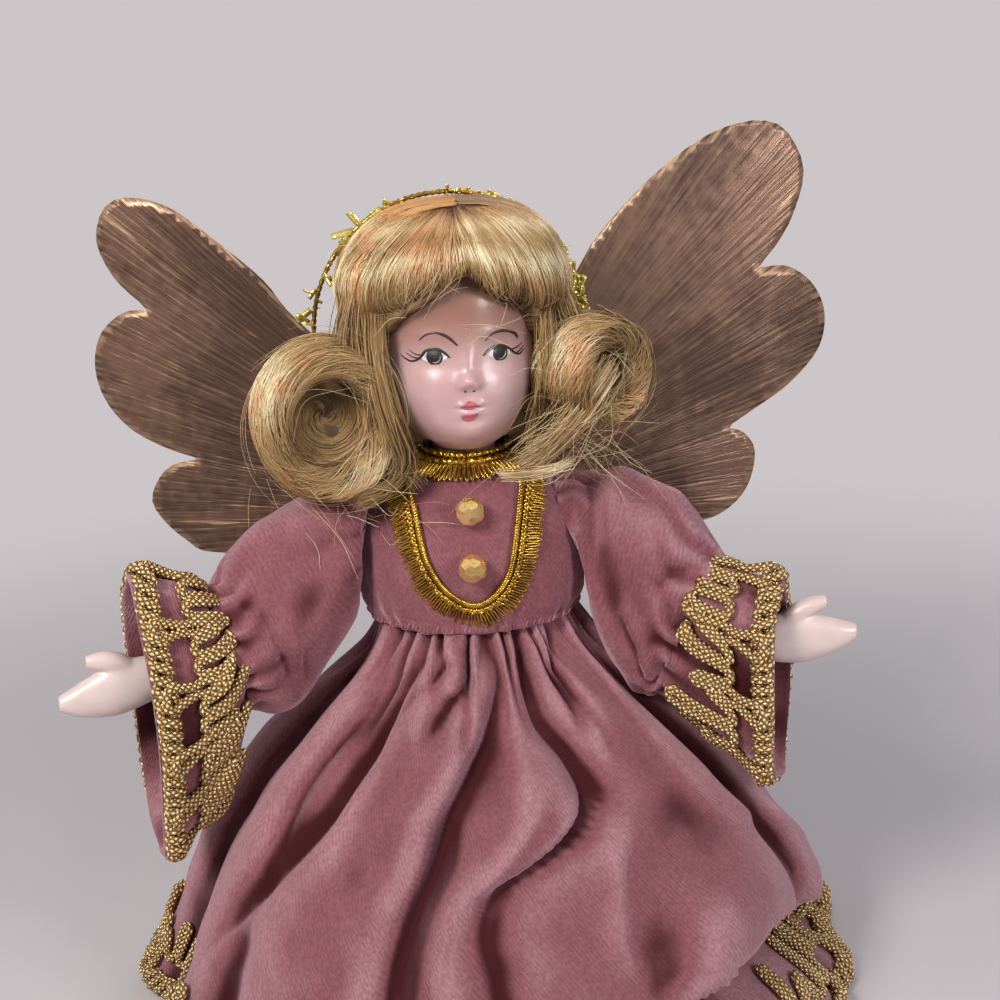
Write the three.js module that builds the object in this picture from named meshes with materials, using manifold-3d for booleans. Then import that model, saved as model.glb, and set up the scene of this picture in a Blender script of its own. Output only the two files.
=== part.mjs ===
// Angel doll: velvet dress over a card cone, wax head and hands, foil card wings, tinsel halo.
// Millimetres, +Z up. The doll faces -Y and the origin is the middle of its base, on the table.
// Left and right are as seen from in front of the doll, so left is -X.
import * as THREE from 'three';
import { mergeVertices } from 'three/addons/utils/BufferGeometryUtils.js';
import Module from 'manifold-3d';

const wasm = await Module();
wasm.setup();

const { degToRad } = THREE.MathUtils;
const fullTurn = 2 * Math.PI;

// Clearances, and how many times over a cutting block outgrows what it cuts
const overrun = 4;
const touchGap = 0.3;
const trimGap = 0.7;
const jointGap = 0.9;
const liningGap = 1;

// Card cone that the doll stands on, open below for the tip of a tree
const coneBaseRadius = 74;
const coneTopRadius = 12;
const coneWall = 1.5;

// Dress
const waistHeight = 122;
const bodiceHeight = 48;
const neckHeight = waistHeight + bodiceHeight;
const bodiceHalfWidth = 34;
const bodiceFront = 26;
const bodiceBack = 20.5;
const velvet = 1.6;
const armholeRadius = 8;
const hemRadius = 112;
const hemClear = 0.5;
const foldDepth = 14;
const underskirtWall = 1;
const underskirtClear = 4;

// Head and its peg
const neckInset = 7;
const headBottom = neckHeight - neckInset;
const headHeight = 73;
const headHalfWidth = 21.5;
const headFront = 24.5;
const headBack = 23;
const noseLength = 2.6;
const noseHalfWidth = 3;
const headYaw = degToRad(7.5);
const pegRadius = 3;
const pegBore = 3.3;
const pegDepth = 14;

// Hair
const hairRise = 11;
const hairBottom = headBottom + hairRise;
const hairHeight = 69;
const hairHalfWidth = 33;
const hairFront = 27.5;
const hairBack = 27.5;
const fringePlane = 13;
const faceArchHalfWidth = 20.5;
const faceArchRise = 21;
const faceArchLift = 36;
const faceArchHeight = headBottom + faceArchLift;
const faceWindowBack = 5;
const leftRoll = { radius: 22.5, bore: 9.5, length: 25, x: -40.3, y: -10.8, rise: 22.5, turn: degToRad(8) };
const rightRoll = { radius: 17.5, bore: 6, length: 27, x: 35.4, y: -12, rise: 28.5, turn: degToRad(-38) };

// Halo
const haloRadius = 40.5;
const haloWire = 0.9;
const haloSegments = 32;
const haloSides = 4;
const haloSetBack = 14;
const haloRise = 40.5;
const haloHeight = headBottom + haloRise;
const haloLowerShare = 0.62;
const haloBackShare = 0.13;
const stripLength = 7;
const stripWidth = 2.6;
const stripThickness = 0.8;
const stripCount = 24;

// Trims
const collarThickness = 1.7;
const collarLoops = 24;
const necklaceCord = 1.5;
const picotWidth = 6.5;
const picotThickness = 1.3;
const beadRadius = 4;
const upperBeadDrop = 14.5;
const lowerBeadDrop = 26.5;
const upperBeadHeight = neckHeight - upperBeadDrop;
const lowerBeadHeight = neckHeight - lowerBeadDrop;
const braidThickness = 2.4;
const hemLoopLength = 24;
const hemBraidGap = 1.6;
const braidHeaderShare = 0.2;

// Arms
const shoulderHalfSpan = 33;
const shoulderSetBack = -2;
const shoulderDrop = 27;
const shoulderHeight = neckHeight - shoulderDrop;
const wireRadius = 2;
const wireBore = 2.4;
const wireSides = 8;
const wireSteps = 14;

// Wings
const wingLength = 111;
const wingThickness = 1;
const wingRootOffset = 4;
const wingRootDrop = 22;
const wingRootHeight = neckHeight - wingRootDrop;
const wingSweep = degToRad(9.5);
const tabWidth = 24;
const tabHeight = 30;
const tabThickness = 1;

// Rows of the skirt from waist to hem. Each gives its height as a share of waistHeight, the half
// width, front and back at its fold crests as shares of hemRadius, and its share of foldDepth.
const skirtRowShares = [
  [1, 0.258, 0.216, 0.167, 0.1],
  [0.9, 0.36, 0.335, 0.3, 0.35],
  [0.78, 0.5, 0.48, 0.45, 0.6],
  [0.64, 0.655, 0.645, 0.63, 0.85],
  [0.49, 0.765, 0.76, 0.76, 1],
  [0.345, 0.83, 0.83, 0.83, 1],
  [0.2, 0.885, 0.89, 0.89, 0.95],
  [0, 1, 1, 1, 0.85],
];
const skirtSegments = 96;
const underskirtSegments = 24;

// Directions of the valleys between the folds, as shares of a turn from the front towards +X,
// at the waist and at the hem, so that the folds drift sideways as they fall. Each valley is
// narrower than the swell beside it.
const waistValleyShares = [-0.472, -0.389, -0.306, -0.222, -0.139, 0.03, 0.1, 0.193, 0.306, 0.403];
const hemValleyShares = [-0.472, -0.389, -0.306, -0.222, -0.15, -0.045, 0.01, 0.205, 0.33, 0.403];
const valleyWidthShare = 0.022;

// Rows of the bodice from waist to neck: height share, then half width, front and back as shares.
const bodiceRowShares = [
  [0, 0.88, 0.945, 0.93],
  [0.12, 0.975, 0.985, 0.98],
  [0.33, 1, 1, 1],
  [0.54, 0.95, 0.95, 1],
  [0.7, 0.85, 0.85, 0.97],
  [0.84, 0.67, 0.68, 0.84],
  [0.94, 0.46, 0.5, 0.62],
  [1, 0.335, 0.43, 0.515],
];
const bodiceSegments = 28;

// Rows of the collar as the bodice's rows are given, each with how far every other point of it
// stands out, which makes the loops.
const collarRowShares = [
  [1, 0.345, 0.44, 0.525, 0],
  [0.94, 0.46, 0.5, 0.62, 0],
  [0.88, 0.6, 0.62, 0.765, 0.08],
];
const coreRowShares = bodiceRowShares.slice(0, 6);
const coreSegments = 20;

// Rows of the head from the bottom of the neck to the crown.
const headRowShares = [
  [0, 0.395, 0.347, 0.37],
  [0.125, 0.395, 0.36, 0.37],
  [0.16, 0.43, 0.66, 0.4],
  [0.203, 0.61, 0.87, 0.52],
  [0.29, 0.81, 0.985, 0.74],
  [0.385, 0.935, 1, 0.88],
  [0.44, 0.97, 0.985, 0.93],
  [0.5, 0.99, 0.95, 0.96],
  [0.61, 1, 0.92, 1],
  [0.715, 0.975, 0.9, 1],
  [0.825, 0.86, 0.79, 0.92],
  [0.92, 0.62, 0.55, 0.66],
  [0.98, 0.3, 0.27, 0.32],
];
const headSegments = 20;
const noseRowShare = 0.44;

// Rows of the outer shape of the hair from the nape to the crown.
const hairRowShares = [
  [0, 0.5, 0.1, 0.68],
  [0.12, 0.66, 0.28, 0.84],
  [0.27, 0.8, 0.52, 0.95],
  [0.41, 0.9, 0.75, 1],
  [0.55, 0.97, 0.93, 1],
  [0.69, 1, 1, 1],
  [0.82, 0.92, 0.95, 0.95],
  [0.92, 0.72, 0.74, 0.8],
  [0.98, 0.4, 0.42, 0.5],
];
const hairSegments = 22;

// Section of a roll of hair: radius share from the bore to the outside, and share of its length.
const rollSectionShares = [
  [0, -0.36],
  [0.3, -0.5],
  [0.75, -0.44],
  [1, -0.15],
  [0.97, 0.25],
  [0.7, 0.48],
  [0.3, 0.5],
  [0, 0.34],
];
const rollSegments = 22;

// Centres of the sleeve's rings from shoulder to wrist, with each ring's half height and half
// depth. X is measured outward from the shoulder, Y from it, and Z from the shoulder's height,
// all as shares of sleeveReach.
const sleeveReach = 43;
const leftSleeveShares = [
  [0.018, 0, 0, 0.33, 0.25],
  [0.13, -0.05, -0.05, 0.46, 0.36],
  [0.32, -0.13, -0.18, 0.58, 0.43],
  [0.53, -0.24, -0.34, 0.63, 0.45],
  [0.72, -0.37, -0.46, 0.56, 0.42],
  [0.85, -0.46, -0.51, 0.44, 0.35],
  [0.92, -0.5, -0.53, 0.37, 0.3],
];
const rightSleeveShares = [
  [0.018, 0, 0, 0.33, 0.25],
  [0.12, -0.03, -0.1, 0.49, 0.37],
  [0.28, -0.09, -0.27, 0.61, 0.43],
  [0.44, -0.17, -0.43, 0.62, 0.43],
  [0.57, -0.25, -0.56, 0.51, 0.38],
  [0.65, -0.29, -0.62, 0.42, 0.32],
];
const sleeveSegments = 20;

// Cuffs: the flared end of each sleeve, from the gathered wrist to the braided opening, as the
// sleeve's rings are given.
const leftCuffShares = [
  [0.95, -0.52, -0.54, 0.41, 0.3],
  [1.03, -0.56, -0.74, 0.7, 0.33],
  [1.42, -0.74, -0.86, 0.98, 0.36],
];
const rightCuffShares = [
  [0.7, -0.31, -0.65, 0.42, 0.3],
  [0.76, -0.33, -0.69, 0.5, 0.31],
  [1.27, -0.52, -0.95, 0.69, 0.33],
];
const leftCuffLoops = 18;
const rightCuffLoops = 14;
const cuffWave = 1.1;

// Hands. Each wrist rises from the cuff's throat, and the hand's slope is its lift. Their rings run
// from the wrist to the fingertips: along, up, half height and half depth as shares of handLength.
const handLength = 26;
const leftHandRise = 6.5;
const rightHandRise = 1.5;
const leftHandLift = -0.15;
const rightHandLift = 0.06;
const handRingShares = [
  [0, 0, 0.2, 0.16],
  [0.2, 0, 0.24, 0.17],
  [0.42, 0.01, 0.27, 0.15],
  [0.62, 0, 0.22, 0.13],
  [0.82, 0.01, 0.15, 0.11],
  [0.97, 0.04, 0.07, 0.07],
];
const thumbRingShares = [
  [0.18, 0.05, 0.09, 0.09],
  [0.34, 0.26, 0.1, 0.09],
  [0.5, 0.4, 0.085, 0.08],
  [0.62, 0.47, 0.045, 0.045],
];
const handSegments = 12;

// Outline of each wing in three lobes, with a notch between each two, as shares of wingLength from
// the root's middle: outward, then up. The wings are cut by hand, and the left one leans out more.
const rightWingLobeShares = [
  [[0, 0.18], [0.289, 0.62], [0.351, 0.709], [0.492, 0.845], [0.632, 0.941], [0.741, 0.979], [0.824, 0.98],
    [0.881, 0.946], [0.927, 0.846], [0.897, 0.727], [0.841, 0.636], [0.79, 0.59]],
  [[0.8, 0.589], [0.885, 0.586], [0.958, 0.531], [0.994, 0.444], [0.975, 0.347], [0.888, 0.253],
    [0.786, 0.189], [0.709, 0.143]],
  [[0.715, 0.139], [0.756, 0.124], [0.789, 0.072], [0.777, -0.016], [0.726, -0.086], [0.637, -0.126],
    [0.45, -0.13], [0.25, -0.11], [0, -0.08]],
];
const leftWingLobeShares = [
  [[0, 0.18], [0.207, 0.333], [0.422, 0.518], [0.509, 0.63], [0.651, 0.755], [0.755, 0.831], [0.865, 0.86],
    [0.937, 0.832], [0.968, 0.745], [0.937, 0.655], [0.892, 0.6], [0.838, 0.552]],
  [[0.845, 0.551], [0.918, 0.545], [0.99, 0.486], [1.018, 0.396], [0.998, 0.297], [0.935, 0.214],
    [0.838, 0.158], [0.74, 0.124]],
  [[0.748, 0.122], [0.84, 0.096], [0.896, 0.007], [0.86, -0.068], [0.792, -0.13], [0.743, -0.154],
    [0.5, -0.16], [0.25, -0.12], [0, -0.08]],
];
const wingLobeSteps = 13;

// Path of the necklace on the bodice, from the left end round the bottom to the right end: outward
// as shares of bodiceHalfWidth, and up as shares of the bodice's height.
const necklaceShares = [
  [-0.42, 0.84], [-0.42, 0.72], [-0.375, 0.57], [-0.29, 0.41], [-0.16, 0.29], [0, 0.25],
  [0.17, 0.29], [0.3, 0.41], [0.365, 0.57], [0.385, 0.72], [0.38, 0.84],
];
const necklaceSteps = 30;

const materials = {
  velvet: { color: 0x9c5a64, roughness: 0.95, metalness: 0 },
  net: { color: 0xd8c9bd, roughness: 0.9, metalness: 0 },
  card: { color: 0xa98e6c, roughness: 0.9, metalness: 0 },
  stuffing: { color: 0xe4dccb, roughness: 0.95, metalness: 0 },
  wood: { color: 0xc9a878, roughness: 0.7, metalness: 0 },
  wire: { color: 0xd9d2c4, roughness: 0.8, metalness: 0 },
  wax: { color: 0xe3b7b9, roughness: 0.22, metalness: 0 },
  hair: { color: 0xb8995f, roughness: 0.6, metalness: 0 },
  foil: { color: 0x6b4a3a, roughness: 0.4, metalness: 0.6 },
  gilt: { color: 0xc9a13a, roughness: 0.3, metalness: 0.9 },
};

const doll = new THREE.Group();

function piece(name, geometry, material, parent = doll) {
  const mesh = new THREE.Mesh(geometry, new THREE.MeshStandardMaterial(materials[material]));
  mesh.name = name;
  parent.add(mesh);
  return mesh;
}

// A geometry from points and triangles, turned so that its faces point out.
function closedGeometry(positions, faces) {
  const at = (i) => new THREE.Vector3().fromArray(positions, faces[i] * 3);
  let volume = 0;
  for (let i = 0; i < faces.length; i += 3) {
    volume += at(i).dot(at(i + 1).cross(at(i + 2)));
  }
  const geometry = new THREE.BufferGeometry();
  geometry.setAttribute('position', new THREE.Float32BufferAttribute(positions, 3));
  geometry.setIndex(volume < 0 ? faces.reverse() : faces);
  geometry.computeVertexNormals();
  return geometry;
}

// A skin over rings of points that follow each other. A solid's first and last rings are closed
// by fans, and a shell's last ring meets its first.
function skin(rings, isShell = false) {
  const count = rings[0].length;
  const positions = rings.flat().flatMap((point) => point.toArray());
  const faces = [];
  for (let r = 0; r < rings.length - (isShell ? 0 : 1); r++) {
    const low = r * count;
    const high = ((r + 1) % rings.length) * count;
    for (let i = 0; i < count; i++) {
      const next = (i + 1) % count;
      faces.push(low + i, low + next, high + next, low + i, high + next, high + i);
    }
  }
  if (isShell) {
    return closedGeometry(positions, faces);
  }
  for (const first of [0, (rings.length - 1) * count]) {
    const middle = new THREE.Vector3();
    rings[first / count].forEach((point) => middle.addScaledVector(point, 1 / count));
    const centre = positions.length / 3;
    positions.push(...middle.toArray());
    for (let i = 0; i < count; i++) {
      const next = (i + 1) % count;
      faces.push(centre, first + (first ? i : next), first + (first ? next : i));
    }
  }
  return closedGeometry(positions, faces);
}

// A level ring of an egg shape: its own half width, front and back.
function levelRing(height, halfWidth, front, back, segments) {
  return Array.from({ length: segments }, (_, i) => {
    const angle = (i / segments) * fullTurn;
    const depth = Math.cos(angle) > 0 ? front : back;
    return new THREE.Vector3(halfWidth * Math.sin(angle), -depth * Math.cos(angle), height);
  });
}

// Rings of a body given by rows of shares, taken in by an offset.
function levelRings(rows, size, segments, offset = 0) {
  return rows.map(([up, wide, front, back]) => levelRing(
    size.bottom + up * size.height,
    wide * size.halfWidth - offset,
    front * size.front - offset,
    back * size.back - offset,
    segments,
  ));
}

function toSolid(geometry) {
  const plain = geometry.clone();
  plain.deleteAttribute('normal');
  plain.deleteAttribute('uv');
  const merged = mergeVertices(plain);
  const vertProperties = new Float32Array(merged.attributes.position.array);
  const triVerts = new Uint32Array(merged.index.array);
  return new wasm.Manifold(new wasm.Mesh({ numProp: 3, vertProperties, triVerts }));
}

function toGeometry(solid) {
  const mesh = solid.getMesh();
  return closedGeometry(Array.from(mesh.vertProperties), Array.from(mesh.triVerts));
}

function cut(geometry, ...tools) {
  return toGeometry(tools.reduce((solid, tool) => solid.subtract(toSolid(tool)), toSolid(geometry)));
}

function join(first, ...others) {
  return toGeometry(others.reduce((solid, other) => solid.add(toSolid(other)), toSolid(first)));
}

function common(first, second) {
  return toGeometry(toSolid(first).intersect(toSolid(second)));
}

// An upright round bar between two heights on the neck's axis.
function uprightBar(radius, low, high, segments) {
  const bar = new THREE.CylinderGeometry(radius, radius, high - low, segments);
  return bar.rotateX(Math.PI / 2).translate(0, 0, (low + high) / 2);
}

// A round bar along X at the height of the shoulders.
function shoulderBar(radius, halfLength, segments) {
  const bar = new THREE.CylinderGeometry(radius, radius, 2 * halfLength, segments);
  return bar.rotateZ(Math.PI / 2).translate(0, shoulderSetBack, shoulderHeight);
}

function addCone() {
  const profile = [
    [coneBaseRadius, 0],
    [coneTopRadius, waistHeight],
    [coneTopRadius - coneWall, waistHeight],
    [coneBaseRadius - coneWall, 0],
  ];
  const rings = profile.map(([radius, height]) => levelRing(height, radius, radius, radius, 40));
  piece('cone_base', skin(rings, true), 'card');
}

// How far a direction is from a valley to a crest of the folds: 0 in a valley and 1 on a crest.
// The folds drift down to the braid, and run straight under it.
function foldRise(turn, heightShare) {
  const braidTop = skirtRowShares.at(-2)[0];
  const drift = Math.max(0, (heightShare - braidTop) / (1 - braidTop));
  const valleys = hemValleyShares.map((atHem, i) => (
    THREE.MathUtils.lerp(atHem, waistValleyShares[i], drift)
  ));
  const nearest = Math.min(...valleys.map((valley) => Math.abs(turn - valley - Math.round(turn - valley))));
  return 1 - Math.exp(-((nearest / valleyWidthShare) ** 2));
}

// A ring of the skirt, taken in by an offset. A deepest ring follows the bottoms of the valleys.
function skirtRing([up, wide, front, back, fold], segments, offset, isDeepest = false) {
  const height = THREE.MathUtils.lerp(hemClear, waistHeight, up);
  return Array.from({ length: segments }, (_, i) => {
    const turn = i / segments;
    const angle = turn * fullTurn;
    const drop = fold * foldDepth * (isDeepest ? 1 : 1 - foldRise(turn, up));
    const depth = hemRadius * (Math.cos(angle) > 0 ? front : back) - drop - offset;
    const halfWidth = hemRadius * wide - drop - offset;
    return new THREE.Vector3(halfWidth * Math.sin(angle), -depth * Math.cos(angle), height);
  });
}

function addSkirt() {
  const outer = skirtRowShares.map((row) => skirtRing(row, skirtSegments, 0));
  const inner = skirtRowShares.map((row) => skirtRing(row, skirtSegments, velvet)).reverse();
  piece('skirt', skin([...outer, ...inner], true), 'velvet');
}

function addUnderskirt() {
  const [above, hem] = skirtRowShares.slice(-2);
  const footShare = underskirtClear / (above[0] * waistHeight);
  const foot = hem.map((share, i) => THREE.MathUtils.lerp(share, above[i], footShare));
  const rows = [...skirtRowShares.slice(0, -1), foot];
  const outside = velvet + liningGap;
  const inside = outside + underskirtWall;
  const outer = rows.map((row) => skirtRing(row, underskirtSegments, outside, true));
  const inner = rows.map((row) => skirtRing(row, underskirtSegments, inside, true)).reverse();
  piece('underskirt', skin([...outer, ...inner], true), 'net');
}

// A braid on a cloth's edge: a header along the edge, with loops that reach back over the cloth.
// The edge and reach rings run round it together, and the braid stands off the cloth by a gap.
function braid(edge, reach, outward, gap) {
  const thickness = gap + braidThickness;
  const tops = edge.map((point, i) => point.clone().lerp(reach[i], i % 2 ? 1 : braidHeaderShare));
  const standOff = (points, distance) => points.map((point, i) => (
    point.clone().addScaledVector(outward[i], distance)
  ));
  const rings = [
    standOff(tops, gap),
    standOff(edge, gap),
    standOff(edge, thickness),
    standOff(tops, thickness),
  ];
  return skin(rings, true);
}

function addHemBraid() {
  const hem = skirtRing(skirtRowShares.at(-1), skirtSegments, 0);
  const above = skirtRing(skirtRowShares.at(-2), skirtSegments, 0);
  const slope = skirtRowShares.at(-2)[0] * waistHeight;
  const reach = hem.map((point, i) => point.clone().lerp(above[i], hemLoopLength / slope));
  const outward = hem.map((point) => new THREE.Vector3(point.x, point.y, 0).normalize());
  piece('hem_braid', braid(hem, reach, outward, hemBraidGap), 'gilt');
}

const bodiceSize = {
  bottom: waistHeight + touchGap,
  height: bodiceHeight,
  halfWidth: bodiceHalfWidth,
  front: bodiceFront,
  back: bodiceBack,
};

function addTorso() {
  const inset = velvet + liningGap;
  const rings = levelRings(coreRowShares, bodiceSize, coreSegments, inset);
  rings.at(-1).forEach((point) => point.setZ(headBottom - touchGap));
  const pegHole = uprightBar(pegBore, headBottom - pegDepth, headBottom + pegDepth, 16);
  const wireHole = shoulderBar(wireBore, bodiceHalfWidth, 10);
  piece('torso_core', cut(skin(rings), pegHole, wireHole), 'stuffing');
  piece('shoulder_wire', shoulderBar(wireRadius, shoulderHalfSpan - jointGap + touchGap, 8), 'wire');
}

function addBodice() {
  const outer = levelRings(bodiceRowShares, bodiceSize, bodiceSegments);
  const inner = levelRings(bodiceRowShares, bodiceSize, bodiceSegments, velvet).reverse();
  const armholes = shoulderBar(armholeRadius, 2 * bodiceHalfWidth, 16);
  piece('bodice', cut(skin([...outer, ...inner], true), armholes), 'velvet');
}

// The bodice's front surface at a place across it and up it: how far forward it is there.
function bodiceFrontAt(x, heightShare) {
  const high = bodiceRowShares.findIndex(([up]) => up >= heightShare);
  const [low, top] = [bodiceRowShares[Math.max(high - 1, 0)], bodiceRowShares[high]];
  const t = high ? (heightShare - low[0]) / (top[0] - low[0]) : 0;
  const halfWidth = THREE.MathUtils.lerp(low[1], top[1], t) * bodiceHalfWidth;
  const front = THREE.MathUtils.lerp(low[2], top[2], t) * bodiceFront;
  return -front * Math.sqrt(Math.max(0, 1 - (x / halfWidth) ** 2));
}

// The collar lies on the bodice's neck, with its loops down over the shoulders.
function addCollar() {
  const segments = 2 * collarLoops;
  const band = (off, rows) => rows.map(([up, wide, front, back, wave]) => {
    const place = { ...bodiceSize, bottom: bodiceSize.bottom + off };
    const [ring] = levelRings([[up, wide, front, back]], place, segments, -off);
    const middle = new THREE.Vector3(0, 0, ring[0].z);
    return ring.map((point, i) => point.lerp(middle, i % 2 ? -wave : 0));
  });
  const low = band(trimGap, collarRowShares);
  const high = band(trimGap + collarThickness, collarRowShares).reverse();
  piece('collar_trim', skin([...low, ...high], true), 'gilt');
}

function addNecklace() {
  const flatPath = new THREE.CatmullRomCurve3(necklaceShares.map(([across, up]) => (
    new THREE.Vector3(across * bodiceHalfWidth, 0, up * bodiceSize.height)
  )));
  const rings = [];
  for (let step = 0; step <= necklaceSteps; step++) {
    const point = flatPath.getPoint(step / necklaceSteps);
    const along = flatPath.getTangent(step / necklaceSteps);
    const out = new THREE.Vector3(along.z, 0, -along.x);
    // The section is a thick cord with a flat band of loops outside it, both off the bodice.
    const section = [
      [-necklaceCord, 0],
      [0, 2 * necklaceCord],
      [necklaceCord, picotThickness],
      [picotWidth, picotThickness],
      [picotWidth, 0],
      [necklaceCord, 0],
    ];
    rings.push(section.map(([sideways, off]) => {
      const place = point.clone().addScaledVector(out, sideways);
      const front = bodiceFrontAt(place.x, place.z / bodiceSize.height);
      return new THREE.Vector3(place.x, front - trimGap - off, place.z + bodiceSize.bottom);
    }));
  }
  piece('necklace_trim', skin(rings), 'gilt');
}

// The beads are sewn on square to the bodice, one above the other.
function addBeads() {
  const front = (height) => bodiceFrontAt(0, (height - bodiceSize.bottom) / bodiceSize.height);
  for (const [name, height] of [['upper_bead', upperBeadHeight], ['lower_bead', lowerBeadHeight]]) {
    const lean = (front(height + beadRadius) - front(height - beadRadius)) / (2 * beadRadius);
    const outward = new THREE.Vector3(0, -1, lean).normalize();
    const bead = new THREE.IcosahedronGeometry(beadRadius, 1);
    bead.deleteAttribute('uv');
    bead.deleteAttribute('normal');
    const mesh = piece(name, mergeVertices(bead), 'gilt');
    mesh.position.set(0, front(height), height).addScaledVector(outward, beadRadius + trimGap);
  }
}

const headSize = {
  bottom: headBottom,
  height: headHeight,
  halfWidth: headHalfWidth,
  front: headFront,
  back: headBack,
};
const hairSize = {
  bottom: hairBottom,
  height: hairHeight,
  halfWidth: hairHalfWidth,
  front: hairFront,
  back: hairBack,
};

function headForm(offset = 0) {
  const rings = levelRings(headRowShares, headSize, headSegments, -offset);
  const noseHeight = headBottom + noseRowShare * headHeight;
  for (const point of rings.flat()) {
    const away = Math.hypot(point.x, point.z - noseHeight) / noseHalfWidth;
    if (point.y < 0) {
      point.y -= noseLength * Math.exp(-(away ** 2));
    }
  }
  return skin(rings);
}

// The space that the face looks out of: an arch through the front of the hair.
function faceWindow() {
  const arch = new THREE.Shape();
  arch.moveTo(-faceArchHalfWidth, hairBottom - hairHeight);
  arch.lineTo(faceArchHalfWidth, hairBottom - hairHeight);
  arch.lineTo(faceArchHalfWidth, faceArchHeight);
  arch.absellipse(0, faceArchHeight, faceArchHalfWidth, faceArchRise, 0, Math.PI);
  const space = new THREE.ExtrudeGeometry(arch, { depth: hairFront, bevelEnabled: false, curveSegments: 8 });
  return space.rotateX(Math.PI / 2).translate(0, -faceWindowBack, 0);
}

function frontSpace(from, to) {
  const size = overrun * hairHeight;
  return new THREE.BoxGeometry(size, to - from, size).translate(0, (from + to) / 2, hairBottom);
}

// A roll of hair lying front to back, then turned about the upright.
function rollForm({ radius, bore, length, x, y, rise, turn }) {
  const rings = rollSectionShares.map(([out, along]) => {
    const at = THREE.MathUtils.lerp(bore, radius, out);
    return levelRing(along * length, at, at, at, rollSegments);
  });
  return skin(rings, true).rotateX(Math.PI / 2).rotateZ(turn).translate(x, y, headBottom + rise);
}

function rollSpace({ radius, length, x, y, rise, turn }) {
  const space = new THREE.CylinderGeometry(radius + touchGap, radius + touchGap, length + 2 * touchGap, 20);
  return space.rotateZ(turn).translate(x, y, headBottom + rise);
}

// The halo's place behind the head. Its lower half is drawn up and back, so that it ends in the
// hair at the nape.
function placeHalo(geometry) {
  const place = geometry.attributes.position;
  for (let i = 0; i < place.count; i++) {
    const below = Math.min(0, place.getZ(i));
    place.setY(i, place.getY(i) - below * haloBackShare);
    place.setZ(i, place.getZ(i) - below * (1 - haloLowerShare));
  }
  return geometry.translate(0, haloSetBack, haloHeight);
}

function haloRing(thickness, segments, sides) {
  return new THREE.TorusGeometry(haloRadius, thickness, sides, segments).rotateX(Math.PI / 2);
}

// The tinsel: foil strips that stand out of the halo's wire, each turned from the last.
function haloStrips() {
  return Array.from({ length: stripCount }, (_, i) => {
    const strip = new THREE.BoxGeometry(stripWidth, stripThickness, stripLength);
    const lean = (i % 3) - 1;
    strip.rotateZ(lean).rotateX(lean / 2);
    strip.translate(0, 0, haloRadius + lean * haloWire);
    return strip.rotateY((i / stripCount) * fullTurn);
  });
}

function addHead() {
  const head = new THREE.Group();
  head.rotation.z = headYaw;
  doll.add(head);
  const pegTop = headBottom + pegDepth;
  piece('neck_peg', uprightBar(pegRadius, headBottom - pegDepth + touchGap, pegTop - touchGap, 12), 'wood');
  const pegHole = uprightBar(pegBore, headBottom - pegDepth, pegTop, 16);
  piece('head', cut(headForm(), pegHole), 'wax', head);

  const headSpace = headForm(2 * touchGap);
  const haloSpace = placeHalo(haloRing(haloWire + 2 * touchGap, 24, 8));
  const stripSpace = placeHalo(haloRing((stripLength + stripWidth) / 2 + touchGap, 24, 6));
  const rolls = [leftRoll, rightRoll];
  const hair = cut(
    skin(levelRings(hairRowShares, hairSize, hairSegments)),
    headSpace,
    faceWindow(),
    haloSpace,
    stripSpace,
    ...rolls.map(rollSpace),
  );
  const far = overrun * hairHalfWidth;
  piece('hair_crown', common(hair, frontSpace(-fringePlane, far)), 'hair', head);
  piece('hair_fringe', common(hair, frontSpace(-far, -fringePlane - touchGap)), 'hair', head);
  piece('left_roll', cut(rollForm(leftRoll), headSpace), 'hair', head);
  piece('right_roll', cut(rollForm(rightRoll), headSpace), 'hair', head);
  const tinsel = join(haloRing(haloWire, haloSegments, haloSides), ...haloStrips());
  piece('halo', placeHalo(tinsel), 'gilt', head);
}

// An upright ring of an arm, seen along the arm, about a centre that shares give. A wave makes
// the cloth ripple round it.
function armRing(side, [out, forward, up, halfHeight, halfDepth], heading, segments, offset, wave = 0) {
  const centre = new THREE.Vector3(
    side * (shoulderHalfSpan + out * sleeveReach),
    shoulderSetBack + forward * sleeveReach,
    shoulderHeight + up * sleeveReach,
  );
  const across = new THREE.Vector3(-heading.y, heading.x, 0);
  return Array.from({ length: segments }, (_, i) => {
    const angle = (i / segments) * fullTurn;
    const ripple = wave * Math.cos((i * fullTurn) / 4);
    return centre.clone()
      .addScaledVector(across, (halfDepth * sleeveReach - offset + ripple) * Math.sin(angle))
      .add(new THREE.Vector3(0, 0, (halfHeight * sleeveReach - offset + ripple) * Math.cos(angle)));
  });
}

// The level direction that an arm runs in at each of its rings. It leaves the shoulder sideways.
function headings(side, rows) {
  return rows.map((row, i) => {
    const before = rows[Math.max(i - 1, 0)];
    const after = rows[Math.min(i + 1, rows.length - 1)];
    const forward = row[1] === 0 ? 0 : after[1] - before[1];
    return new THREE.Vector3(side * (after[0] - before[0]), forward, 0).normalize();
  });
}

function armRings(side, rows, segments, offset, waves = []) {
  const directions = headings(side, rows);
  return rows.map((row, i) => armRing(side, row, directions[i], segments, offset, waves[i]));
}

function clothTube(side, rows, segments, waves) {
  const outer = armRings(side, rows, segments, 0, waves);
  const inner = armRings(side, rows, segments, velvet, waves).reverse();
  return skin([...outer, ...inner], true);
}

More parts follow.
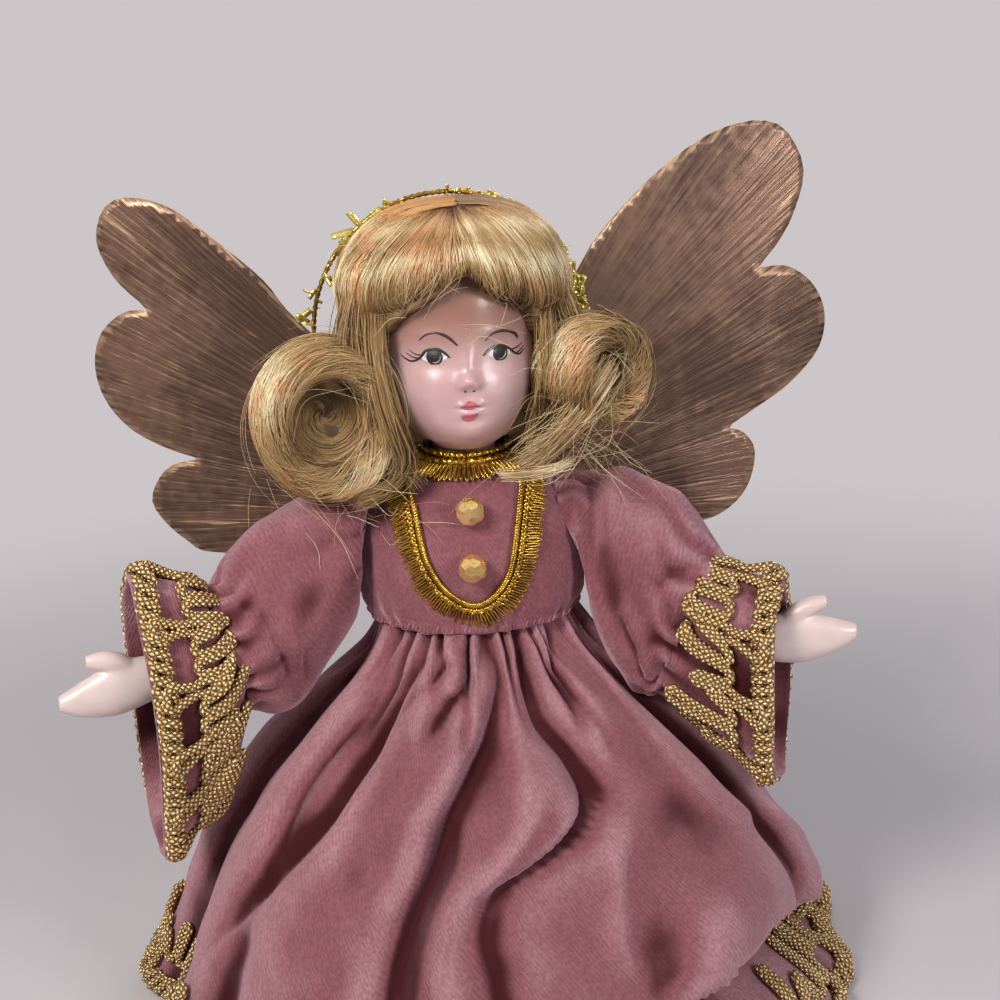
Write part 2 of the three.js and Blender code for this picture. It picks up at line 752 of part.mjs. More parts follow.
// A hand from the wrist along a level heading, with the thumb above the fused fingers.
function handForm(wrist, heading, lift) {
  const across = new THREE.Vector3(-heading.y, heading.x, 0);
  const rise = new THREE.Vector3(0, 0, 1);
  const ring = ([along, up, halfHeight, halfDepth]) => {
    const centre = wrist.clone()
      .addScaledVector(heading, along * handLength)
      .addScaledVector(rise, (up + along * lift) * handLength);
    return Array.from({ length: handSegments }, (_, i) => {
      const angle = (i / handSegments) * fullTurn;
      return centre.clone()
        .addScaledVector(across, halfDepth * handLength * Math.sin(angle))
        .addScaledVector(rise, halfHeight * handLength * Math.cos(angle));
    });
  };
  return join(skin(handRingShares.map(ring)), skin(thumbRingShares.map(ring)));
}

// Adds one arm. The wire runs from the shoulder through the sleeve to the wrist, and the cuff's
// loops reach back from its opening. The hand's heading, lift and rise are its own.
function addArm(name, side, { sleeveRows, cuffRows, loops, heading, lift, rise }) {
  const cuffSegments = 2 * loops;
  piece(`${name}_sleeve`, clothTube(side, sleeveRows, sleeveSegments), 'velvet');
  const waves = [0, cuffWave / 2, cuffWave];
  piece(`${name}_cuff`, clothTube(side, cuffRows, cuffSegments, waves), 'velvet');

  const cuffRings = armRings(side, cuffRows, cuffSegments, 0, waves);
  const [reach, edge] = cuffRings.slice(-2);
  const middle = new THREE.Vector3();
  edge.forEach((point) => middle.addScaledVector(point, 1 / edge.length));
  const outward = edge.map((point) => point.clone().sub(middle).normalize());
  piece(`${name}_cuff_braid`, braid(edge, reach, outward, trimGap), 'gilt');

  const centres = armRings(side, [...sleeveRows, ...cuffRows.slice(1)], 4, 0).map((ring) => (
    ring.reduce((sum, point) => sum.addScaledVector(point, 1 / 4), new THREE.Vector3())
  ));
  const root = centres[0].clone().setX(side * (shoulderHalfSpan + touchGap));
  const lead = root.clone().setX(side * (shoulderHalfSpan + 2 * wireRadius));
  const wrist = centres.at(-1).clone().lerp(centres.at(-2), 1 / 3).setZ(centres.at(-2).z + rise);
  const beforeHand = (distance) => wrist.clone().addScaledVector(heading, -distance);
  const ends = [beforeHand(2 * wireRadius), beforeHand(touchGap)];
  const route = [root, lead, ...centres.slice(2, -1), ...ends];
  const section = new THREE.Shape().absarc(0, 0, wireRadius, 0, fullTurn);
  const wire = new THREE.ExtrudeGeometry(section, {
    curveSegments: wireSides / 2,
    steps: wireSteps,
    extrudePath: new THREE.CatmullRomCurve3(route),
  });
  piece(`${name}_arm_wire`, wire, 'wire');
  piece(`${name}_hand`, handForm(wrist, heading, lift), 'wax');
}

function wingOutline(lobeShares) {
  return lobeShares.flatMap((lobe) => {
    const places = lobe.map(([out, up]) => new THREE.Vector2(out, up).multiplyScalar(wingLength));
    return new THREE.SplineCurve(places).getSpacedPoints(wingLobeSteps);
  });
}

function addWings() {
  const tabFront = bodiceBack + touchGap;
  const tab = new THREE.BoxGeometry(tabWidth, tabThickness, tabHeight);
  piece('wing_tab', tab, 'card').position.set(0, tabFront + tabThickness / 2, wingRootHeight);
  const wings = [['left_wing', -1, leftWingLobeShares], ['right_wing', 1, rightWingLobeShares]];
  for (const [name, side, lobeShares] of wings) {
    const outline = new THREE.Shape(wingOutline(lobeShares));
    const card = new THREE.ExtrudeGeometry(outline, { depth: wingThickness, bevelEnabled: false });
    card.rotateX(Math.PI / 2).translate(0, wingThickness, 0).rotateZ(wingSweep);
    if (side < 0) {
      card.scale(-1, 1, 1);
      card.setIndex(Array.from({ length: card.attributes.position.count }, (_, i) => i).reverse());
    }
    const wing = piece(name, card, 'foil');
    wing.position.set(side * wingRootOffset, tabFront + tabThickness + touchGap, wingRootHeight);
  }
}

addCone();
addUnderskirt();
addSkirt();
addHemBraid();
addTorso();
addBodice();
addCollar();
addNecklace();
addBeads();
addHead();
addArm('left', -1, {
  sleeveRows: leftSleeveShares,
  cuffRows: leftCuffShares,
  loops: leftCuffLoops,
  heading: new THREE.Vector3(-0.93, -0.37, 0),
  lift: leftHandLift,
  rise: leftHandRise,
});
addArm('right', 1, {
  sleeveRows: rightSleeveShares,
  cuffRows: rightCuffShares,
  loops: rightCuffLoops,
  heading: new THREE.Vector3(0.99, -0.14, 0),
  lift: rightHandLift,
  rise: rightHandRise,
});
addWings();

export default doll;
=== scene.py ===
"""Visual model of an angel doll: velvet dress, wax head and hands, rolled hair, tinsel halo and card wings.

Every length in the classes is in millimetres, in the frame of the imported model: +Z up, the doll faces -Y,
and left and right are as seen from in front. Meshes are scaled to metres when they are made.
"""
from __future__ import annotations

import logging
import math
from dataclasses import dataclass, field
from enum import Enum
from typing import Callable, Sequence

import bmesh
import bpy
import numpy as np
from mathutils import Matrix, Vector
from mathutils.geometry import delaunay_2d_cdt

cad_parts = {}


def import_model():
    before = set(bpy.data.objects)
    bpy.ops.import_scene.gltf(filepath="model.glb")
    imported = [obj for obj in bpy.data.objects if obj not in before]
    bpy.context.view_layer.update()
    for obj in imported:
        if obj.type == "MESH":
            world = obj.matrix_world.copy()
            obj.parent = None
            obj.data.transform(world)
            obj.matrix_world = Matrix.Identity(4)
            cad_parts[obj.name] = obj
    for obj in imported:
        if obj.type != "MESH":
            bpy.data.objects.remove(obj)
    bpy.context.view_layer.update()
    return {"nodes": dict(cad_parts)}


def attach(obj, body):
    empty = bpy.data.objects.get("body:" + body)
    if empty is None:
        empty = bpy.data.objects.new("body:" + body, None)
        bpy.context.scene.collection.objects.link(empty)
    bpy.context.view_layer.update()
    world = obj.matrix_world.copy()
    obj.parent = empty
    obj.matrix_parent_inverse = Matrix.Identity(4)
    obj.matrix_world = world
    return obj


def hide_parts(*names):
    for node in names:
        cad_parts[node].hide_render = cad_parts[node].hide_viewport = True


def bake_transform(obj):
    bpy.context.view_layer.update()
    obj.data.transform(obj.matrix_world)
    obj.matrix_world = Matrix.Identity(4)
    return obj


log = logging.getLogger("angel_doll")

MM = 0.001
TURN = 2 * math.pi

Array = np.ndarray
Triple = tuple[float, float, float]
Socket = bpy.types.NodeSocket
Surface = Callable[[Array, Array], Array]
NodeBuilder = Callable[["NodeBoard", bpy.types.Node], Socket]


class Body(str, Enum):
    """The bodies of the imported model."""

    DOLL = "doll"
    HEAD = "head"
    LEFT_ARM = "left_arm"
    RIGHT_ARM = "right_arm"


class Side(int, Enum):
    """A side of the doll, as the sign of X."""

    LEFT = -1
    RIGHT = 1


# Curves, surfaces and meshes


def eased(keys: Sequence[float], values: Sequence, at: Array) -> Array:
    """Runs a monotone cubic through values at rising keys.

    Args:
        keys: where the values are given, rising.
        values: one number or row of numbers for each key.
        at: where the curve is read.

    Returns:
        The curve's values at each place in at.
    """
    k = np.asarray(keys, float)
    v = np.asarray(values, float)
    flat = v.ndim == 1
    v = v[:, None] if flat else v
    gaps = np.diff(k)[:, None]
    slopes = np.diff(v, axis=0) / gaps
    tangents = np.zeros_like(v)
    tangents[0], tangents[-1] = slopes[0], slopes[-1]
    before, after = slopes[:-1], slopes[1:]
    product = before * after
    with np.errstate(divide="ignore", invalid="ignore"):
        harmonic = 2 * product / (before + after)
    tangents[1:-1] = np.where(product > 0, harmonic, 0)
    places = np.asarray(at, float)
    i = np.clip(np.searchsorted(k, places, side="right") - 1, 0, len(k) - 2)
    h = gaps[i]
    t = np.clip((places - k[i])[..., None] / h, 0, 1)
    out = (
        v[i] * (1 + 2 * t) * (1 - t) ** 2
        + v[i + 1] * t * t * (3 - 2 * t)
        + tangents[i] * h * t * (1 - t) ** 2
        - tangents[i + 1] * h * t * t * (1 - t)
    )
    return out[..., 0] if flat else out


def through(points: Sequence, count: int) -> Array:
    """Runs a smooth open curve through points and spaces count points evenly along it.

    Args:
        points: one row each.
        count: how many points are wanted.

    Returns:
        The points along the curve.
    """
    p = np.asarray(points, float)
    padded = np.vstack([2 * p[0] - p[1], p, 2 * p[-1] - p[-2]])
    fine = []
    steps = np.linspace(0, 1, 12, endpoint=False)[:, None]
    for a, b, c, d in zip(padded, padded[1:], padded[2:], padded[3:]):
        fine.append(0.5 * (2 * b + (c - a) * steps + (2 * a - 5 * b + 4 * c - d) * steps**2
                           + (3 * b - a - 3 * c + d) * steps**3))
    fine = np.vstack([*fine, p[-1:]])
    return spaced(fine, count)


def distances(points: Array) -> Array:
    """Gives how far along a polyline each of its points lies."""
    return np.concatenate([[0], np.cumsum(np.linalg.norm(np.diff(points, axis=0), axis=1))])


def spaced(points: Array, count: int) -> Array:
    """Spaces count points evenly along a polyline.

    Args:
        points: one row each.
        count: how many points are wanted.

    Returns:
        The evenly spaced points.
    """
    along = distances(points)
    at = np.linspace(0, along[-1], count)
    return np.stack([np.interp(at, along, points[:, axis]) for axis in range(points.shape[1])], axis=1)


def ripple(points: Array, length: float, seed: int, waves: int = 7) -> Array:
    """Sums plane waves of random directions into a smooth field from about -1 to 1.

    Args:
        points: places, one row each.
        length: the mean wavelength in the points' own unit.
        seed: picks the directions and phases.
        waves: how many waves are summed.

    Returns:
        One number for each place.
    """
    rng = np.random.default_rng(seed)
    total = np.zeros(points.shape[:-1])
    for _ in range(waves):
        direction = rng.normal(size=points.shape[-1])
        direction *= rng.uniform(0.6, 1.5) / np.linalg.norm(direction)
        total += np.sin(points @ direction * TURN / length + rng.uniform(0, TURN))
    return total / math.sqrt(waves * 0.5) / 1.6


def smooth(share: Array) -> Array:
    """Eases a share from 0 to 1 at both its ends."""
    return share * share * (3 - 2 * share)


def unit(vectors: Array) -> Array:
    """Scales vectors to a length of 1."""
    return vectors / np.linalg.norm(vectors, axis=-1, keepdims=True)


def read_rows(rows: Sequence[Sequence[float]], at: Array) -> Array:
    """Runs a monotone cubic through a table whose rows each start with their key."""
    return eased([row[0] for row in rows], [row[1:] for row in rows], at)


def round_grid(columns: int, rows: int, first: float = 0.0, last: float = 1.0) -> list[Array]:
    """Gives the turns and the height shares of a grid that runs round a form."""
    return np.meshgrid(np.arange(columns) / columns, np.linspace(first, last, rows))


def bump(distance: Array, width: float) -> Array:
    """A round hump of height 1, which falls away over a width."""
    return np.exp(-((distance / width) ** 2))


def turned(points: Array, angle: float, about: Sequence[float] = (0, 0)) -> Array:
    """Turns points about an upright axis through a place in plan.

    Args:
        points: rows of three numbers.
        angle: the turn, in radians.
        about: the axis's place in plan.

    Returns:
        The turned points.
    """
    c, s = math.cos(angle), math.sin(angle)
    out = np.array(points, float)
    x, y = out[..., 0] - about[0], out[..., 1] - about[1]
    out[..., 0] = about[0] + c * x - s * y
    out[..., 1] = about[1] + s * x + c * y
    return out


def normals_of(surface: Surface, u: Array, v: Array, sign: float = 1.0) -> Array:
    """Finds the outward normals of a surface by small steps along u and v.

    Args:
        surface: gives the places of u and v.
        u: the first coordinate of each place.
        v: the second.
        sign: -1 where u and v run the other way round.

    Returns:
        One unit vector for each place.
    """
    step = 0.004
    along_u = surface(u + step, v) - surface(u - step, v)
    along_v = surface(u, v + step) - surface(u, v - step)
    normal = sign * np.cross(along_u, along_v)
    return normal / np.maximum(np.linalg.norm(normal, axis=-1, keepdims=True), 1e-9)


def grid_faces(rows: int, columns: int, wrap: bool) -> list[tuple[int, ...]]:
    """Lists the quads of a grid whose columns may wrap round.

    Args:
        rows: how many rows the grid has.
        columns: how many columns it has.
        wrap: whether the columns run round.

    Returns:
        Four indices for each face.
    """
    across = columns if wrap else columns - 1
    return [
        (
            r * columns + c,
            r * columns + (c + 1) % columns,
            (r + 1) * columns + (c + 1) % columns,
            (r + 1) * columns + c,
        )
        for r in range(rows - 1)
        for c in range(across)
    ]


def new_object(name: str, mesh: bpy.types.Mesh) -> bpy.types.Object:
    """Puts a mesh in the scene as an object at the origin.

    Args:
        name: the object's name.
        mesh: its mesh.

    Returns:
        The object.
    """
    made = bpy.data.objects.new(name, mesh)
    bpy.context.scene.collection.objects.link(made)
    return made


def mesh_piece(
    name: str,
    vertices: Array,
    faces: Sequence[tuple[int, ...]],
    material: bpy.types.Material,
) -> bpy.types.Object:
    """Makes a smooth closed piece from vertices in millimetres, with its faces turned outwards.

    Args:
        name: the piece's name.
        vertices: one row for each vertex.
        faces: indices of each face.
        material: the piece's finish.

    Returns:
        The new object.
    """
    mesh = bpy.data.meshes.new(name)
    mesh.from_pydata((np.asarray(vertices, float) * MM).tolist(), [], [tuple(face) for face in faces])
    mesh.materials.append(material)
    point_outwards(mesh)
    mesh.shade_smooth()
    return new_object(name, mesh)


def point_outwards(mesh: bpy.types.Mesh) -> None:
    """Turns the faces of a closed mesh outwards.

    Args:
        mesh: the closed mesh.
    """
    work = bmesh.new()
    work.from_mesh(mesh)
    bmesh.ops.recalc_face_normals(work, faces=work.faces)
    work.to_mesh(mesh)
    work.free()


def store(target: bpy.types.Object, name: str, values: Array) -> None:
    """Stores one number for each vertex of a piece."""
    attribute = target.data.attributes.new(name, "FLOAT", "POINT")
    attribute.data.foreach_set("value", np.asarray(values, np.float32).ravel())


def store_uv(target: bpy.types.Object, per_vertex: Array, periods: tuple[float, float] = (0.0, 0.0)) -> None:
    """Gives a piece the UV map "cloth".

    Args:
        target: the piece.
        per_vertex: one pair of numbers for each vertex, in millimetres along the cloth.
        periods: after how many millimetres each number starts again, so that no face spans its jump.
    """
    layer = target.data.uv_layers.new(name="cloth")
    corners = np.zeros(len(target.data.loops), np.int32)
    target.data.loops.foreach_get("vertex_index", corners)
    spots = np.asarray(per_vertex, np.float32)[corners]
    starts = np.zeros(len(target.data.polygons), np.int32)
    target.data.polygons.foreach_get("loop_start", starts)
    sizes = np.diff(np.append(starts, len(corners)))
    for axis, period in enumerate(periods):
        high = np.repeat(np.maximum.reduceat(spots[:, axis], starts), sizes)
        spots[:, axis] += period * (spots[:, axis] < high - period / 2)
    layer.data.foreach_set("uv", spots.ravel())


def slab_between(outer: Array, inner: Array, wrap: bool) -> tuple[Array, list[tuple[int, ...]]]:
    """Closes two matching grids into one thin wall.

    Args:
        outer: rows by columns by 3.
        inner: the same shape, on the other side of the wall.
        wrap: whether the columns run round.

    Returns:
        The wall's vertices and faces.
    """
    rows, columns = outer.shape[:2]
    size = rows * columns
    faces = grid_faces(rows, columns, wrap)
    faces += [tuple(size + i for i in reversed(face)) for face in faces]
    across = columns if wrap else columns - 1
    for row in (0, rows - 1):
        for c in range(across):
            a, b = row * columns + c, row * columns + (c + 1) % columns
            faces.append((a, b, size + b, size + a) if row else (b, a, size + a, size + b))
    if not wrap:
        for column in (0, columns - 1):
            for r in range(rows - 1):
                a, b = r * columns + column, (r + 1) * columns + column
                faces.append((b, a, size + a, size + b) if column else (a, b, size + b, size + a))
    return np.vstack([outer.reshape(-1, 3), inner.reshape(-1, 3)]), faces


def lofted(rings: Array) -> tuple[Array, list[tuple[int, ...]]]:
    """Skins rings of points into a closed solid whose ends are fans.

    Args:
        rings: rows by columns by 3, each row a closed ring.

    Returns:
        The solid's vertices and faces.
    """
    rows, columns = rings.shape[:2]
    vertices = np.vstack([rings.reshape(-1, 3), rings[0].mean(axis=0), rings[-1].mean(axis=0)])
    first, last = rows * columns, rows * columns + 1
    faces = grid_faces(rows, columns, True)
    for c in range(columns):
        after = (c + 1) % columns
        faces.append((first, after, c))
        faces.append((last, (rows - 1) * columns + c, (rows - 1) * columns + after))
    return vertices, faces


def merged(parts: Sequence[tuple[Array, list[tuple[int, ...]]]]) -> tuple[Array, list[tuple[int, ...]]]:
    """Joins several vertex and face lists into one.

    Args:
        parts: the vertices and faces of each part.

    Returns:
        The vertices and faces of all of them.
    """
    vertices, faces, base = [], [], 0
    for points, found in parts:
        vertices.append(points)
        faces += [tuple(base + i for i in face) for face in found]
        base += len(points)
    return np.vstack(vertices), faces


def settle(piece: bpy.types.Object, body: Body, slot: str, *nodes: str) -> bpy.types.Object:
    """Says which body a piece rides on, and hides the CAD nodes that it stands for.

    Args:
        piece: the piece.
        body: the body that it rides on.
        slot: not used.
        nodes: the CAD nodes that it stands for.

    Returns:
        The piece.
    """
    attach(piece, body.value)
    if nodes:
        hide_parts(*nodes)
    log.info("%s rides on %s: %d faces", piece.name, body.value, len(piece.data.polygons))
    return piece


# Node trees


class NodeBoard:
    """Adds nodes to a tree and joins them."""

    def __init__(self, tree: bpy.types.NodeTree) -> None:
        """Keeps the tree that the nodes go into."""
        self.tree = tree

    def add(self, kind: str, inputs: dict | None = None, **settings: object) -> bpy.types.Node:
        """Adds one node.

        Args:
            kind: the node's type.
            inputs: for each input's name or number, a value or an output socket to join to it.
            settings: the node's own settings.

        Returns:
            The new node.
        """
        node = self.tree.nodes.new(kind)
        for name, value in settings.items():
            setattr(node, name, value)
        for key, value in (inputs or {}).items():
            socket = self.socket(node.inputs, key)
            if isinstance(value, Socket):
                self.tree.links.new(value, socket)
            else:
                socket.default_value = value
        return node

    @staticmethod
    def socket(sockets: bpy.types.bpy_prop_collection, key: str | int) -> Socket:
        """Finds a socket by number, or the first enabled one of a name.

        Args:
            sockets: a node's inputs or outputs.
            key: a number or a name.

        Returns:
            The socket.
        """
        if isinstance(key, int):
            return sockets[key]
        return next(found for found in sockets if found.name == key and found.enabled)

    def out(self, kind: str, inputs: dict | None = None, output: str | int = 0, **settings: object) -> Socket:
        """Adds one node and gives one of its outputs."""
        node = self.add(kind, inputs, **settings)
        return self.socket(node.outputs, output)


class ShaderBoard(NodeBoard):
    """Short forms for the nodes that the finishes use."""

    def math(self, operation: str, a: object, b: object = 0.0) -> Socket:
        """Adds a Math node and gives its value."""
        return self.out("ShaderNodeMath", {0: a, 1: b}, operation=operation)

    def mix(self, factor: object, a: object, b: object) -> Socket:
        """Mixes two colours."""
        return self.out("ShaderNodeMix", {0: factor, 6: a, 7: b}, output=2, data_type="RGBA")

    def group(self, tree: bpy.types.NodeTree, output: str, **inputs: float) -> Socket:
        """Places a shared group with its own values, and gives one of its outputs.

        Args:
            tree: the group.
            output: the output's name.
            inputs: the values, whose names have underscores for spaces.

        Returns:
            The output.
        """
        node = self.add("ShaderNodeGroup", node_tree=tree)
        for name, value in inputs.items():
            node.inputs[name.replace("_", " ")].default_value = value
        return node.outputs[output]

    def reshape(self, value: object, low: float, high: float, to_low: float = 0.0,
                to_high: float = 1.0) -> Socket:
        """Maps a range of a value to another range, without passing its ends."""
        return self.out(
            "ShaderNodeMapRange",
            {"Value": value, "From Min": low, "From Max": high, "To Min": to_low, "To Max": to_high},
            output="Result",
            interpolation_type="SMOOTHSTEP",
        )

    def noise(self, vector: object, scale: float, detail: float = 3.0) -> Socket:
        """Adds a Noise Texture and gives its value."""
        return self.out("ShaderNodeTexNoise", {"Vector": vector, "Scale": scale, "Detail": detail},
                        output="Fac")

    def position(self) -> Socket:
        """Gives the place on the piece, in metres."""
        return self.out("ShaderNodeTexCoord", output="Object")

    def scaled(self, vector: object, scale: Triple) -> Socket:
        """Scales a place by its own factor along each axis."""
        return self.out("ShaderNodeMapping", {"Vector": vector, "Scale": scale})

    def attribute(self, name: str) -> Socket:
        """Reads a number that is stored on the piece."""
        return self.out("ShaderNodeAttribute", output="Fac", attribute_name=name)

    def relief(self, height: object, distance: float, strength: float = 1.0,
               normal: object | None = None) -> Socket:
        """Turns a height into a bumped normal.

        Args:
            height: the height's socket.
            distance: how high the relief is, in metres.
            strength: the share of it that shows.
            normal: a normal that it is added to.

        Returns:
            The normal.
        """
        inputs = {"Height": height, "Distance": distance, "Strength": strength}
        if normal is not None:
            inputs["Normal"] = normal
        return self.out("ShaderNodeBump", inputs, output="Normal")


def linear(red: float, green: float, blue: float) -> tuple[float, float, float, float]:
    """Turns a colour as seen on a screen into the renderer's own numbers."""
    parts = [c / 12.92 if c <= 0.04045 else ((c + 0.055) / 1.055) ** 2.4 for c in (red, green, blue)]
    return (*parts, 1.0)


def new_group(name: str, kind: str, sockets: Sequence[tuple[str, str, str, object]]) -> bpy.types.NodeTree:
    """Makes a node group with named inputs and outputs.

    Args:
        name: the group's name.
        kind: the tree's type.
        sockets: for each socket its name, INPUT or OUTPUT, its type, and a default or None.

    Returns:
        The new tree.
    """
    tree = bpy.data.node_groups.new(name, kind)
    for label, way, socket_type, default in sockets:
        socket = tree.interface.new_socket(name=label, in_out=way, socket_type=socket_type)
        if default is not None:
            socket.default_value = default
    return tree


def mottle_group() -> bpy.types.NodeTree:
    """Builds, once, the group of soft patches that the cloth, the wax, the card and the foil share.

    Returns:
        The group.
    """
    found = bpy.data.node_groups.get("soft_mottle")
    if found:
        return found
    tree = new_group(
        "soft_mottle",
        "ShaderNodeTree",
        [
            ("Coarse Scale", "INPUT", "NodeSocketFloat", 40.0),
            ("Fine Scale", "INPUT", "NodeSocketFloat", 400.0),
            ("Fine Share", "INPUT", "NodeSocketFloat", 0.3),
            ("Mask", "OUTPUT", "NodeSocketFloat", None),
        ],
    )
    board = ShaderBoard(tree)
    given = board.add("NodeGroupInput")
    place = board.position()
    coarse = board.out(
        "ShaderNodeTexNoise", {"Vector": place, "Scale": given.outputs[0], "Detail": 2.0}, output="Fac")
    fine = board.out("ShaderNodeTexNoise", {"Vector": place, "Scale": given.outputs[1], "Detail": 2.0},
                     output="Fac")
    both = board.out("ShaderNodeMix", {0: given.outputs[2], 2: coarse, 3: fine}, data_type="FLOAT")
    board.add("NodeGroupOutput", {0: board.reshape(both, 0.3, 0.7)})
    return tree


def glitter_group() -> bpy.types.NodeTree:
    """Builds, once, the group of small tilted facets that the gilt cord uses.

    Returns:
        The group.
    """
    found = bpy.data.node_groups.get("metal_glitter")
    if found:
        return found
    tree = new_group(
        "metal_glitter",
        "ShaderNodeTree",
        [
            ("Scale", "INPUT", "NodeSocketFloat", 2500.0),
            ("Facet", "OUTPUT", "NodeSocketFloat", None),
            ("Height", "OUTPUT", "NodeSocketFloat", None),
        ],
    )
    board = ShaderBoard(tree)
    given = board.add("NodeGroupInput")
    cells = board.add("ShaderNodeTexVoronoi", {"Vector": board.position(), "Scale": given.outputs[0]})
    shade = board.out("ShaderNodeSeparateColor", {"Color": cells.outputs["Color"]})
    board.add("NodeGroupOutput", {0: shade, 1: cells.outputs["Distance"]})
    return tree


@dataclass(frozen=True)
class Finish:
    """A finish of the doll, which makes its material once."""

    label: str

    def material(self) -> bpy.types.Material:
        """Gives the finish's material, and builds it on the first call.

        Returns:
            The material.
        """
        found = bpy.data.materials.get(self.label)
        if found:
            return found
        made = bpy.data.materials.new(self.label)
        made.use_nodes = True
        made.node_tree.nodes.clear()
        board = ShaderBoard(made.node_tree)
        shader = board.add("ShaderNodeBsdfPrincipled")
        board.add("ShaderNodeOutputMaterial", {"Surface": shader.outputs[0]})
        self.dress(board, shader)
        return made

    def dress(self, board: ShaderBoard, shader: bpy.types.Node) -> None:
        """Joins the finish's nodes to the shader. Each finish has its own.

        Args:
            board: the material's board.
            shader: the material's shader.
        """
        raise NotImplementedError

    @staticmethod
    def set_inputs(shader: bpy.types.Node, **values: object) -> None:
        """Sets constants on the shader's own sockets, whose names have underscores for spaces here."""
        for name, value in values.items():
            shader.inputs[name.replace("_", " ")].default_value = value

    @staticmethod
    def link(board: ShaderBoard, shader: bpy.types.Node, **sources: object) -> None:
        """Joins outputs to the shader's sockets, whose names have underscores for spaces here."""
        for name, source in sources.items():
            board.tree.links.new(source, shader.inputs[name.replace("_", " ")])


@dataclass(frozen=True)
class VelvetFinish(Finish):
    """Cotton velvet in fine slanting rows, with a painted shade in its fold valleys, a painted highlight on
    its crests and a painted sheen at its edges.
    """

    # The dark pile colour is used for the painted shade in the folds and for the grain; the pale pile colour
    # for lighter patches, the painted highlight on the crests and the painted sheen at the edges.
    deep: Triple = (0.26, 0.105, 0.12)
    body: Triple = (0.57, 0.36, 0.385)
    brushed_and_sheen: Triple = (0.80, 0.62, 0.65)
    row_pitch: float = 1.0

    def dress(self, board: ShaderBoard, shader: bpy.types.Node) -> None:
        """Builds the pile's rows and patches, its painted fold shade and highlight, its painted edge sheen
        and its sheen.

        Args:
            board: the material's board.
            shader: the material's shader.
        """
        cloth = board.out("ShaderNodeUVMap", uv_map="cloth")
        split = board.add("ShaderNodeSeparateXYZ", {0: cloth})
        wander = board.noise(board.position(), 120.0)
        slant = board.math("ADD", split.outputs[0], board.math("MULTIPLY", split.outputs[1], 0.55))
        across = board.math("ADD", slant, board.math("MULTIPLY", wander, 2.4))
        rows = board.math("SINE", board.math("MULTIPLY", across, TURN / self.row_pitch))
        pile = board.noise(board.position(), 2300.0, 2.0)
        tufts = board.noise(board.position(), 900.0, 3.0)
        patches = board.group(mottle_group(), "Mask", Coarse_Scale=17.0, Fine_Scale=90.0, Fine_Share=0.3)
        # Painted shade and highlight: the stored fold value darkens the fold valleys towards the dark pile
        # colour and lightens the crests towards the pale one.
        crest_shade = board.attribute("crest_shade")
        light = board.math("ADD", board.math("MULTIPLY", patches, 0.3), board.math("MULTIPLY", crest_shade, 0.7))
        lower = board.mix(board.reshape(light, 0.1, 0.5), linear(*self.deep), linear(*self.body))
        upper = board.mix(board.reshape(light, 0.5, 0.95, 0.0, 0.5), lower, linear(*self.brushed_and_sheen))
        # Painted sheen: faces seen edge-on are lightened towards the pale pile colour.
        facing = board.out("ShaderNodeLayerWeight", {"Blend": 0.35}, output="Facing")
        rim = board.mix(board.reshape(facing, 0.15, 0.75, 0.0, 0.75), upper, linear(*self.brushed_and_sheen))
        rows = board.math("MULTIPLY", rows,
                          board.reshape(board.noise(board.position(), 430.0, 2.0), 0.38, 0.62))
        grain = board.math("ADD", board.math("MULTIPLY", rows, 0.12), board.math("MULTIPLY", tufts, 0.8))
        shade = board.mix(board.reshape(grain, 0.2, 0.62, 0.34, 0.0), rim, linear(*self.deep))
        height = board.math("ADD", board.math("MULTIPLY", rows, 0.3), board.math("ADD", pile, tufts))
        self.link(board, shader, Base_Color=shade, Normal=board.relief(height, 0.00025, 0.75))
        self.set_inputs(
            shader,
            Roughness=0.95,
            Specular_IOR_Level=0.1,
            Sheen_Weight=0.7,
            Sheen_Roughness=0.3,
            Sheen_Tint=linear(0.92, 0.72, 0.77),
        )


@dataclass(frozen=True)
class GiltCordFinish(Finish):
    """Crocheted metal thread, with a painted shade between its knobs and painted glints on the highest of
    them.
    """

    # The first colour is the painted shade between the knobs, the second the thread's own colour, the third
    # the painted glints.
    hollow: Triple = (0.56, 0.41, 0.22)
    thread: Triple = (1.0, 0.87, 0.62)
    painted_glint: Triple = (1.0, 0.98, 0.86)
    pitch: float = 1.9
    rows: int = 4

    def dress(self, board: ShaderBoard, shader: bpy.types.Node) -> None:
        """Builds the thread's knobs, their painted shade and glints, from the place along and round the cord.

        Args:
            board: the material's board.
            shader: the material's shader.
        """
        glitter = board.add("ShaderNodeGroup", node_tree=glitter_group())
        glitter.inputs["Scale"].default_value = 1500.0
        ring = board.out("ShaderNodeAttribute", output="Vector", attribute_name="ring")
        split = board.add("ShaderNodeSeparateXYZ", {0: ring})
        angle = board.math("ARCTAN2", split.outputs[1], split.outputs[0])
        spin = board.math("MULTIPLY", angle, float(self.rows))
        phase = board.math("MULTIPLY", board.attribute("along"), TURN / (self.pitch * MM))
        waves = [board.math("ADD", board.math("COSINE", board.math(way, phase, spin)), 1.0)
                 for way in ("ADD", "SUBTRACT")]
        knob = board.math("MULTIPLY", board.math("SQRT", board.math("MULTIPLY", *waves)), 0.5)
        # Painted shade: the low places between the knobs are darker.
        thread = board.mix(board.reshape(knob, 0.15, 0.75), linear(*self.hollow), linear(*self.thread))
        # Painted glints: the highest knobs turn near-white where a random facet allows.
        lit = board.math("MULTIPLY", board.reshape(knob, 0.7, 0.95),
                         board.reshape(glitter.outputs["Facet"], 0.3, 0.7))
        colour = board.mix(lit, thread, linear(*self.painted_glint))
        roughness = board.reshape(glitter.outputs["Facet"], 0.1, 0.9, 0.42, 0.16)
        self.link(board, shader, Base_Color=colour, Roughness=roughness,
                  Normal=board.relief(knob, 0.0007, 1.0))
        self.set_inputs(shader, Metallic=0.5)


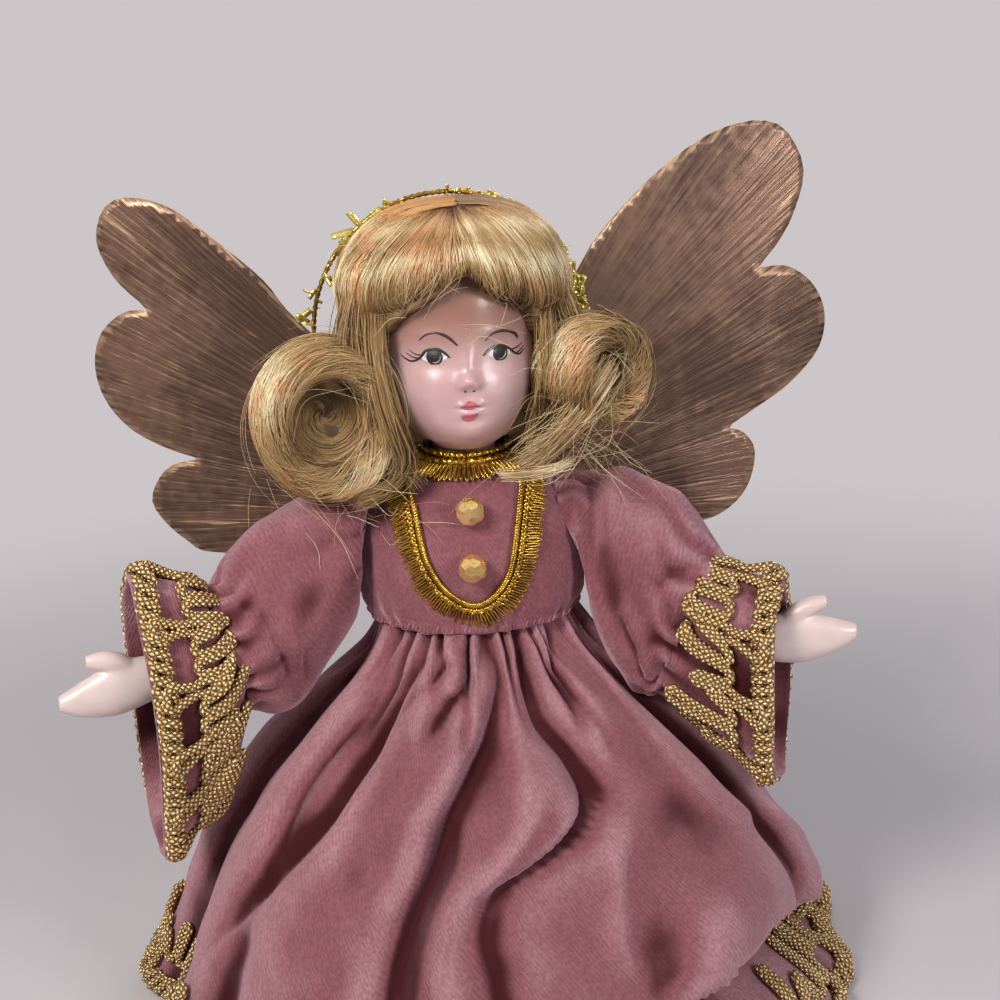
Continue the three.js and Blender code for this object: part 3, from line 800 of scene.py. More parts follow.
@dataclass(frozen=True)
class GiltWireFinish(Finish):
    """Flat gilt wire wound into picots and chains, or pressed into beads."""

    shade: Triple = (0.50, 0.34, 0.08)
    face: Triple = (0.85, 0.65, 0.22)
    roughness: float = 0.24
    dent: float = 0.00008
    metal: float = 0.9

    def dress(self, board: ShaderBoard, shader: bpy.types.Node) -> None:
        """Builds the wire's small dents and tarnish.

        Args:
            board: the material's board.
            shader: the material's shader.
        """
        tarnish = board.group(mottle_group(), "Mask", Coarse_Scale=150.0, Fine_Scale=900.0, Fine_Share=0.5)
        colour = board.mix(board.reshape(tarnish, 0.0, 0.8, 0.35, 1.0), linear(*self.shade),
                           linear(*self.face))
        dents = board.noise(board.position(), 1100.0, 2.0)
        self.link(board, shader, Base_Color=colour, Normal=board.relief(dents, self.dent, 0.8))
        self.set_inputs(shader, Metallic=self.metal, Roughness=self.roughness)


@dataclass(frozen=True)
class WaxFinish(Finish):
    """Polished wax, warm where it is thick and paler where it is thin, with a painted shade where the stored
    tint says.
    """

    warm: Triple = (0.755, 0.605, 0.60)
    pale: Triple = (0.80, 0.67, 0.67)
    shaded: Triple = (0.60, 0.43, 0.37)
    depth: float = 0.003

    def dress(self, board: ShaderBoard, shader: bpy.types.Node) -> None:
        """Builds the wax's faint clouds, its painted shade and its gloss.

        Args:
            board: the material's board.
            shader: the material's shader.
        """
        cloud = board.group(mottle_group(), "Mask", Coarse_Scale=60.0, Fine_Scale=300.0, Fine_Share=0.2)
        colour = board.mix(cloud, linear(*self.warm), linear(*self.pale))
        # Painted shade: the wax darkens towards the shaded colour where the stored tint says.
        colour = board.mix(board.attribute("tint"), colour, linear(*self.shaded))
        waves = board.noise(board.position(), 220.0, 2.0)
        self.link(board, shader, Base_Color=colour, Normal=board.relief(waves, 0.0002, 0.25))
        self.set_inputs(
            shader,
            Roughness=0.38,
            Subsurface_Weight=0.35,
            Subsurface_Radius=(1.0, 0.4, 0.3),
            Subsurface_Scale=self.depth,
            Coat_Weight=0.4,
            Coat_Roughness=0.2,
        )


@dataclass(frozen=True)
class PaintFinish(Finish):
    """A thin paint, brushed on by hand."""

    colour: Triple

    def dress(self, board: ShaderBoard, shader: bpy.types.Node) -> None:
        """Builds the paint's thin and thick places.

        Args:
            board: the material's board.
            shader: the material's shader.
        """
        thin = board.noise(board.position(), 900.0)
        darker = tuple(0.82 * part for part in self.colour)
        colour = board.mix(board.reshape(thin, 0.35, 0.65), linear(*darker), linear(*self.colour))
        self.link(board, shader, Base_Color=colour)
        self.set_inputs(shader, Roughness=0.35, Coat_Weight=0.3)


@dataclass(frozen=True)
class HairFinish(Finish):
    """Fine glossy fibre, whose shade each strand carries as one number, with its painted highlights and shade
    in it.
    """

    # The root colour is the darkest, for dark roots and painted shade; the light colour is the palest, for
    # pale strands and painted highlights.
    root: Triple = (0.25, 0.18, 0.10)
    length: Triple = (0.74, 0.60, 0.40)
    light: Triple = (1.0, 0.94, 0.78)
    warm: Triple = (0.90, 0.66, 0.44)

    def dress(self, board: ShaderBoard, shader: bpy.types.Node) -> None:
        """Builds the fibre's colours, with the painted highlights and shade that the strands carry.

        Args:
            board: the material's board.
            shader: the material's shader.
        """
        tone_and_shade = board.attribute("tone_and_shade")
        lower = board.mix(board.reshape(tone_and_shade, 0.0, 0.5), linear(*self.root), linear(*self.length))
        colour = board.mix(board.reshape(tone_and_shade, 0.5, 1.0), lower, linear(*self.light))
        patches = board.group(mottle_group(), "Mask", Coarse_Scale=75.0, Fine_Scale=260.0, Fine_Share=0.3)
        height = board.add("ShaderNodeSeparateXYZ", {0: board.position()}).outputs[2]
        warmth = board.math("MAXIMUM", board.reshape(patches, 0.55, 0.9, 0.0, 0.6),
                            board.reshape(height, 0.2378, 0.2398, 0.0, 0.75))
        amber = board.mix(board.reshape(tone_and_shade, 0.0, 0.8), linear(*self.root), linear(*self.warm))
        self.link(board, shader, Base_Color=board.mix(warmth, colour, amber))
        self.set_inputs(shader, Roughness=0.42, Specular_IOR_Level=0.34)


@dataclass(frozen=True)
class FoilCardFinish(Finish):
    """Card faced with copper-brown foil, which is scratched along the feathers, with a painted highlight
    along its rim.
    """

    shade: Triple = (0.33, 0.24, 0.195)
    foil: Triple = (0.53, 0.41, 0.34)
    worn_and_edge_light: Triple = (0.84, 0.69, 0.55)

    def dress(self, board: ShaderBoard, shader: bpy.types.Node) -> None:
        """Builds the foil's scratches along the UV map, its painted rim highlight and its dull patches.

        Args:
            board: the material's board.
            shader: the material's shader.
        """
        feather = board.out("ShaderNodeUVMap", uv_map="cloth")
        fine = board.noise(board.scaled(feather, (0.045, 1.5, 1.0)), 1.0, 4.0)
        coarse = board.noise(board.scaled(feather, (0.018, 0.33, 1.0)), 1.0, 3.0)
        patches = board.group(mottle_group(), "Mask", Coarse_Scale=24.0, Fine_Scale=260.0, Fine_Share=0.3)
        stroke = board.math("MULTIPLY", board.math("ADD", board.math("ADD", fine, coarse), patches), 0.333)
        body = board.mix(board.reshape(stroke, 0.3, 0.66), linear(*self.shade), linear(*self.foil))
        scratch = board.math("MAXIMUM", board.reshape(fine, 0.68, 0.74), board.reshape(coarse, 0.68, 0.71))
        # Painted highlight: the rim of the wing is lightened where the stored edge says, broken by the fine
        # scratches.
        edge = board.math("MULTIPLY", board.attribute("edge"), board.reshape(fine, 0.35, 0.6))
        bright = board.math("MAXIMUM", board.math("MULTIPLY", scratch, 0.5), edge)
        colour = board.mix(bright, body, linear(*self.worn_and_edge_light))
        height = board.math("ADD", fine, board.math("MULTIPLY", coarse, 0.8))
        roughness = board.reshape(patches, 0.0, 1.0, 0.44, 0.3)
        self.link(
            board, shader, Base_Color=colour, Roughness=roughness, Normal=board.relief(height, 0.00045, 0.8))
        self.set_inputs(shader, Metallic=0.62)


@dataclass(frozen=True)
class PlainFinish(Finish):
    """Card, paper, net or wood: a dull stuff with a grain."""

    colour: Triple
    grain: Triple
    scale: Triple = (1.0, 1.0, 1.0)
    pitch: float = 900.0
    roughness: float = 0.85

    def dress(self, board: ShaderBoard, shader: bpy.types.Node) -> None:
        """Builds the grain.

        Args:
            board: the material's board.
            shader: the material's shader.
        """
        place = board.scaled(board.position(), self.scale)
        fibre = board.noise(place, self.pitch, 4.0)
        cloud = board.group(mottle_group(), "Mask", Coarse_Scale=50.0, Fine_Scale=400.0, Fine_Share=0.4)
        shade = board.math("MULTIPLY", board.math("ADD", fibre, cloud), 0.5)
        colour = board.mix(board.reshape(shade, 0.3, 0.75), linear(*self.grain), linear(*self.colour))
        self.link(board, shader, Base_Color=colour, Normal=board.relief(fibre, 0.0002, 0.6))
        self.set_inputs(shader, Roughness=self.roughness, Specular_IOR_Level=0.3)


VELVET = VelvetFinish("rose_velvet")
GILT_CORD = GiltCordFinish("crocheted_gilt")
GILT_WIRE = GiltWireFinish("gilt_wire", shade=(0.30, 0.20, 0.05), face=(0.78, 0.62, 0.24), roughness=0.2)
GILT_BEAD = GiltWireFinish("cut_gilt", (0.86, 0.64, 0.34), (1.0, 0.86, 0.58), roughness=0.16, dent=0.00003,
                           metal=0.8)
TINSEL = GiltWireFinish("gilt_tinsel", (0.66, 0.54, 0.16), (0.98, 0.90, 0.52), roughness=0.12, metal=0.7)
SEAM_THREAD = PlainFinish("seam_thread", colour=(0.70, 0.48, 0.51), grain=(0.52, 0.31, 0.35))
WAX = WaxFinish("pink_wax")
HAND_WAX = WaxFinish("pale_wax", warm=(0.82, 0.73, 0.71), pale=(0.87, 0.80, 0.78), depth=0.004)
INK = PaintFinish("dark_paint", colour=(0.13, 0.09, 0.09))
BROW = PaintFinish("brow_paint", colour=(0.27, 0.16, 0.15))
IRIS = PaintFinish("grey_paint", colour=(0.62, 0.63, 0.58))
WHITE = PaintFinish("white_paint", colour=(0.90, 0.87, 0.86))
CORAL = PaintFinish("coral_paint", colour=(0.80, 0.40, 0.43))
HAIR = HairFinish("ash_blonde_fibre")
FOIL = FoilCardFinish("copper_foil")
CARD = PlainFinish("kraft_card", colour=(0.70, 0.58, 0.43), grain=(0.56, 0.45, 0.32))
NET = PlainFinish("stiff_net", colour=(0.86, 0.80, 0.75), grain=(0.70, 0.62, 0.58), pitch=1500.0)
PAPER = PlainFinish("wrapped_wire", colour=(0.88, 0.85, 0.79), grain=(0.74, 0.70, 0.63), scale=(1, 1, 0.2))
STUFFING = PlainFinish("cotton_stuffing", colour=(0.90, 0.87, 0.81), grain=(0.80, 0.76, 0.69), pitch=700.0)
WOOD = PlainFinish("peg_wood", colour=(0.78, 0.64, 0.45), grain=(0.60, 0.45, 0.29), scale=(1, 1, 0.08))


# Geometry that follows paths


class Motif(str, Enum):
    """What stands at each point of a trim."""

    LOOP = "loop"
    STRIP = "strip"
    STITCH = "stitch"


class Grower:
    """Turns paths and points into cords, strands and rows of motifs, by node trees that it builds once."""

    GEOMETRY = [("Geometry", "INPUT", "NodeSocketGeometry", None),
                ("Geometry", "OUTPUT", "NodeSocketGeometry", None)]

    def __init__(self) -> None:
        """Starts with no trees."""
        self.trees: dict[str, bpy.types.NodeTree] = {}

    def tree(self, name: str, floats: Sequence[str], build: NodeBuilder) -> bpy.types.NodeTree:
        """Finds a tree, or builds it.

        Args:
            name: the tree's name.
            floats: the names of its sizes.
            build: adds the nodes between the inputs and the finished mesh, and gives that mesh.

        Returns:
            The tree.
        """
        if name not in self.trees:
            sockets = [*self.GEOMETRY, *((label, "INPUT", "NodeSocketFloat", 1.0) for label in floats)]
            sockets.append(("Material", "INPUT", "NodeSocketMaterial", None))
            made = new_group(name, "GeometryNodeTree", sockets)
            board = NodeBoard(made)
            given = board.add("NodeGroupInput")
            mesh = build(board, given)
            real = board.out("GeometryNodeRealizeInstances", {"Geometry": mesh})
            smooth = board.out("GeometryNodeSetShadeSmooth", {"Geometry": real})
            dressed = board.out("GeometryNodeSetMaterial",
                                {"Geometry": smooth, "Material": given.outputs["Material"]})
            board.add("NodeGroupOutput", {0: dressed})
            self.trees[name] = made
        return self.trees[name]

    @staticmethod
    def named(board: NodeBoard, name: str, data_type: str = "FLOAT") -> Socket:
        """Reads a named attribute."""
        return board.out("GeometryNodeInputNamedAttribute", {"Name": name}, output="Attribute",
                         data_type=data_type)

    @staticmethod
    def keep(board: NodeBoard, geometry: object, name: str, value: object) -> Socket:
        """Stores a number for each point under a name."""
        return board.out("GeometryNodeStoreNamedAttribute",
                         {"Geometry": geometry, "Name": name, "Value": value})

    def cord_nodes(self, board: NodeBoard, given: bpy.types.Node) -> Socket:
        """Sweeps a knobbly cord along each path, and keeps the place along and round it for its finish.

        Args:
            board: the tree's board.
            given: the node of the tree's inputs.

        Returns:
            The cords' mesh.
        """
        curve = board.out("GeometryNodeMeshToCurve", {"Mesh": given.outputs["Geometry"]})
        evened = board.out(
            "GeometryNodeResampleCurve", {"Curve": curve, "Length": given.outputs["Step"]}, mode="LENGTH")
        length = board.out("GeometryNodeSplineParameter", output="Length")
        rail = self.keep(board, evened, "along", length)
        sides = board.out("FunctionNodeFloatToInt", {0: given.outputs["Sides"]})
        circle = board.out("GeometryNodeCurvePrimitiveCircle",
                           {"Resolution": sides, "Radius": given.outputs["Radius"]})
        around = self.keep(board, circle, "around", board.out("GeometryNodeSplineParameter", output="Factor"))
        profile = board.out(
            "GeometryNodeStoreNamedAttribute",
            {"Geometry": around, "Name": "ring", "Value": board.out("GeometryNodeInputPosition")},
            data_type="FLOAT_VECTOR",
        )
        mesh = board.out("GeometryNodeCurveToMesh",
                         {"Curve": rail, "Profile Curve": profile, "Fill Caps": True})

        def calc(operation: str, a: object, b: object = 0.0) -> Socket:
            """Adds a Math node and gives its value."""
            return board.out("ShaderNodeMath", {0: a, 1: b}, operation=operation)

        phase = calc("MULTIPLY", calc("DIVIDE", self.named(board, "along"), given.outputs["Knob Pitch"]),
                     TURN)
        spin = calc("MULTIPLY", calc("MULTIPLY", self.named(board, "around"), given.outputs["Knob Rows"]),
                    TURN)
        waves = [calc("ADD", calc("COSINE", calc(way, phase, spin)), 1.0) for way in ("ADD", "SUBTRACT")]
        knob = calc("MULTIPLY", calc("SQRT", calc("MULTIPLY", *waves)), 0.5)
        height = calc("MULTIPLY", calc("SUBTRACT", knob, 0.4), given.outputs["Knob Height"])
        offset = board.out(
            "ShaderNodeVectorMath",
            {0: board.out("GeometryNodeInputNormal"), "Scale": height},
            operation="SCALE",
        )
        return board.out("GeometryNodeSetPosition", {"Geometry": mesh, "Offset": offset})

    def strand_nodes(self, board: NodeBoard, given: bpy.types.Node) -> Socket:
        """Sweeps a three-sided strand along each path, as thick as the path says at each point.

        Args:
            board: the tree's board.
            given: the node of the tree's inputs.

        Returns:
            The strands' mesh.
        """
        curve = board.out("GeometryNodeMeshToCurve", {"Mesh": given.outputs["Geometry"]})
        sides = board.out("FunctionNodeFloatToInt", {0: given.outputs["Sides"]})
        ring = board.out("GeometryNodeCurvePrimitiveCircle", {"Resolution": sides, "Radius": 1.0})
        return board.out(
            "GeometryNodeCurveToMesh",
            {"Curve": curve, "Profile Curve": ring, "Scale": self.named(board, "thick"), "Fill Caps": True},
        )

    def motif_nodes(self, motif: Motif) -> NodeBuilder:
        """Gives the builder of the tree that stands one motif at each point.

        Args:
            motif: what stands at each point.

        Returns:
            The builder.
        """

        def build(board: NodeBoard, given: bpy.types.Node) -> Socket:
            """Adds the nodes that shape the motif, stand it up and repeat it."""
            length, width, thickness = (given.outputs[name] for name in ("Length", "Width", "Thickness"))
            half = board.out("ShaderNodeMath", {0: length, 1: 0.5}, operation="MULTIPLY")
            size = board.out("ShaderNodeCombineXYZ", {0: width, 1: length, 2: thickness})
            if motif is Motif.LOOP:
                circle = board.out("GeometryNodeCurvePrimitiveCircle", {"Resolution": 12, "Radius": 0.5})
                oval = board.out("GeometryNodeTransform", {"Geometry": circle, "Scale": size})
                wire = board.out("GeometryNodeCurvePrimitiveCircle", {"Resolution": 5, "Radius": thickness})
                shape = board.out("GeometryNodeCurveToMesh", {"Curve": oval, "Profile Curve": wire})
            elif motif is Motif.STRIP:
                shape = board.out("GeometryNodeMeshCube", {"Size": size, "Vertices Y": 5})
            else:
                ball = board.out("GeometryNodeMeshIcoSphere", {"Radius": 0.5, "Subdivisions": 2})
                shape = board.out("GeometryNodeTransform", {"Geometry": ball, "Scale": size})
            lift = board.out("ShaderNodeCombineXYZ", {1: half})
            stood = board.out("GeometryNodeTransform", {"Geometry": shape, "Translation": lift})
            away = self.named(board, "away", "FLOAT_VECTOR")
            rise = self.named(board, "rise", "FLOAT_VECTOR")
            facing = board.out("FunctionNodeAlignRotationToVector", {"Vector": away}, axis="Y")
            upright = board.out(
                "FunctionNodeAlignRotationToVector", {"Rotation": facing, "Vector": rise}, axis="Z",
                pivot_axis="Y")
            spread = given.outputs["Spread"]
            low = board.out("ShaderNodeMath", {0: 1.0, 1: spread}, operation="SUBTRACT")
            high = board.out("ShaderNodeMath", {0: 1.0, 1: spread}, operation="ADD")
            growth = board.out("FunctionNodeRandomValue", {"Min": low, "Max": high, "Seed": 7},
                               output="Value")
            return board.out(
                "GeometryNodeInstanceOnPoints",
                {"Points": given.outputs["Geometry"], "Instance": stood, "Rotation": upright,
                 "Scale": growth},
            )

        return build

    def grow(self, name: str, tree: bpy.types.NodeTree, mesh: bpy.types.Mesh,
             values: dict) -> bpy.types.Object:
        """Runs a tree on a mesh and keeps the result as a plain piece.

        Args:
            name: the piece's name.
            tree: the node tree.
            mesh: the paths or points that it starts from.
            values: each input's name and value.

        Returns:
            The new piece.
        """
        made = new_object(name, mesh)
        modifier = made.modifiers.new("growth", "NODES")
        modifier.node_group = tree
        for item in tree.interface.items_tree:
            if item.in_out == "INPUT" and item.name in values:
                modifier[item.identifier] = values[item.name]
        bpy.context.view_layer.update()
        graph = bpy.context.evaluated_depsgraph_get()
        result = bpy.data.meshes.new_from_object(
            made.evaluated_get(graph), preserve_all_data_layers=True, depsgraph=graph)
        made.modifiers.clear()
        made.data = result
        result.name = name
        bpy.data.meshes.remove(mesh)
        return made

    @staticmethod
    def path_mesh(paths: Sequence[Array],
                  numbers: dict[str, Sequence[Array]] | None = None) -> bpy.types.Mesh:
        """Makes a mesh of open polylines, in millimetres, with numbers stored at their points.

        Args:
            paths: the points of each polyline.
            numbers: for each name, one number for each point.

        Returns:
            The mesh.
        """
        mesh = bpy.data.meshes.new("paths")
        starts = np.cumsum([0, *(len(path) for path in paths)])
        edges = [(i, i + 1) for start, end in zip(starts, starts[1:]) for i in range(start, end - 1)]
        mesh.from_pydata((np.vstack(paths) * MM).tolist(), edges, [])
        for label, values in (numbers or {}).items():
            attribute = mesh.attributes.new(label, "FLOAT", "POINT")
            attribute.data.foreach_set("value", np.concatenate(values).astype(np.float32))
        return mesh

    def cord(
        self,
        name: str,
        paths: Sequence[Array],
        radius: float,
        finish: Finish,
        step: float = 0.45,
        sides: int = 10,
        knob: Triple = (0.5, 1.05, 3),
    ) -> bpy.types.Object:
        """Makes knobbly cords along paths.

        Args:
            name: the piece's name.
            paths: the middle line of each cord.
            radius: the cords' radius.
            finish: the cords' finish.
            step: how far apart the rings of each cord are.
            sides: how many points each ring has.
            knob: the knobs' height and pitch, and how many stand round the cord.

        Returns:
            The new piece.
        """
        labels = ["Radius", "Step", "Sides", "Knob Height", "Knob Pitch", "Knob Rows"]
        sizes = [radius * MM, step * MM, float(sides), knob[0] * MM, knob[1] * MM, float(knob[2])]
        values = {**dict(zip(labels, sizes)), "Material": finish.material()}
        return self.grow(name, self.tree("knobbly_cord", labels, self.cord_nodes), self.path_mesh(paths),
                         values)

    def strands(
        self,
        name: str,
        paths: Sequence[Array],
        thick: Sequence[Array],
        tones_and_shades: Sequence[Array],
        finish: Finish,
        sides: int = 3,
    ) -> bpy.types.Object:
        """Makes thin strands along paths.

        Args:
            name: the piece's name.
            paths: the middle line of each strand.
            thick: the radius at each point of each strand, in millimetres.
            tones_and_shades: the shade at each point of each strand, from 0 to 1.
            finish: the strands' finish.
            sides: how many points each strand's section has.

        Returns:
            The new piece.
        """
        mesh = self.path_mesh(paths, {"thick": [one * MM for one in thick], "tone_and_shade": tones_and_shades})
        values = {"Sides": float(sides), "Material": finish.material()}
        return self.grow(name, self.tree("hair_strands", ["Sides"], self.strand_nodes), mesh, values)

    def motifs(
        self,
        name: str,
        motif: Motif,
        points: Array,
        away: Array,
        rise: Array,
        size: Triple,
        finish: Finish,
        spread: float = 0.08,
    ) -> bpy.types.Object:
        """Stands one motif at each point.

        Args:
            name: the piece's name.
            motif: what stands there.
            points: where each one starts.
            away: the direction in which each one reaches.
            rise: the direction that each one's face looks in.
            size: each one's width, length and thickness.
            finish: the motifs' finish.
            spread: by what share their sizes vary.

        Returns:
            The new piece.
        """
        mesh = bpy.data.meshes.new("points")
        mesh.from_pydata((points * MM).tolist(), [], [])
        for label, vectors in (("away", away), ("rise", rise)):
            attribute = mesh.attributes.new(label, "FLOAT_VECTOR", "POINT")
            attribute.data.foreach_set("vector", np.asarray(vectors, np.float32).ravel())
        labels = ["Width", "Length", "Thickness", "Spread"]
        sizes = [size[0] * MM, size[1] * MM, size[2] * MM, spread]
        values = {**dict(zip(labels, sizes)), "Material": finish.material()}
        return self.grow(name, self.tree(f"row_of_{motif.value}", labels, self.motif_nodes(motif)), mesh,
                         values)


GROWER = Grower()


@dataclass(frozen=True)
class LevelForm:
    """A round form of level rings, each given as shares: height, half width, front and back."""

    rows: Sequence[tuple[float, float, float, float]]
    bottom: float
    height: float
    half_width: float
    front: float
    back: float

    def at(self, turn: Array, up: Array, off: Array | float = 0.0) -> Array:
        """Gives places on the form.

        Args:
            turn: the direction as a share of a turn from the front towards +X.
            up: the height as a share.
            off: how far the place lies outside the form.

        Returns:
            One row of three numbers for each place.
        """
        shares = read_rows(self.rows, up)
        angle = np.asarray(turn) * TURN
        depth = np.where(np.cos(angle) > 0, shares[..., 1] * self.front, shares[..., 2] * self.back)
        x = (shares[..., 0] * self.half_width + off) * np.sin(angle)
        y = -(depth + off) * np.cos(angle)
        z = self.bottom + np.asarray(up) * self.height
        return np.stack(np.broadcast_arrays(x, y, z), axis=-1)


@dataclass(frozen=True)
class LoopBraid:
    """A gilt braid: a plaited header, and one cord that loops out of it past a row of windows."""

    thickness: float = 2.7
    header: float = 7.4
    window: float = 7.2
    period: float = 20.5
    loops: Triple = (11.0, 21.0, 13.0)
    plait: float = 7.5

    def header_lines(self, length: float) -> list[Array]:
        """Gives the header's two plaited cords as rows of place along, place across and lift.

        Args:
            length: how long the braid is.

        Returns:
            The two cords' points.
        """
        waves = max(3, round(length / self.plait))
        s = np.linspace(0, 1, waves * 14 + 1)
        lines = []
        for shift in (0.0, math.pi):
            phase = s * waves * TURN + shift
            across = self.header / 2 + (self.header - self.thickness) / 2 * np.sin(phase)
            lift = self.thickness * (0.62 + 0.45 * np.cos(phase))
            lines.append(np.stack([s * length, across, lift], axis=1))
        return lines

    def looped_line(self, length: float, seed: int) -> Array:
        """Gives the looping cord as rows of place along, place across and lift.

        Args:
            length: how long the braid is.
            seed: picks how its loops differ.

        Returns:
            The cord's points.
        """
        rng = np.random.default_rng(seed)
        count = max(3, round(length / self.period))
        gap = length / count / 6
        turn_back = self.header + self.window
        points = []
        for k in range(count):
            start = k * 6 * gap
            for loop, reach in enumerate(self.loops):
                tip = turn_back + reach * rng.uniform(0.86, 1.12)
                lean = gap * rng.uniform(-0.9, 0.9) + (loop - 1) * 0.9 * gap
                lift = self.thickness * rng.uniform(0.5, 1.05)
                legs = [start + (2 * loop + step) * gap for step in (0.5, 1.5)]
                middle = sum(legs) / 2
                foot = [self.header * 0.55 if loop == 0 else turn_back,
                        self.header * 0.55 if loop == 2 else turn_back]
                half = self.thickness * 0.53
                if loop == 0:
                    points.append((legs[0] + 0.3 * gap, foot[0], self.thickness * 1.3))
                    points.append((legs[0] - 0.1 * gap, turn_back - 0.4 * self.window, 0.6 * self.thickness))
                points += [
                    (legs[0] + 0.15 * gap, turn_back + 0.6, 0.62 * self.thickness),
                    (middle - half + 0.5 * lean, (turn_back + tip) / 2, lift),
                    (middle - half + lean, tip - self.thickness, lift),
                    (middle + lean, tip - 0.42 * self.thickness, lift * 1.05),
                    (middle + half + lean, tip - self.thickness, lift),
                    (middle + half + 0.5 * lean, (turn_back + tip) / 2, lift),
                    (legs[1] - 0.15 * gap, turn_back + 0.6, 0.62 * self.thickness),
                ]
                if loop < 2:
                    points.append((legs[1] + 0.5 * gap, turn_back - 0.9, 0.62 * self.thickness))
                else:
                    points.append((legs[1] + 0.1 * gap, turn_back - 0.4 * self.window, 0.6 * self.thickness))
                    points.append((legs[1] - 0.3 * gap, foot[1], self.thickness * 1.3))
        line = through(points, len(points) * 9)
        line[:, 0] = np.clip(line[:, 0], 0, length)
        return line


# The dress


@dataclass(frozen=True)
class Crease:
    """A fold that runs down the skirt: a valley, or a ridge where its depths are negative."""

    ups: tuple[float, ...]
    turns: tuple[float, ...]
    depths: tuple[float, ...]
    left: float
    right: float

    def depth_at(self, turn: Array, up: Array, radius: Array) -> Array:
        """Gives how far the fold takes the cloth in at each place, in millimetres.

        Args:
            turn: the direction as a share of a turn from the front towards +X.
            up: the height as a share.
            radius: how far the cloth lies from the skirt's axis.

        Returns:
            One number for each place.
        """
        middle = eased(self.ups, self.turns, up)
        deep = eased(self.ups, self.depths, up)
        side = ((np.asarray(turn) - middle + 0.5) % 1.0 - 0.5) * TURN * radius
        width = np.where(side < 0, self.left, self.right)
        return deep * np.exp(-(np.abs(side / width) ** 1.4))


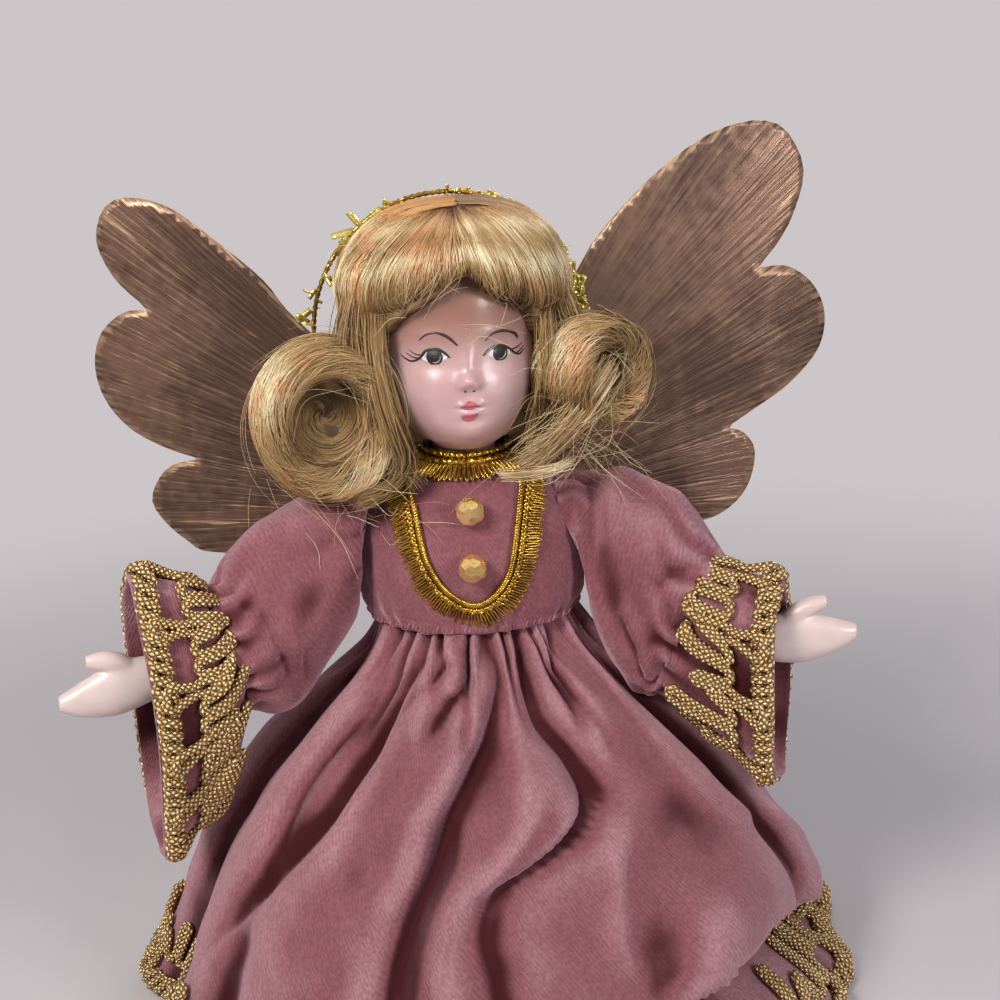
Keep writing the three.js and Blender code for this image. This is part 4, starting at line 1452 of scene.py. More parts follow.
@dataclass
class Skirt:
    """The velvet skirt, its net underskirt and the braid on its hem."""

    hem_radius: float = 112.0
    height: float = 122.0
    hem_clear: float = 0.5
    fold_depth: float = 14.0
    cloth: float = 1.3
    least_height: float = 0.1
    slack: float = 1.8
    gather_count: int = 31
    gather_depth: float = 2.5
    gathers_from: float = 0.72
    tuck: float = 11.0
    swell: float = 7.0
    crest_height: float = 4.4
    hem_length: float = 420.0
    grid: tuple[int, int] = (360, 90)
    quick_grid: tuple[int, int] = (300, 70)
    rows: tuple = (
        (0.0, 1.0, 1.0, 1.0, 0.85), (0.2, 0.885, 0.89, 0.89, 0.95), (0.345, 0.83, 0.83, 0.83, 1.0),
        (0.49, 0.765, 0.76, 0.76, 1.0), (0.64, 0.655, 0.645, 0.63, 1.0), (0.78, 0.5, 0.48, 0.45, 0.95),
        (0.9, 0.36, 0.335, 0.3, 0.68), (1.0, 0.258, 0.216, 0.167, 0.2),
    )
    creases: tuple[Crease, ...] = (
        Crease((0.3, 0.52, 0.6, 0.7, 0.83, 0.95), (-0.137, -0.14, -0.143, -0.147, -0.137, -0.137),
               (0, 3, 6, 8, 8, 5), 4.0, 8.0),
        Crease((0.17, 0.31, 0.4, 0.54, 0.64, 0.7, 0.78, 0.86, 0.95),
               (-0.19, -0.168, -0.152, -0.127, -0.112, -0.108, -0.101, -0.103, -0.07),
               (0, 2, 5, 9, 11, 11, 10, 9, 4), 8.0, 2.4),
        Crease((0.8, 0.86, 0.9, 0.94, 0.98), (-0.1, -0.08, -0.063, -0.042, -0.056), (0, 2, 4, 5, 3), 2.6,
               1.6),
        Crease((0.0, 0.2, 0.36, 0.5, 0.6, 0.68, 0.74, 0.8, 0.84, 0.92, 0.96),
               (-0.045, -0.047, -0.047, -0.04, -0.03, -0.023, -0.01, 0.006, 0.017, 0.031, 0.02),
               (10, 8, 7, 9, 13, 15, 15, 13, 11, 8, 4), 3.2, 9.0),
        Crease((0.81, 0.84, 0.875, 0.91, 0.94, 0.98), (-0.05, -0.04, -0.027, -0.011, -0.013, -0.023),
               (0, 4, 9, 9, 6, 3), 3.0, 2.6),
        Crease((0.0, 0.2, 0.4, 0.48, 0.56, 0.6, 0.64, 0.69, 0.74, 0.82, 0.86, 0.91, 0.96),
               (0.01, 0.01, 0.004, 0.0, 0.007, 0.033, 0.06, 0.08, 0.077, 0.06, 0.061, 0.071, 0.074),
               (9, 6, 4, 5, 7, 9, 13, 16, 16, 14, 11, 8, 4), 4.2, 7.5),
        Crease((0.8, 0.84, 0.88, 0.94, 1.0), (0.1, 0.106, 0.107, 0.117, 0.13), (0, 6, 8, 6, 2), 2.2, 2.6),
        Crease((0.2, 0.32, 0.46, 0.53, 0.72, 0.8), (0.075, 0.073, 0.067, 0.07, 0.087, 0.09),
               (0, -2, -3, -3, -3, 0), 6.0, 6.0),
        Crease((0.25, 0.37, 0.46, 0.54, 0.63, 0.7, 0.8), (-0.013, -0.02, -0.024, -0.018, 0.01, 0.03, 0.04),
               (0, -3, -4, -4, -4, -4, -1), 5.0, 5.0),
        Crease((0.0, 0.12, 0.3, 0.45, 0.56, 0.64, 0.82, 0.95),
               (0.29, 0.27, 0.25, 0.22, 0.18, 0.163, 0.16, 0.167), (-2, -3, -4, -4, -4, -3, -2, 0), 8.0, 9.0),
        Crease((0.0, 0.3, 0.6, 0.9, 1.0), (0.205, 0.203, 0.199, 0.194, 0.193), (5, 6, 8, 6, 2), 6.0, 5.0),
        *(Crease((0.0, 0.3, 0.6, 0.9, 1.0), turns, (12, 14, 13, 9, 2), *widths) for turns, *widths in (
            ((0.33, 0.325, 0.318, 0.307, 0.306), 8.0, 12.0), ((0.403, 0.407, 0.4, 0.403, 0.403), 11.0, 8.0),
            ((0.528, 0.522, 0.526, 0.53, 0.528), 8.0, 10.0),
            ((0.611, 0.616, 0.608, 0.611, 0.611), 11.0, 8.0),
            ((0.694, 0.688, 0.692, 0.694, 0.694), 9.0, 9.0),
            ((0.778, 0.783, 0.778, 0.777, 0.778), 8.0, 11.0),
        )),
        Crease((0.0, 0.25, 0.5), (0.85, 0.856, 0.86), (12, 8, 0), 9.0, 7.0),
    )
    lip_turns: tuple = (0.07, 0.09, 0.107, 0.13, 0.157, 0.2, 0.27)
    lip_ups: tuple = (0.27, 0.3, 0.34, 0.37, 0.36, 0.3, 0.12)

    def shares(self, up: Array) -> Array:
        """Gives the half width, front, back and fold share at each height."""
        return read_rows(self.rows, up)

    def lip(self, turn: Array, up: Array) -> tuple[Array, Array]:
        """Gives how the cloth bulges and then tucks under at the right side, outward and upward.

        Args:
            turn: the direction as a share of a turn from the front towards +X.
            up: the height as a share.

        Returns:
            How far out and how far up the cloth moves at each place.
        """
        turn = (np.asarray(turn) + 0.5) % 1.0 - 0.5
        edge = eased(self.lip_turns, self.lip_ups, np.clip(turn, 0.07, 0.27))
        weight = np.clip((turn - 0.075) / 0.04, 0, 1) * np.clip((0.285 - turn) / 0.06, 0, 1)
        weight = smooth(weight)
        above = (np.asarray(up) - edge) * self.height
        swell = np.where(above > 0, bump(above - 5, 13), bump(above - 5, 6.5))
        hollow = np.where(above < 0, bump(above + 13, 8.5), 0)
        return weight * (self.swell * swell - self.tuck * hollow), weight * -4.5 * bump(above + 1, 6)

    def surface(self, turn: Array, up: Array) -> Array:
        """Gives places on the outside of the velvet.

        Args:
            turn: the direction as a share of a turn from the front towards +X.
            up: the height as a share.

        Returns:
            One row of three numbers for each place.
        """
        turn, up = np.broadcast_arrays(np.asarray(turn, float), np.asarray(up, float))
        wide, front, back, fold = np.moveaxis(self.shares(up), -1, 0)
        radius = self.hem_radius * (wide + front) / 2
        angle = turn * TURN
        taken = sum(crease.depth_at(turn, up, radius) for crease in self.creases)
        limit = self.fold_depth * fold + 0.6
        taken = np.where(taken > 0, limit * np.tanh(taken / limit), taken)
        around = np.stack([np.cos(angle), np.sin(angle), up * 1.3], axis=-1)
        slack = self.slack * fold * (ripple(around, 0.6, 5) - 0.4) + 0.3 * ripple(around, 0.16, 8)
        waves = np.cos(angle * self.gather_count + 2.6 * ripple(around, 0.4, 3))
        near_waist = np.clip((up - self.gathers_from) / (1 - self.gathers_from), 0, 1) ** 1.2
        gathers = self.gather_depth * near_waist * np.sign(waves) * np.abs(waves) ** 0.7
        swell, rise = self.lip(turn, up)
        out = -taken + slack + gathers + swell
        half_width = self.hem_radius * wide + out
        depth = self.hem_radius * np.where(np.cos(angle) > 0, front, back) + out
        height = self.hem_clear + (self.height - self.hem_clear) * up + rise
        return np.stack([half_width * np.sin(angle), -depth * np.cos(angle), height], axis=-1)

    def build(self) -> None:
        """Makes the skirt, the underskirt and the braid."""
        columns, rows = self.grid
        even = np.arange(columns) / columns
        turn, up = np.meshgrid(even - 0.5 * np.sin(even * TURN) / TURN, np.linspace(1, 0, rows))
        outer = self.surface(turn, up)
        normals = normals_of(self.surface, turn, np.clip(up, 0.005, 0.995))
        inner = outer - normals * self.cloth
        inner[..., 2] = np.maximum(inner[..., 2], self.least_height)
        vertices, faces = slab_between(outer, inner, True)
        skirt = mesh_piece("velvet_skirt", vertices, faces, VELVET.material())
        # Painted shade and highlight: the stored fold value is low in the valleys and high on the crests, by
        # how far each place stands out from its neighbours round the skirt.
        radial = np.linalg.norm(outer[..., :2], axis=-1)
        mean = sum(np.roll(radial, shift, axis=1) for shift in range(-14, 15, 2)) / 15
        crest_shade = np.clip(0.5 + (radial - mean) / self.crest_height, 0, 1)
        store(skirt, "crest_shade", np.concatenate([crest_shade.ravel(), crest_shade.ravel()]))
        uv = np.stack([turn * self.hem_length, up * self.height], axis=-1).reshape(-1, 2)
        store_uv(skirt, np.vstack([uv, uv]), (self.hem_length, 0.0))
        settle(skirt, Body.DOLL, "velvet", "skirt")
        self.build_underskirt()
        self.build_braid()

    def build_underskirt(self) -> None:
        """Makes the stiff net that holds the skirt out."""
        turn, up = round_grid(96, 34, 0.975, 0.035)
        wide, front, back, fold = np.moveaxis(self.shares(up), -1, 0)
        angle = turn * TURN
        net = []
        for off in (self.cloth + 1.4, self.cloth + 2.0):
            out = -fold * self.fold_depth - off
            depth = self.hem_radius * np.where(np.cos(angle) > 0, front, back) + out
            net.append(np.stack([(self.hem_radius * wide + out) * np.sin(angle), -depth * np.cos(angle),
                                 self.hem_clear + (self.height - self.hem_clear) * up], axis=-1))
        vertices, faces = slab_between(net[0], net[1], True)
        piece = mesh_piece("net_underskirt", vertices, faces, NET.material())
        settle(piece, Body.DOLL, "net", "underskirt")

    def build_braid(self) -> None:
        """Runs the braid round the hem."""
        braid = LoopBraid(thickness=2.5, loops=(7.0, 13.0, 9.0), window=5.5, header=7.0)
        turns = np.linspace(0, 1, 721)
        hem = self.surface(turns, np.zeros_like(turns))
        along = distances(hem)
        length = float(along[-1])

        def place(line: Array) -> Array:
            """Lays a line of the braid on the skirt."""
            turn = np.interp(line[:, 0], along, turns)
            up = np.clip((line[:, 1] - 0.4) / self.height, 0.002, 0.6)
            point = self.surface(turn, up)
            normal = normals_of(self.surface, turn, np.clip(up, 0.01, 0.9))
            point = point + normal * (line[:, 2:3] + 0.1)
            point[:, 2] = np.maximum(point[:, 2], braid.thickness / 2 + 0.15)
            return point

        lines = [*braid.header_lines(length), braid.looped_line(length, 3)]
        piece = GROWER.cord("hem_looped_braid", [place(line) for line in lines], braid.thickness / 2,
                            GILT_CORD, step=0.62, sides=7, knob=(0.26, 1.9, 2))
        settle(piece, Body.DOLL, "gilt_cord", "hem_braid")


BODICE = LevelForm(
    rows=((0, 0.88, 0.945, 0.93), (0.12, 0.975, 0.985, 0.98), (0.33, 1, 1, 1), (0.54, 0.95, 0.95, 1),
          (0.7, 0.85, 0.85, 0.97), (0.84, 0.67, 0.68, 0.84), (0.94, 0.46, 0.5, 0.62),
          (1, 0.335, 0.43, 0.515)),
    bottom=122.3,
    height=48.0,
    half_width=34.0,
    front=26.0,
    back=20.5,
)


@dataclass
class Bodice:
    """The velvet upper part of the dress, with its gilt collar and necklace and its two beads."""

    cloth: float = 1.3
    girth: float = 190.0
    grid: tuple[int, int] = (200, 70)
    rim: float = 0.6
    gather_count: int = 26
    gather_depth: float = 0.55
    stitches: int = 118
    collar_loops: int = 78
    necklace_loops: int = 74
    bead: float = 4.0
    bead_heights: tuple[float, float] = (157.0, 143.2)
    necklace: tuple = (
        (-0.545, 0.91), (-0.47, 0.806), (-0.421, 0.698), (-0.387, 0.583), (-0.338, 0.457), (-0.241, 0.325),
        (-0.098, 0.234), (0.032, 0.204), (0.16, 0.242), (0.274, 0.342), (0.345, 0.47), (0.39, 0.648),
        (0.424, 0.791), (0.445, 0.92),
    )

    def surface(self, turn: Array, up: Array) -> Array:
        """Gives places on the outside of the velvet.

        Args:
            turn: the direction as a share of a turn from the front towards +X.
            up: the height as a share.

        Returns:
            One row of three numbers for each place.
        """
        turn, up = np.broadcast_arrays(np.asarray(turn, float), np.asarray(up, float))
        angle = turn * TURN
        around = np.stack([np.cos(angle), np.sin(angle), up * 1.5], axis=-1)
        wrinkle = 0.45 * ripple(around, 0.9, 21) + 0.16 * ripple(around, 0.3, 22)
        low = np.clip(1 - up / 0.28, 0, 1) ** 1.5
        gathers = self.gather_depth * low * np.cos(angle * self.gather_count + 2.5 * ripple(around, 0.6, 23))
        rolled = self.rim * np.exp(-((up / 0.03) ** 2))
        return BODICE.at(turn, up, (wrinkle - 0.25) * np.clip(6 * (1 - up), 0, 1) + gathers + rolled)

    def front(self, x: Array, up: Array, lift: Array | float = 0.0) -> Array:
        """Gives places on the front at a distance across and a height share.

        Args:
            x: the distance across.
            up: the height as a share.
            lift: how far off the cloth it lies.

        Returns:
            One row of three numbers for each place.
        """
        x, up = np.broadcast_arrays(np.asarray(x, float), np.asarray(up, float))
        turn = np.zeros_like(x)
        for _ in range(6):
            reach = BODICE.at(np.full_like(x, 0.25), up)[..., 0]
            turn = np.arcsin(np.clip(x / reach, -0.98, 0.98)) / TURN
        spot = self.surface(turn, up)
        return spot + normals_of(self.surface, turn, up) * np.asarray(lift)[..., None]

    def build(self) -> None:
        """Makes the bodice and its trims."""
        turn, up = round_grid(*self.grid, 1.0, 0.0)
        outer = self.surface(turn, up)
        inner = outer - normals_of(self.surface, turn, np.clip(up, 0.01, 0.99)) * self.cloth
        vertices, faces = slab_between(outer, inner, True)
        piece = mesh_piece("velvet_bodice", vertices, faces, VELVET.material())
        # On the bodice the stored fold value is a random tone, which the velvet turns into lighter and darker
        # patches.
        store(piece, "crest_shade", np.tile(0.5 + 0.16 * ripple(outer.reshape(-1, 3), 26.0, 4), 2))
        uv = np.stack([turn * self.girth, up * BODICE.height], axis=-1).reshape(-1, 2)
        store_uv(piece, np.vstack([uv, uv]), (self.girth, 0.0))
        settle(piece, Body.DOLL, "velvet", "bodice")
        self.build_collar()
        self.build_necklace()
        self.build_beads()
        self.build_seam()

    def build_seam(self) -> None:
        """Sews the bodice's lower edge to the skirt with slanting stitches."""
        uneven = np.random.default_rng(24).uniform(-0.18, 0.18, self.stitches)
        at = (np.arange(self.stitches) + uneven) / self.stitches
        low = self.surface(at, np.full_like(at, 0.004))
        high = self.surface(at + 0.004, np.full_like(at, 0.04))
        rise = normals_of(self.surface, at, np.full_like(at, 0.03))
        stitches = GROWER.motifs("waist_stitches", Motif.STITCH, low + rise * 0.15, high - low, rise,
                                 (0.62, 2.0, 0.6), SEAM_THREAD, 0.2)
        settle(stitches, Body.DOLL, "velvet", "bodice")

    def build_collar(self) -> None:
        """Makes the collar: two chains round the neck, and loops down over the shoulders."""
        turn = np.linspace(0, 1, 241)
        chains = []
        for up, lift, raised in ((0.995, 0.9, 1.3), (0.97, 1.4, 0.4)):
            place = self.surface(turn, np.full_like(turn, up))
            normal = normals_of(self.surface, turn, np.full_like(turn, up - 0.03))
            chain = place + normal * (lift + 0.2 * np.cos(turn * TURN * 40))[:, None]
            chain[:, 2] += raised
            chains.append(chain)
        chain = GROWER.cord("collar_chain", chains, 0.95, GILT_WIRE, step=0.28, sides=9, knob=(0.5, 1.3, 2))
        settle(chain, Body.DOLL, "gilt_cord", "collar_trim")
        at = np.arange(self.collar_loops) / self.collar_loops
        start = self.surface(at, np.full_like(at, 0.97))
        end = self.surface(at, np.full_like(at, 0.88))
        rise = normals_of(self.surface, at, np.full_like(at, 0.92))
        away = end - start + rise * 0.3
        loops = GROWER.motifs("collar_loops", Motif.LOOP, start + rise * 1.2, away, rise, (0.95, 5.6, 0.3),
                              GILT_WIRE)
        settle(loops, Body.DOLL, "gilt_cord", "collar_trim")

    def build_necklace(self) -> None:
        """Makes the trim that hangs in a U: a plaited cord, a flat braid round it and loops beyond."""
        shares = through(self.necklace, 300)
        x, up = shares[:, 0] * BODICE.half_width, shares[:, 1]
        path = self.front(x, up, np.full_like(x, 1.1))
        normal = self.front(x, up, np.full_like(x, 2.1)) - path
        along = unit(np.gradient(path, axis=0))
        side = np.cross(along, normal)
        waves = np.linspace(0, 44 * TURN, len(path))
        strands = [path + side * (0.55 * np.sin(waves + shift))[:, None]
                   + normal * (0.4 + 0.35 * np.cos(waves + shift))[:, None]
                   for shift in (0, TURN / 3, 2 * TURN / 3)]
        cord = GROWER.cord("necklace_cord", strands, 0.45, GILT_WIRE, step=0.25, sides=7, knob=(0.1, 0.9, 2))
        settle(cord, Body.DOLL, "gilt_cord", "necklace_trim")
        flat = [path + side * (2.1 + 0.6 * np.sin(waves * 0.8 + shift))[:, None]
                + normal * (0.1 + 0.25 * np.cos(waves * 1.6 + shift))[:, None] for shift in (0, TURN / 2)]
        braid = GROWER.cord("necklace_flat_braid", flat, 0.5, GILT_WIRE, step=0.3, sides=7,
                            knob=(0.15, 0.9, 2))
        settle(braid, Body.DOLL, "gilt_cord", "necklace_trim")
        outline = path + side * 2.9
        every = spaced(outline, self.necklace_loops)
        pick = np.array([np.argmin(np.linalg.norm(outline - spot, axis=1)) for spot in every])
        loops = GROWER.motifs("necklace_loops", Motif.LOOP, every - normal[pick] * 0.3,
                              side[pick] - normal[pick] * 0.12 + along[pick] * 0.12, normal[pick],
                              (0.95, 4.9, 0.3), GILT_WIRE)
        settle(loops, Body.DOLL, "gilt_cord", "necklace_trim")

    def build_beads(self) -> None:
        """Makes the two faceted beads."""
        for name, height in zip(("upper_bead", "lower_bead"), self.bead_heights):
            up = (height - BODICE.bottom) / BODICE.height
            spot = self.front(np.array([0.3]), np.array([up]), np.array([self.bead * 0.93]))[0]
            mesh = bpy.data.meshes.new(f"faceted_{name}")
            self.facet(mesh, Vector(spot * MM))
            mesh.materials.append(GILT_BEAD.material())
            piece = new_object(f"faceted_{name}", mesh)
            settle(piece, Body.DOLL, "gilt_bead", name)

    def facet(self, mesh: bpy.types.Mesh, spot: Vector) -> None:
        """Fills a mesh with a ball that is cut to 32 flat facets.

        Args:
            mesh: the mesh to fill.
            spot: the ball's centre, in metres.
        """
        work = bmesh.new()
        bmesh.ops.create_icosphere(work, subdivisions=1, radius=1.0)
        cuts = [(corner.co.normalized(), 0.94) for corner in work.verts]
        cuts += [(face.calc_center_median().normalized(), 0.96) for face in work.faces]
        work.clear()
        bmesh.ops.create_cube(work, size=3.0)
        for way, reach in cuts:
            found = bmesh.ops.bisect_plane(work, geom=[*work.verts, *work.edges, *work.faces],
                                           plane_co=way * reach, plane_no=way, clear_outer=True)
            rim = [part for part in found["geom_cut"] if isinstance(part, bmesh.types.BMEdge)]
            bmesh.ops.edgeloop_fill(work, edges=rim)
        turn = Matrix.Rotation(0.5, 4, (0.3, 1.0, 0.2))
        bmesh.ops.transform(work, matrix=Matrix.Translation(spot) @ turn @ Matrix.Scale(self.bead * MM, 4),
                            verts=work.verts)
        bmesh.ops.recalc_face_normals(work, faces=work.faces)
        work.to_mesh(mesh)
        work.free()


# The arms


@dataclass(frozen=True)
class Dent:
    """A line pressed into cloth, or raised from it where its depth is negative."""

    path: tuple[tuple[float, float], ...]
    depth: float
    width: float

    def at(self, places: Array) -> Array:
        """Gives the depth at each place of a flat map of the cloth, in millimetres.

        Args:
            places: the places on the map.

        Returns:
            One number for each place.
        """
        path = np.asarray(self.path, float)
        runs = np.linalg.norm(np.diff(path, axis=0), axis=1)
        starts = distances(path)
        nearest = np.full(places.shape[:-1], np.inf)
        along = np.zeros(places.shape[:-1])
        for a, b, run, start in zip(path, path[1:], runs, starts):
            step = (b - a) / run
            t = np.clip((places - a) @ step, 0, run)
            away = np.linalg.norm(places - a - t[..., None] * step, axis=-1)
            closer = away < nearest
            nearest = np.where(closer, away, nearest)
            along = np.where(closer, (start + t) / starts[-1], along)
        fade = 1 - np.abs(2 * along - 1) ** 3
        return self.depth * fade * np.exp(-((nearest / self.width) ** 1.5))


@dataclass
class Arm:
    """One arm: a puffed sleeve, its flared cuff with the gilt braid, and a wax hand."""

    side: Side
    sleeve_rows: tuple
    cuff_rows: tuple
    heading: tuple[float, float]
    lift: float
    rise: float
    dents: tuple[Dent, ...]
    braid: LoopBraid
    sleeve_cut: tuple[float, float]
    cuff_cut: tuple[float, float]
    seed: int
    lean: float = 0.25
    shrug: float = 0.5
    reach: float = 43.0
    shoulder: Triple = (33.0, -2.0, 143.0)
    cloth: float = 1.2
    girth: float = 120.0
    sleeve_grid: tuple[int, int] = (190, 88)
    cuff_grid: tuple[int, int] = (180, 40)
    wrist_gathers: int = 13
    shoulder_gathers: int = 15
    cuff_gathers: int = 14
    flutes: int = 5
    flute_depth: float = 1.7
    melt: float = 0.42
    hand: float = 29.5
    hand_rings: tuple = (
        (-0.12, 0, 0.17, 0.14), (0, 0, 0.2, 0.16), (0.2, 0, 0.24, 0.17), (0.42, 0.01, 0.27, 0.15),
        (0.62, 0, 0.22, 0.13), (0.82, 0.01, 0.15, 0.11), (0.97, 0.04, 0.07, 0.07),
    )
    thumb_rings: tuple = (
        (0.08, -0.05, 0.08, 0.09), (0.18, 0.05, 0.11, 0.1), (0.34, 0.22, 0.115, 0.105),
        (0.52, 0.31, 0.1, 0.095), (0.68, 0.36, 0.06, 0.06),
    )

    @property
    def body(self) -> Body:
        """The body that the arm rides on."""
        return Body.LEFT_ARM if self.side is Side.LEFT else Body.RIGHT_ARM

    @property
    def label(self) -> str:
        """The side's name."""
        return self.side.name.lower()

    def rows_at(self, rows: tuple, t: Array) -> tuple[Array, Array, Array, Array]:
        """Gives the ring's centre, its direction towards the front, its half height and its half depth.

        Args:
            rows: the tube's rings.
            t: the place along the tube as a share.

        Returns:
            The centres, the directions, the half heights and the half depths.
        """
        table = np.asarray(rows, float)
        before = table[np.maximum(np.arange(len(table)) - 1, 0)]
        after = table[np.minimum(np.arange(len(table)) + 1, len(table) - 1)]
        ahead = np.stack([self.side * (after[:, 0] - before[:, 0]), after[:, 1] - before[:, 1]], axis=1)
        ahead[table[:, 1] == 0] = (self.side, 0)
        keys = np.linspace(0, 1, len(table))
        row = eased(keys, np.hstack([table, unit(ahead)]), np.clip(t, 0, 1))
        x, y, z = self.shoulder
        centre = np.stack([self.side * (x + row[..., 0] * self.reach), y + row[..., 1] * self.reach,
                           z + row[..., 2] * self.reach], axis=-1)
        front = unit(np.stack([self.side * row[..., 6], -self.side * row[..., 5], 0 * row[..., 0]], axis=-1))
        return centre, front, row[..., 3] * self.reach, row[..., 4] * self.reach

    def tube(self, rows: tuple, turn: Array, t: Array, off: Array, lean: Array) -> Array:
        """Gives places on a tube of rings that lean outwards, where turn runs from the top over the front.

        Args:
            rows: the tube's rings.
            turn: the direction as a share of a turn, from the top over the front.
            t: the place along it as a share.
            off: how far the place lies outside the tube.
            lean: how far the ring's top leans outwards.

        Returns:
            One row of three numbers for each place.
        """
        centre, front, half_height, half_depth = self.rows_at(rows, t)
        angle = (turn * TURN)[..., None]
        up = np.stack([self.side * lean, 0 * lean, 1 + 0 * lean], axis=-1)
        return (centre + front * (half_depth + off)[..., None] * np.sin(angle)
                + up * (half_height + off)[..., None] * np.cos(angle))

    def sleeve(self, turn: Array, t: Array) -> Array:
        """Gives places on the outside of the sleeve.

        Args:
            turn: the direction as a share of a turn, from the top over the front.
            t: the place along it as a share.

        Returns:
            One row of three numbers for each place.
        """
        turn, t = np.broadcast_arrays(np.asarray(turn, float), np.asarray(t, float))
        angle = turn * TURN
        around = np.stack([np.cos(angle), np.sin(angle), t * 2.2], axis=-1)
        wander = 2.0 * ripple(around, 0.8, self.seed)
        at_wrist = np.clip((t - 0.55) / 0.45, 0, 1) ** 1.4
        at_shoulder = np.clip((0.3 - t) / 0.3, 0, 1) ** 1.4
        gathers = at_wrist * 1.3 * np.cos(angle * self.wrist_gathers + wander)
        gathers = gathers + at_shoulder * 0.9 * np.cos(angle * self.shoulder_gathers + wander)
        flat = np.stack([t * 46.0, ((turn + 0.5) % 1 - 0.5) * 360.0 * 0.35], axis=-1)
        pressed = sum(dent.at(flat) for dent in self.dents)
        slack = 0.9 * ripple(around, 0.8, self.seed + 1) * np.sin(np.clip(t, 0, 1) * math.pi)
        spot = self.tube(self.sleeve_rows, turn, t, gathers + slack - pressed, self.lean * t**2)
        top = self.shrug * np.clip(1 - t / 0.4, 0, 1) ** 2 * np.clip(np.cos(angle - 0.5), 0, 1)
        spot[..., 0] -= self.side * 9.0 * top
        spot[..., 2] += 4.5 * top
        return spot

    def cuff(self, turn: Array, t: Array) -> Array:
        """Gives places on the outside of the cuff.

        Args:
            turn: the direction as a share of a turn, from the top over the front.
            t: the place along it as a share.

        Returns:
            One row of three numbers for each place.
        """
        turn, t = np.broadcast_arrays(np.asarray(turn, float), np.asarray(t, float))
        angle = turn * TURN
        bent = 1.3 * self.side + 0.8 * np.sin(angle * 2)
        flutes = self.flute_depth * t * np.cos(angle * self.flutes + bent)
        gathers = 0.9 * (1 - t) ** 2 * np.cos(angle * self.cuff_gathers + self.seed)
        return self.tube(self.cuff_rows, turn, t, flutes + gathers, self.lean * (1 - t) ** 2)

    def cloth_piece(self, name: str, surface: Surface, grid: tuple[int, int],
                    pitch: float) -> bpy.types.Object:
        """Makes a velvet tube from one of the arm's surfaces.

        Args:
            name: the piece's name.
            surface: the outside of the cloth.
            grid: how many points run round it and along it.
            pitch: how far the pile's rows slant.

        Returns:
            The new piece.
        """
        turn, t = round_grid(*grid)
        outer = surface(turn, t)
        normals = normals_of(surface, turn, np.clip(t, 0.01, 0.99), self.side)
        vertices, faces = slab_between(outer, outer - normals * self.cloth, True)
        piece = mesh_piece(name, vertices, faces, VELVET.material())
        # Painted shade and highlight: the stored fold value is low in the sleeve's creases and high on its
        # puffs.
        radial = np.linalg.norm(outer - outer.mean(axis=1, keepdims=True), axis=-1)
        mean = sum(np.roll(radial, shift, axis=1) for shift in range(-9, 10, 2)) / 10
        crest_shade = np.clip(0.5 + (radial - mean) / 2.2, 0, 1)
        store(piece, "crest_shade", np.tile(crest_shade.ravel(), 2))
        middle = outer.mean(axis=(0, 1))
        uv = np.stack([self.side * (outer[..., 0] - middle[0]) + pitch * outer[..., 2],
                       turn * self.girth], axis=-1).reshape(-1, 2)
        store_uv(piece, np.vstack([uv, uv]), (0.0, self.girth))
        return piece

    def build(self) -> None:
        """Makes the arm's pieces."""
        sleeve = self.cloth_piece(f"{self.label}_velvet_sleeve", self.sleeve, self.sleeve_grid, 0.12)
        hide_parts(f"{self.label}_sleeve")
        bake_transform(sleeve)
        cuff = self.cloth_piece(f"{self.label}_velvet_cuff", self.cuff, self.cuff_grid, 0.2)
        settle(cuff, self.body, "velvet", f"{self.label}_cuff")
        self.build_braid()
        self.build_hand()

    def build_braid(self) -> None:
        """Runs the braid round the cuff's opening, with its loops back over the cuff."""
        turns = np.linspace(0, 1, 361)
        edge = self.cuff(turns, np.ones_like(turns))
        along = distances(edge)
        depths = np.linspace(0, 1, 60)

        def place(line: Array) -> Array:
            """Lays a line of the braid on the cuff."""
            turn = np.interp(line[:, 0], along, turns)
            grid = self.cuff(turn[:, None], 1 - depths[None, :])
            run = np.concatenate([np.zeros((len(turn), 1)),
                                  np.cumsum(np.linalg.norm(np.diff(grid, axis=1), axis=2), axis=1)], axis=1)
            back = np.array([np.interp(line[i, 1] - 0.6, run[i], depths) for i in range(len(turn))])
            t = np.clip(1 - back, 0.0, 1.0)
            normal = normals_of(self.cuff, turn, np.clip(t, 0.03, 0.97), self.side)
            return self.cuff(turn, t) + normal * (line[:, 2:3] + 0.1)

        length = float(along[-1])
        lines = [*self.braid.header_lines(length), self.braid.looped_line(length, self.seed)]
        piece = GROWER.cord(f"{self.label}_looped_braid", [place(line) for line in lines],
                            self.braid.thickness / 2, GILT_CORD, step=0.42, sides=10, knob=(0.34, 1.9, 2))
        settle(piece, self.body, "gilt_cord", f"{self.label}_cuff_braid")

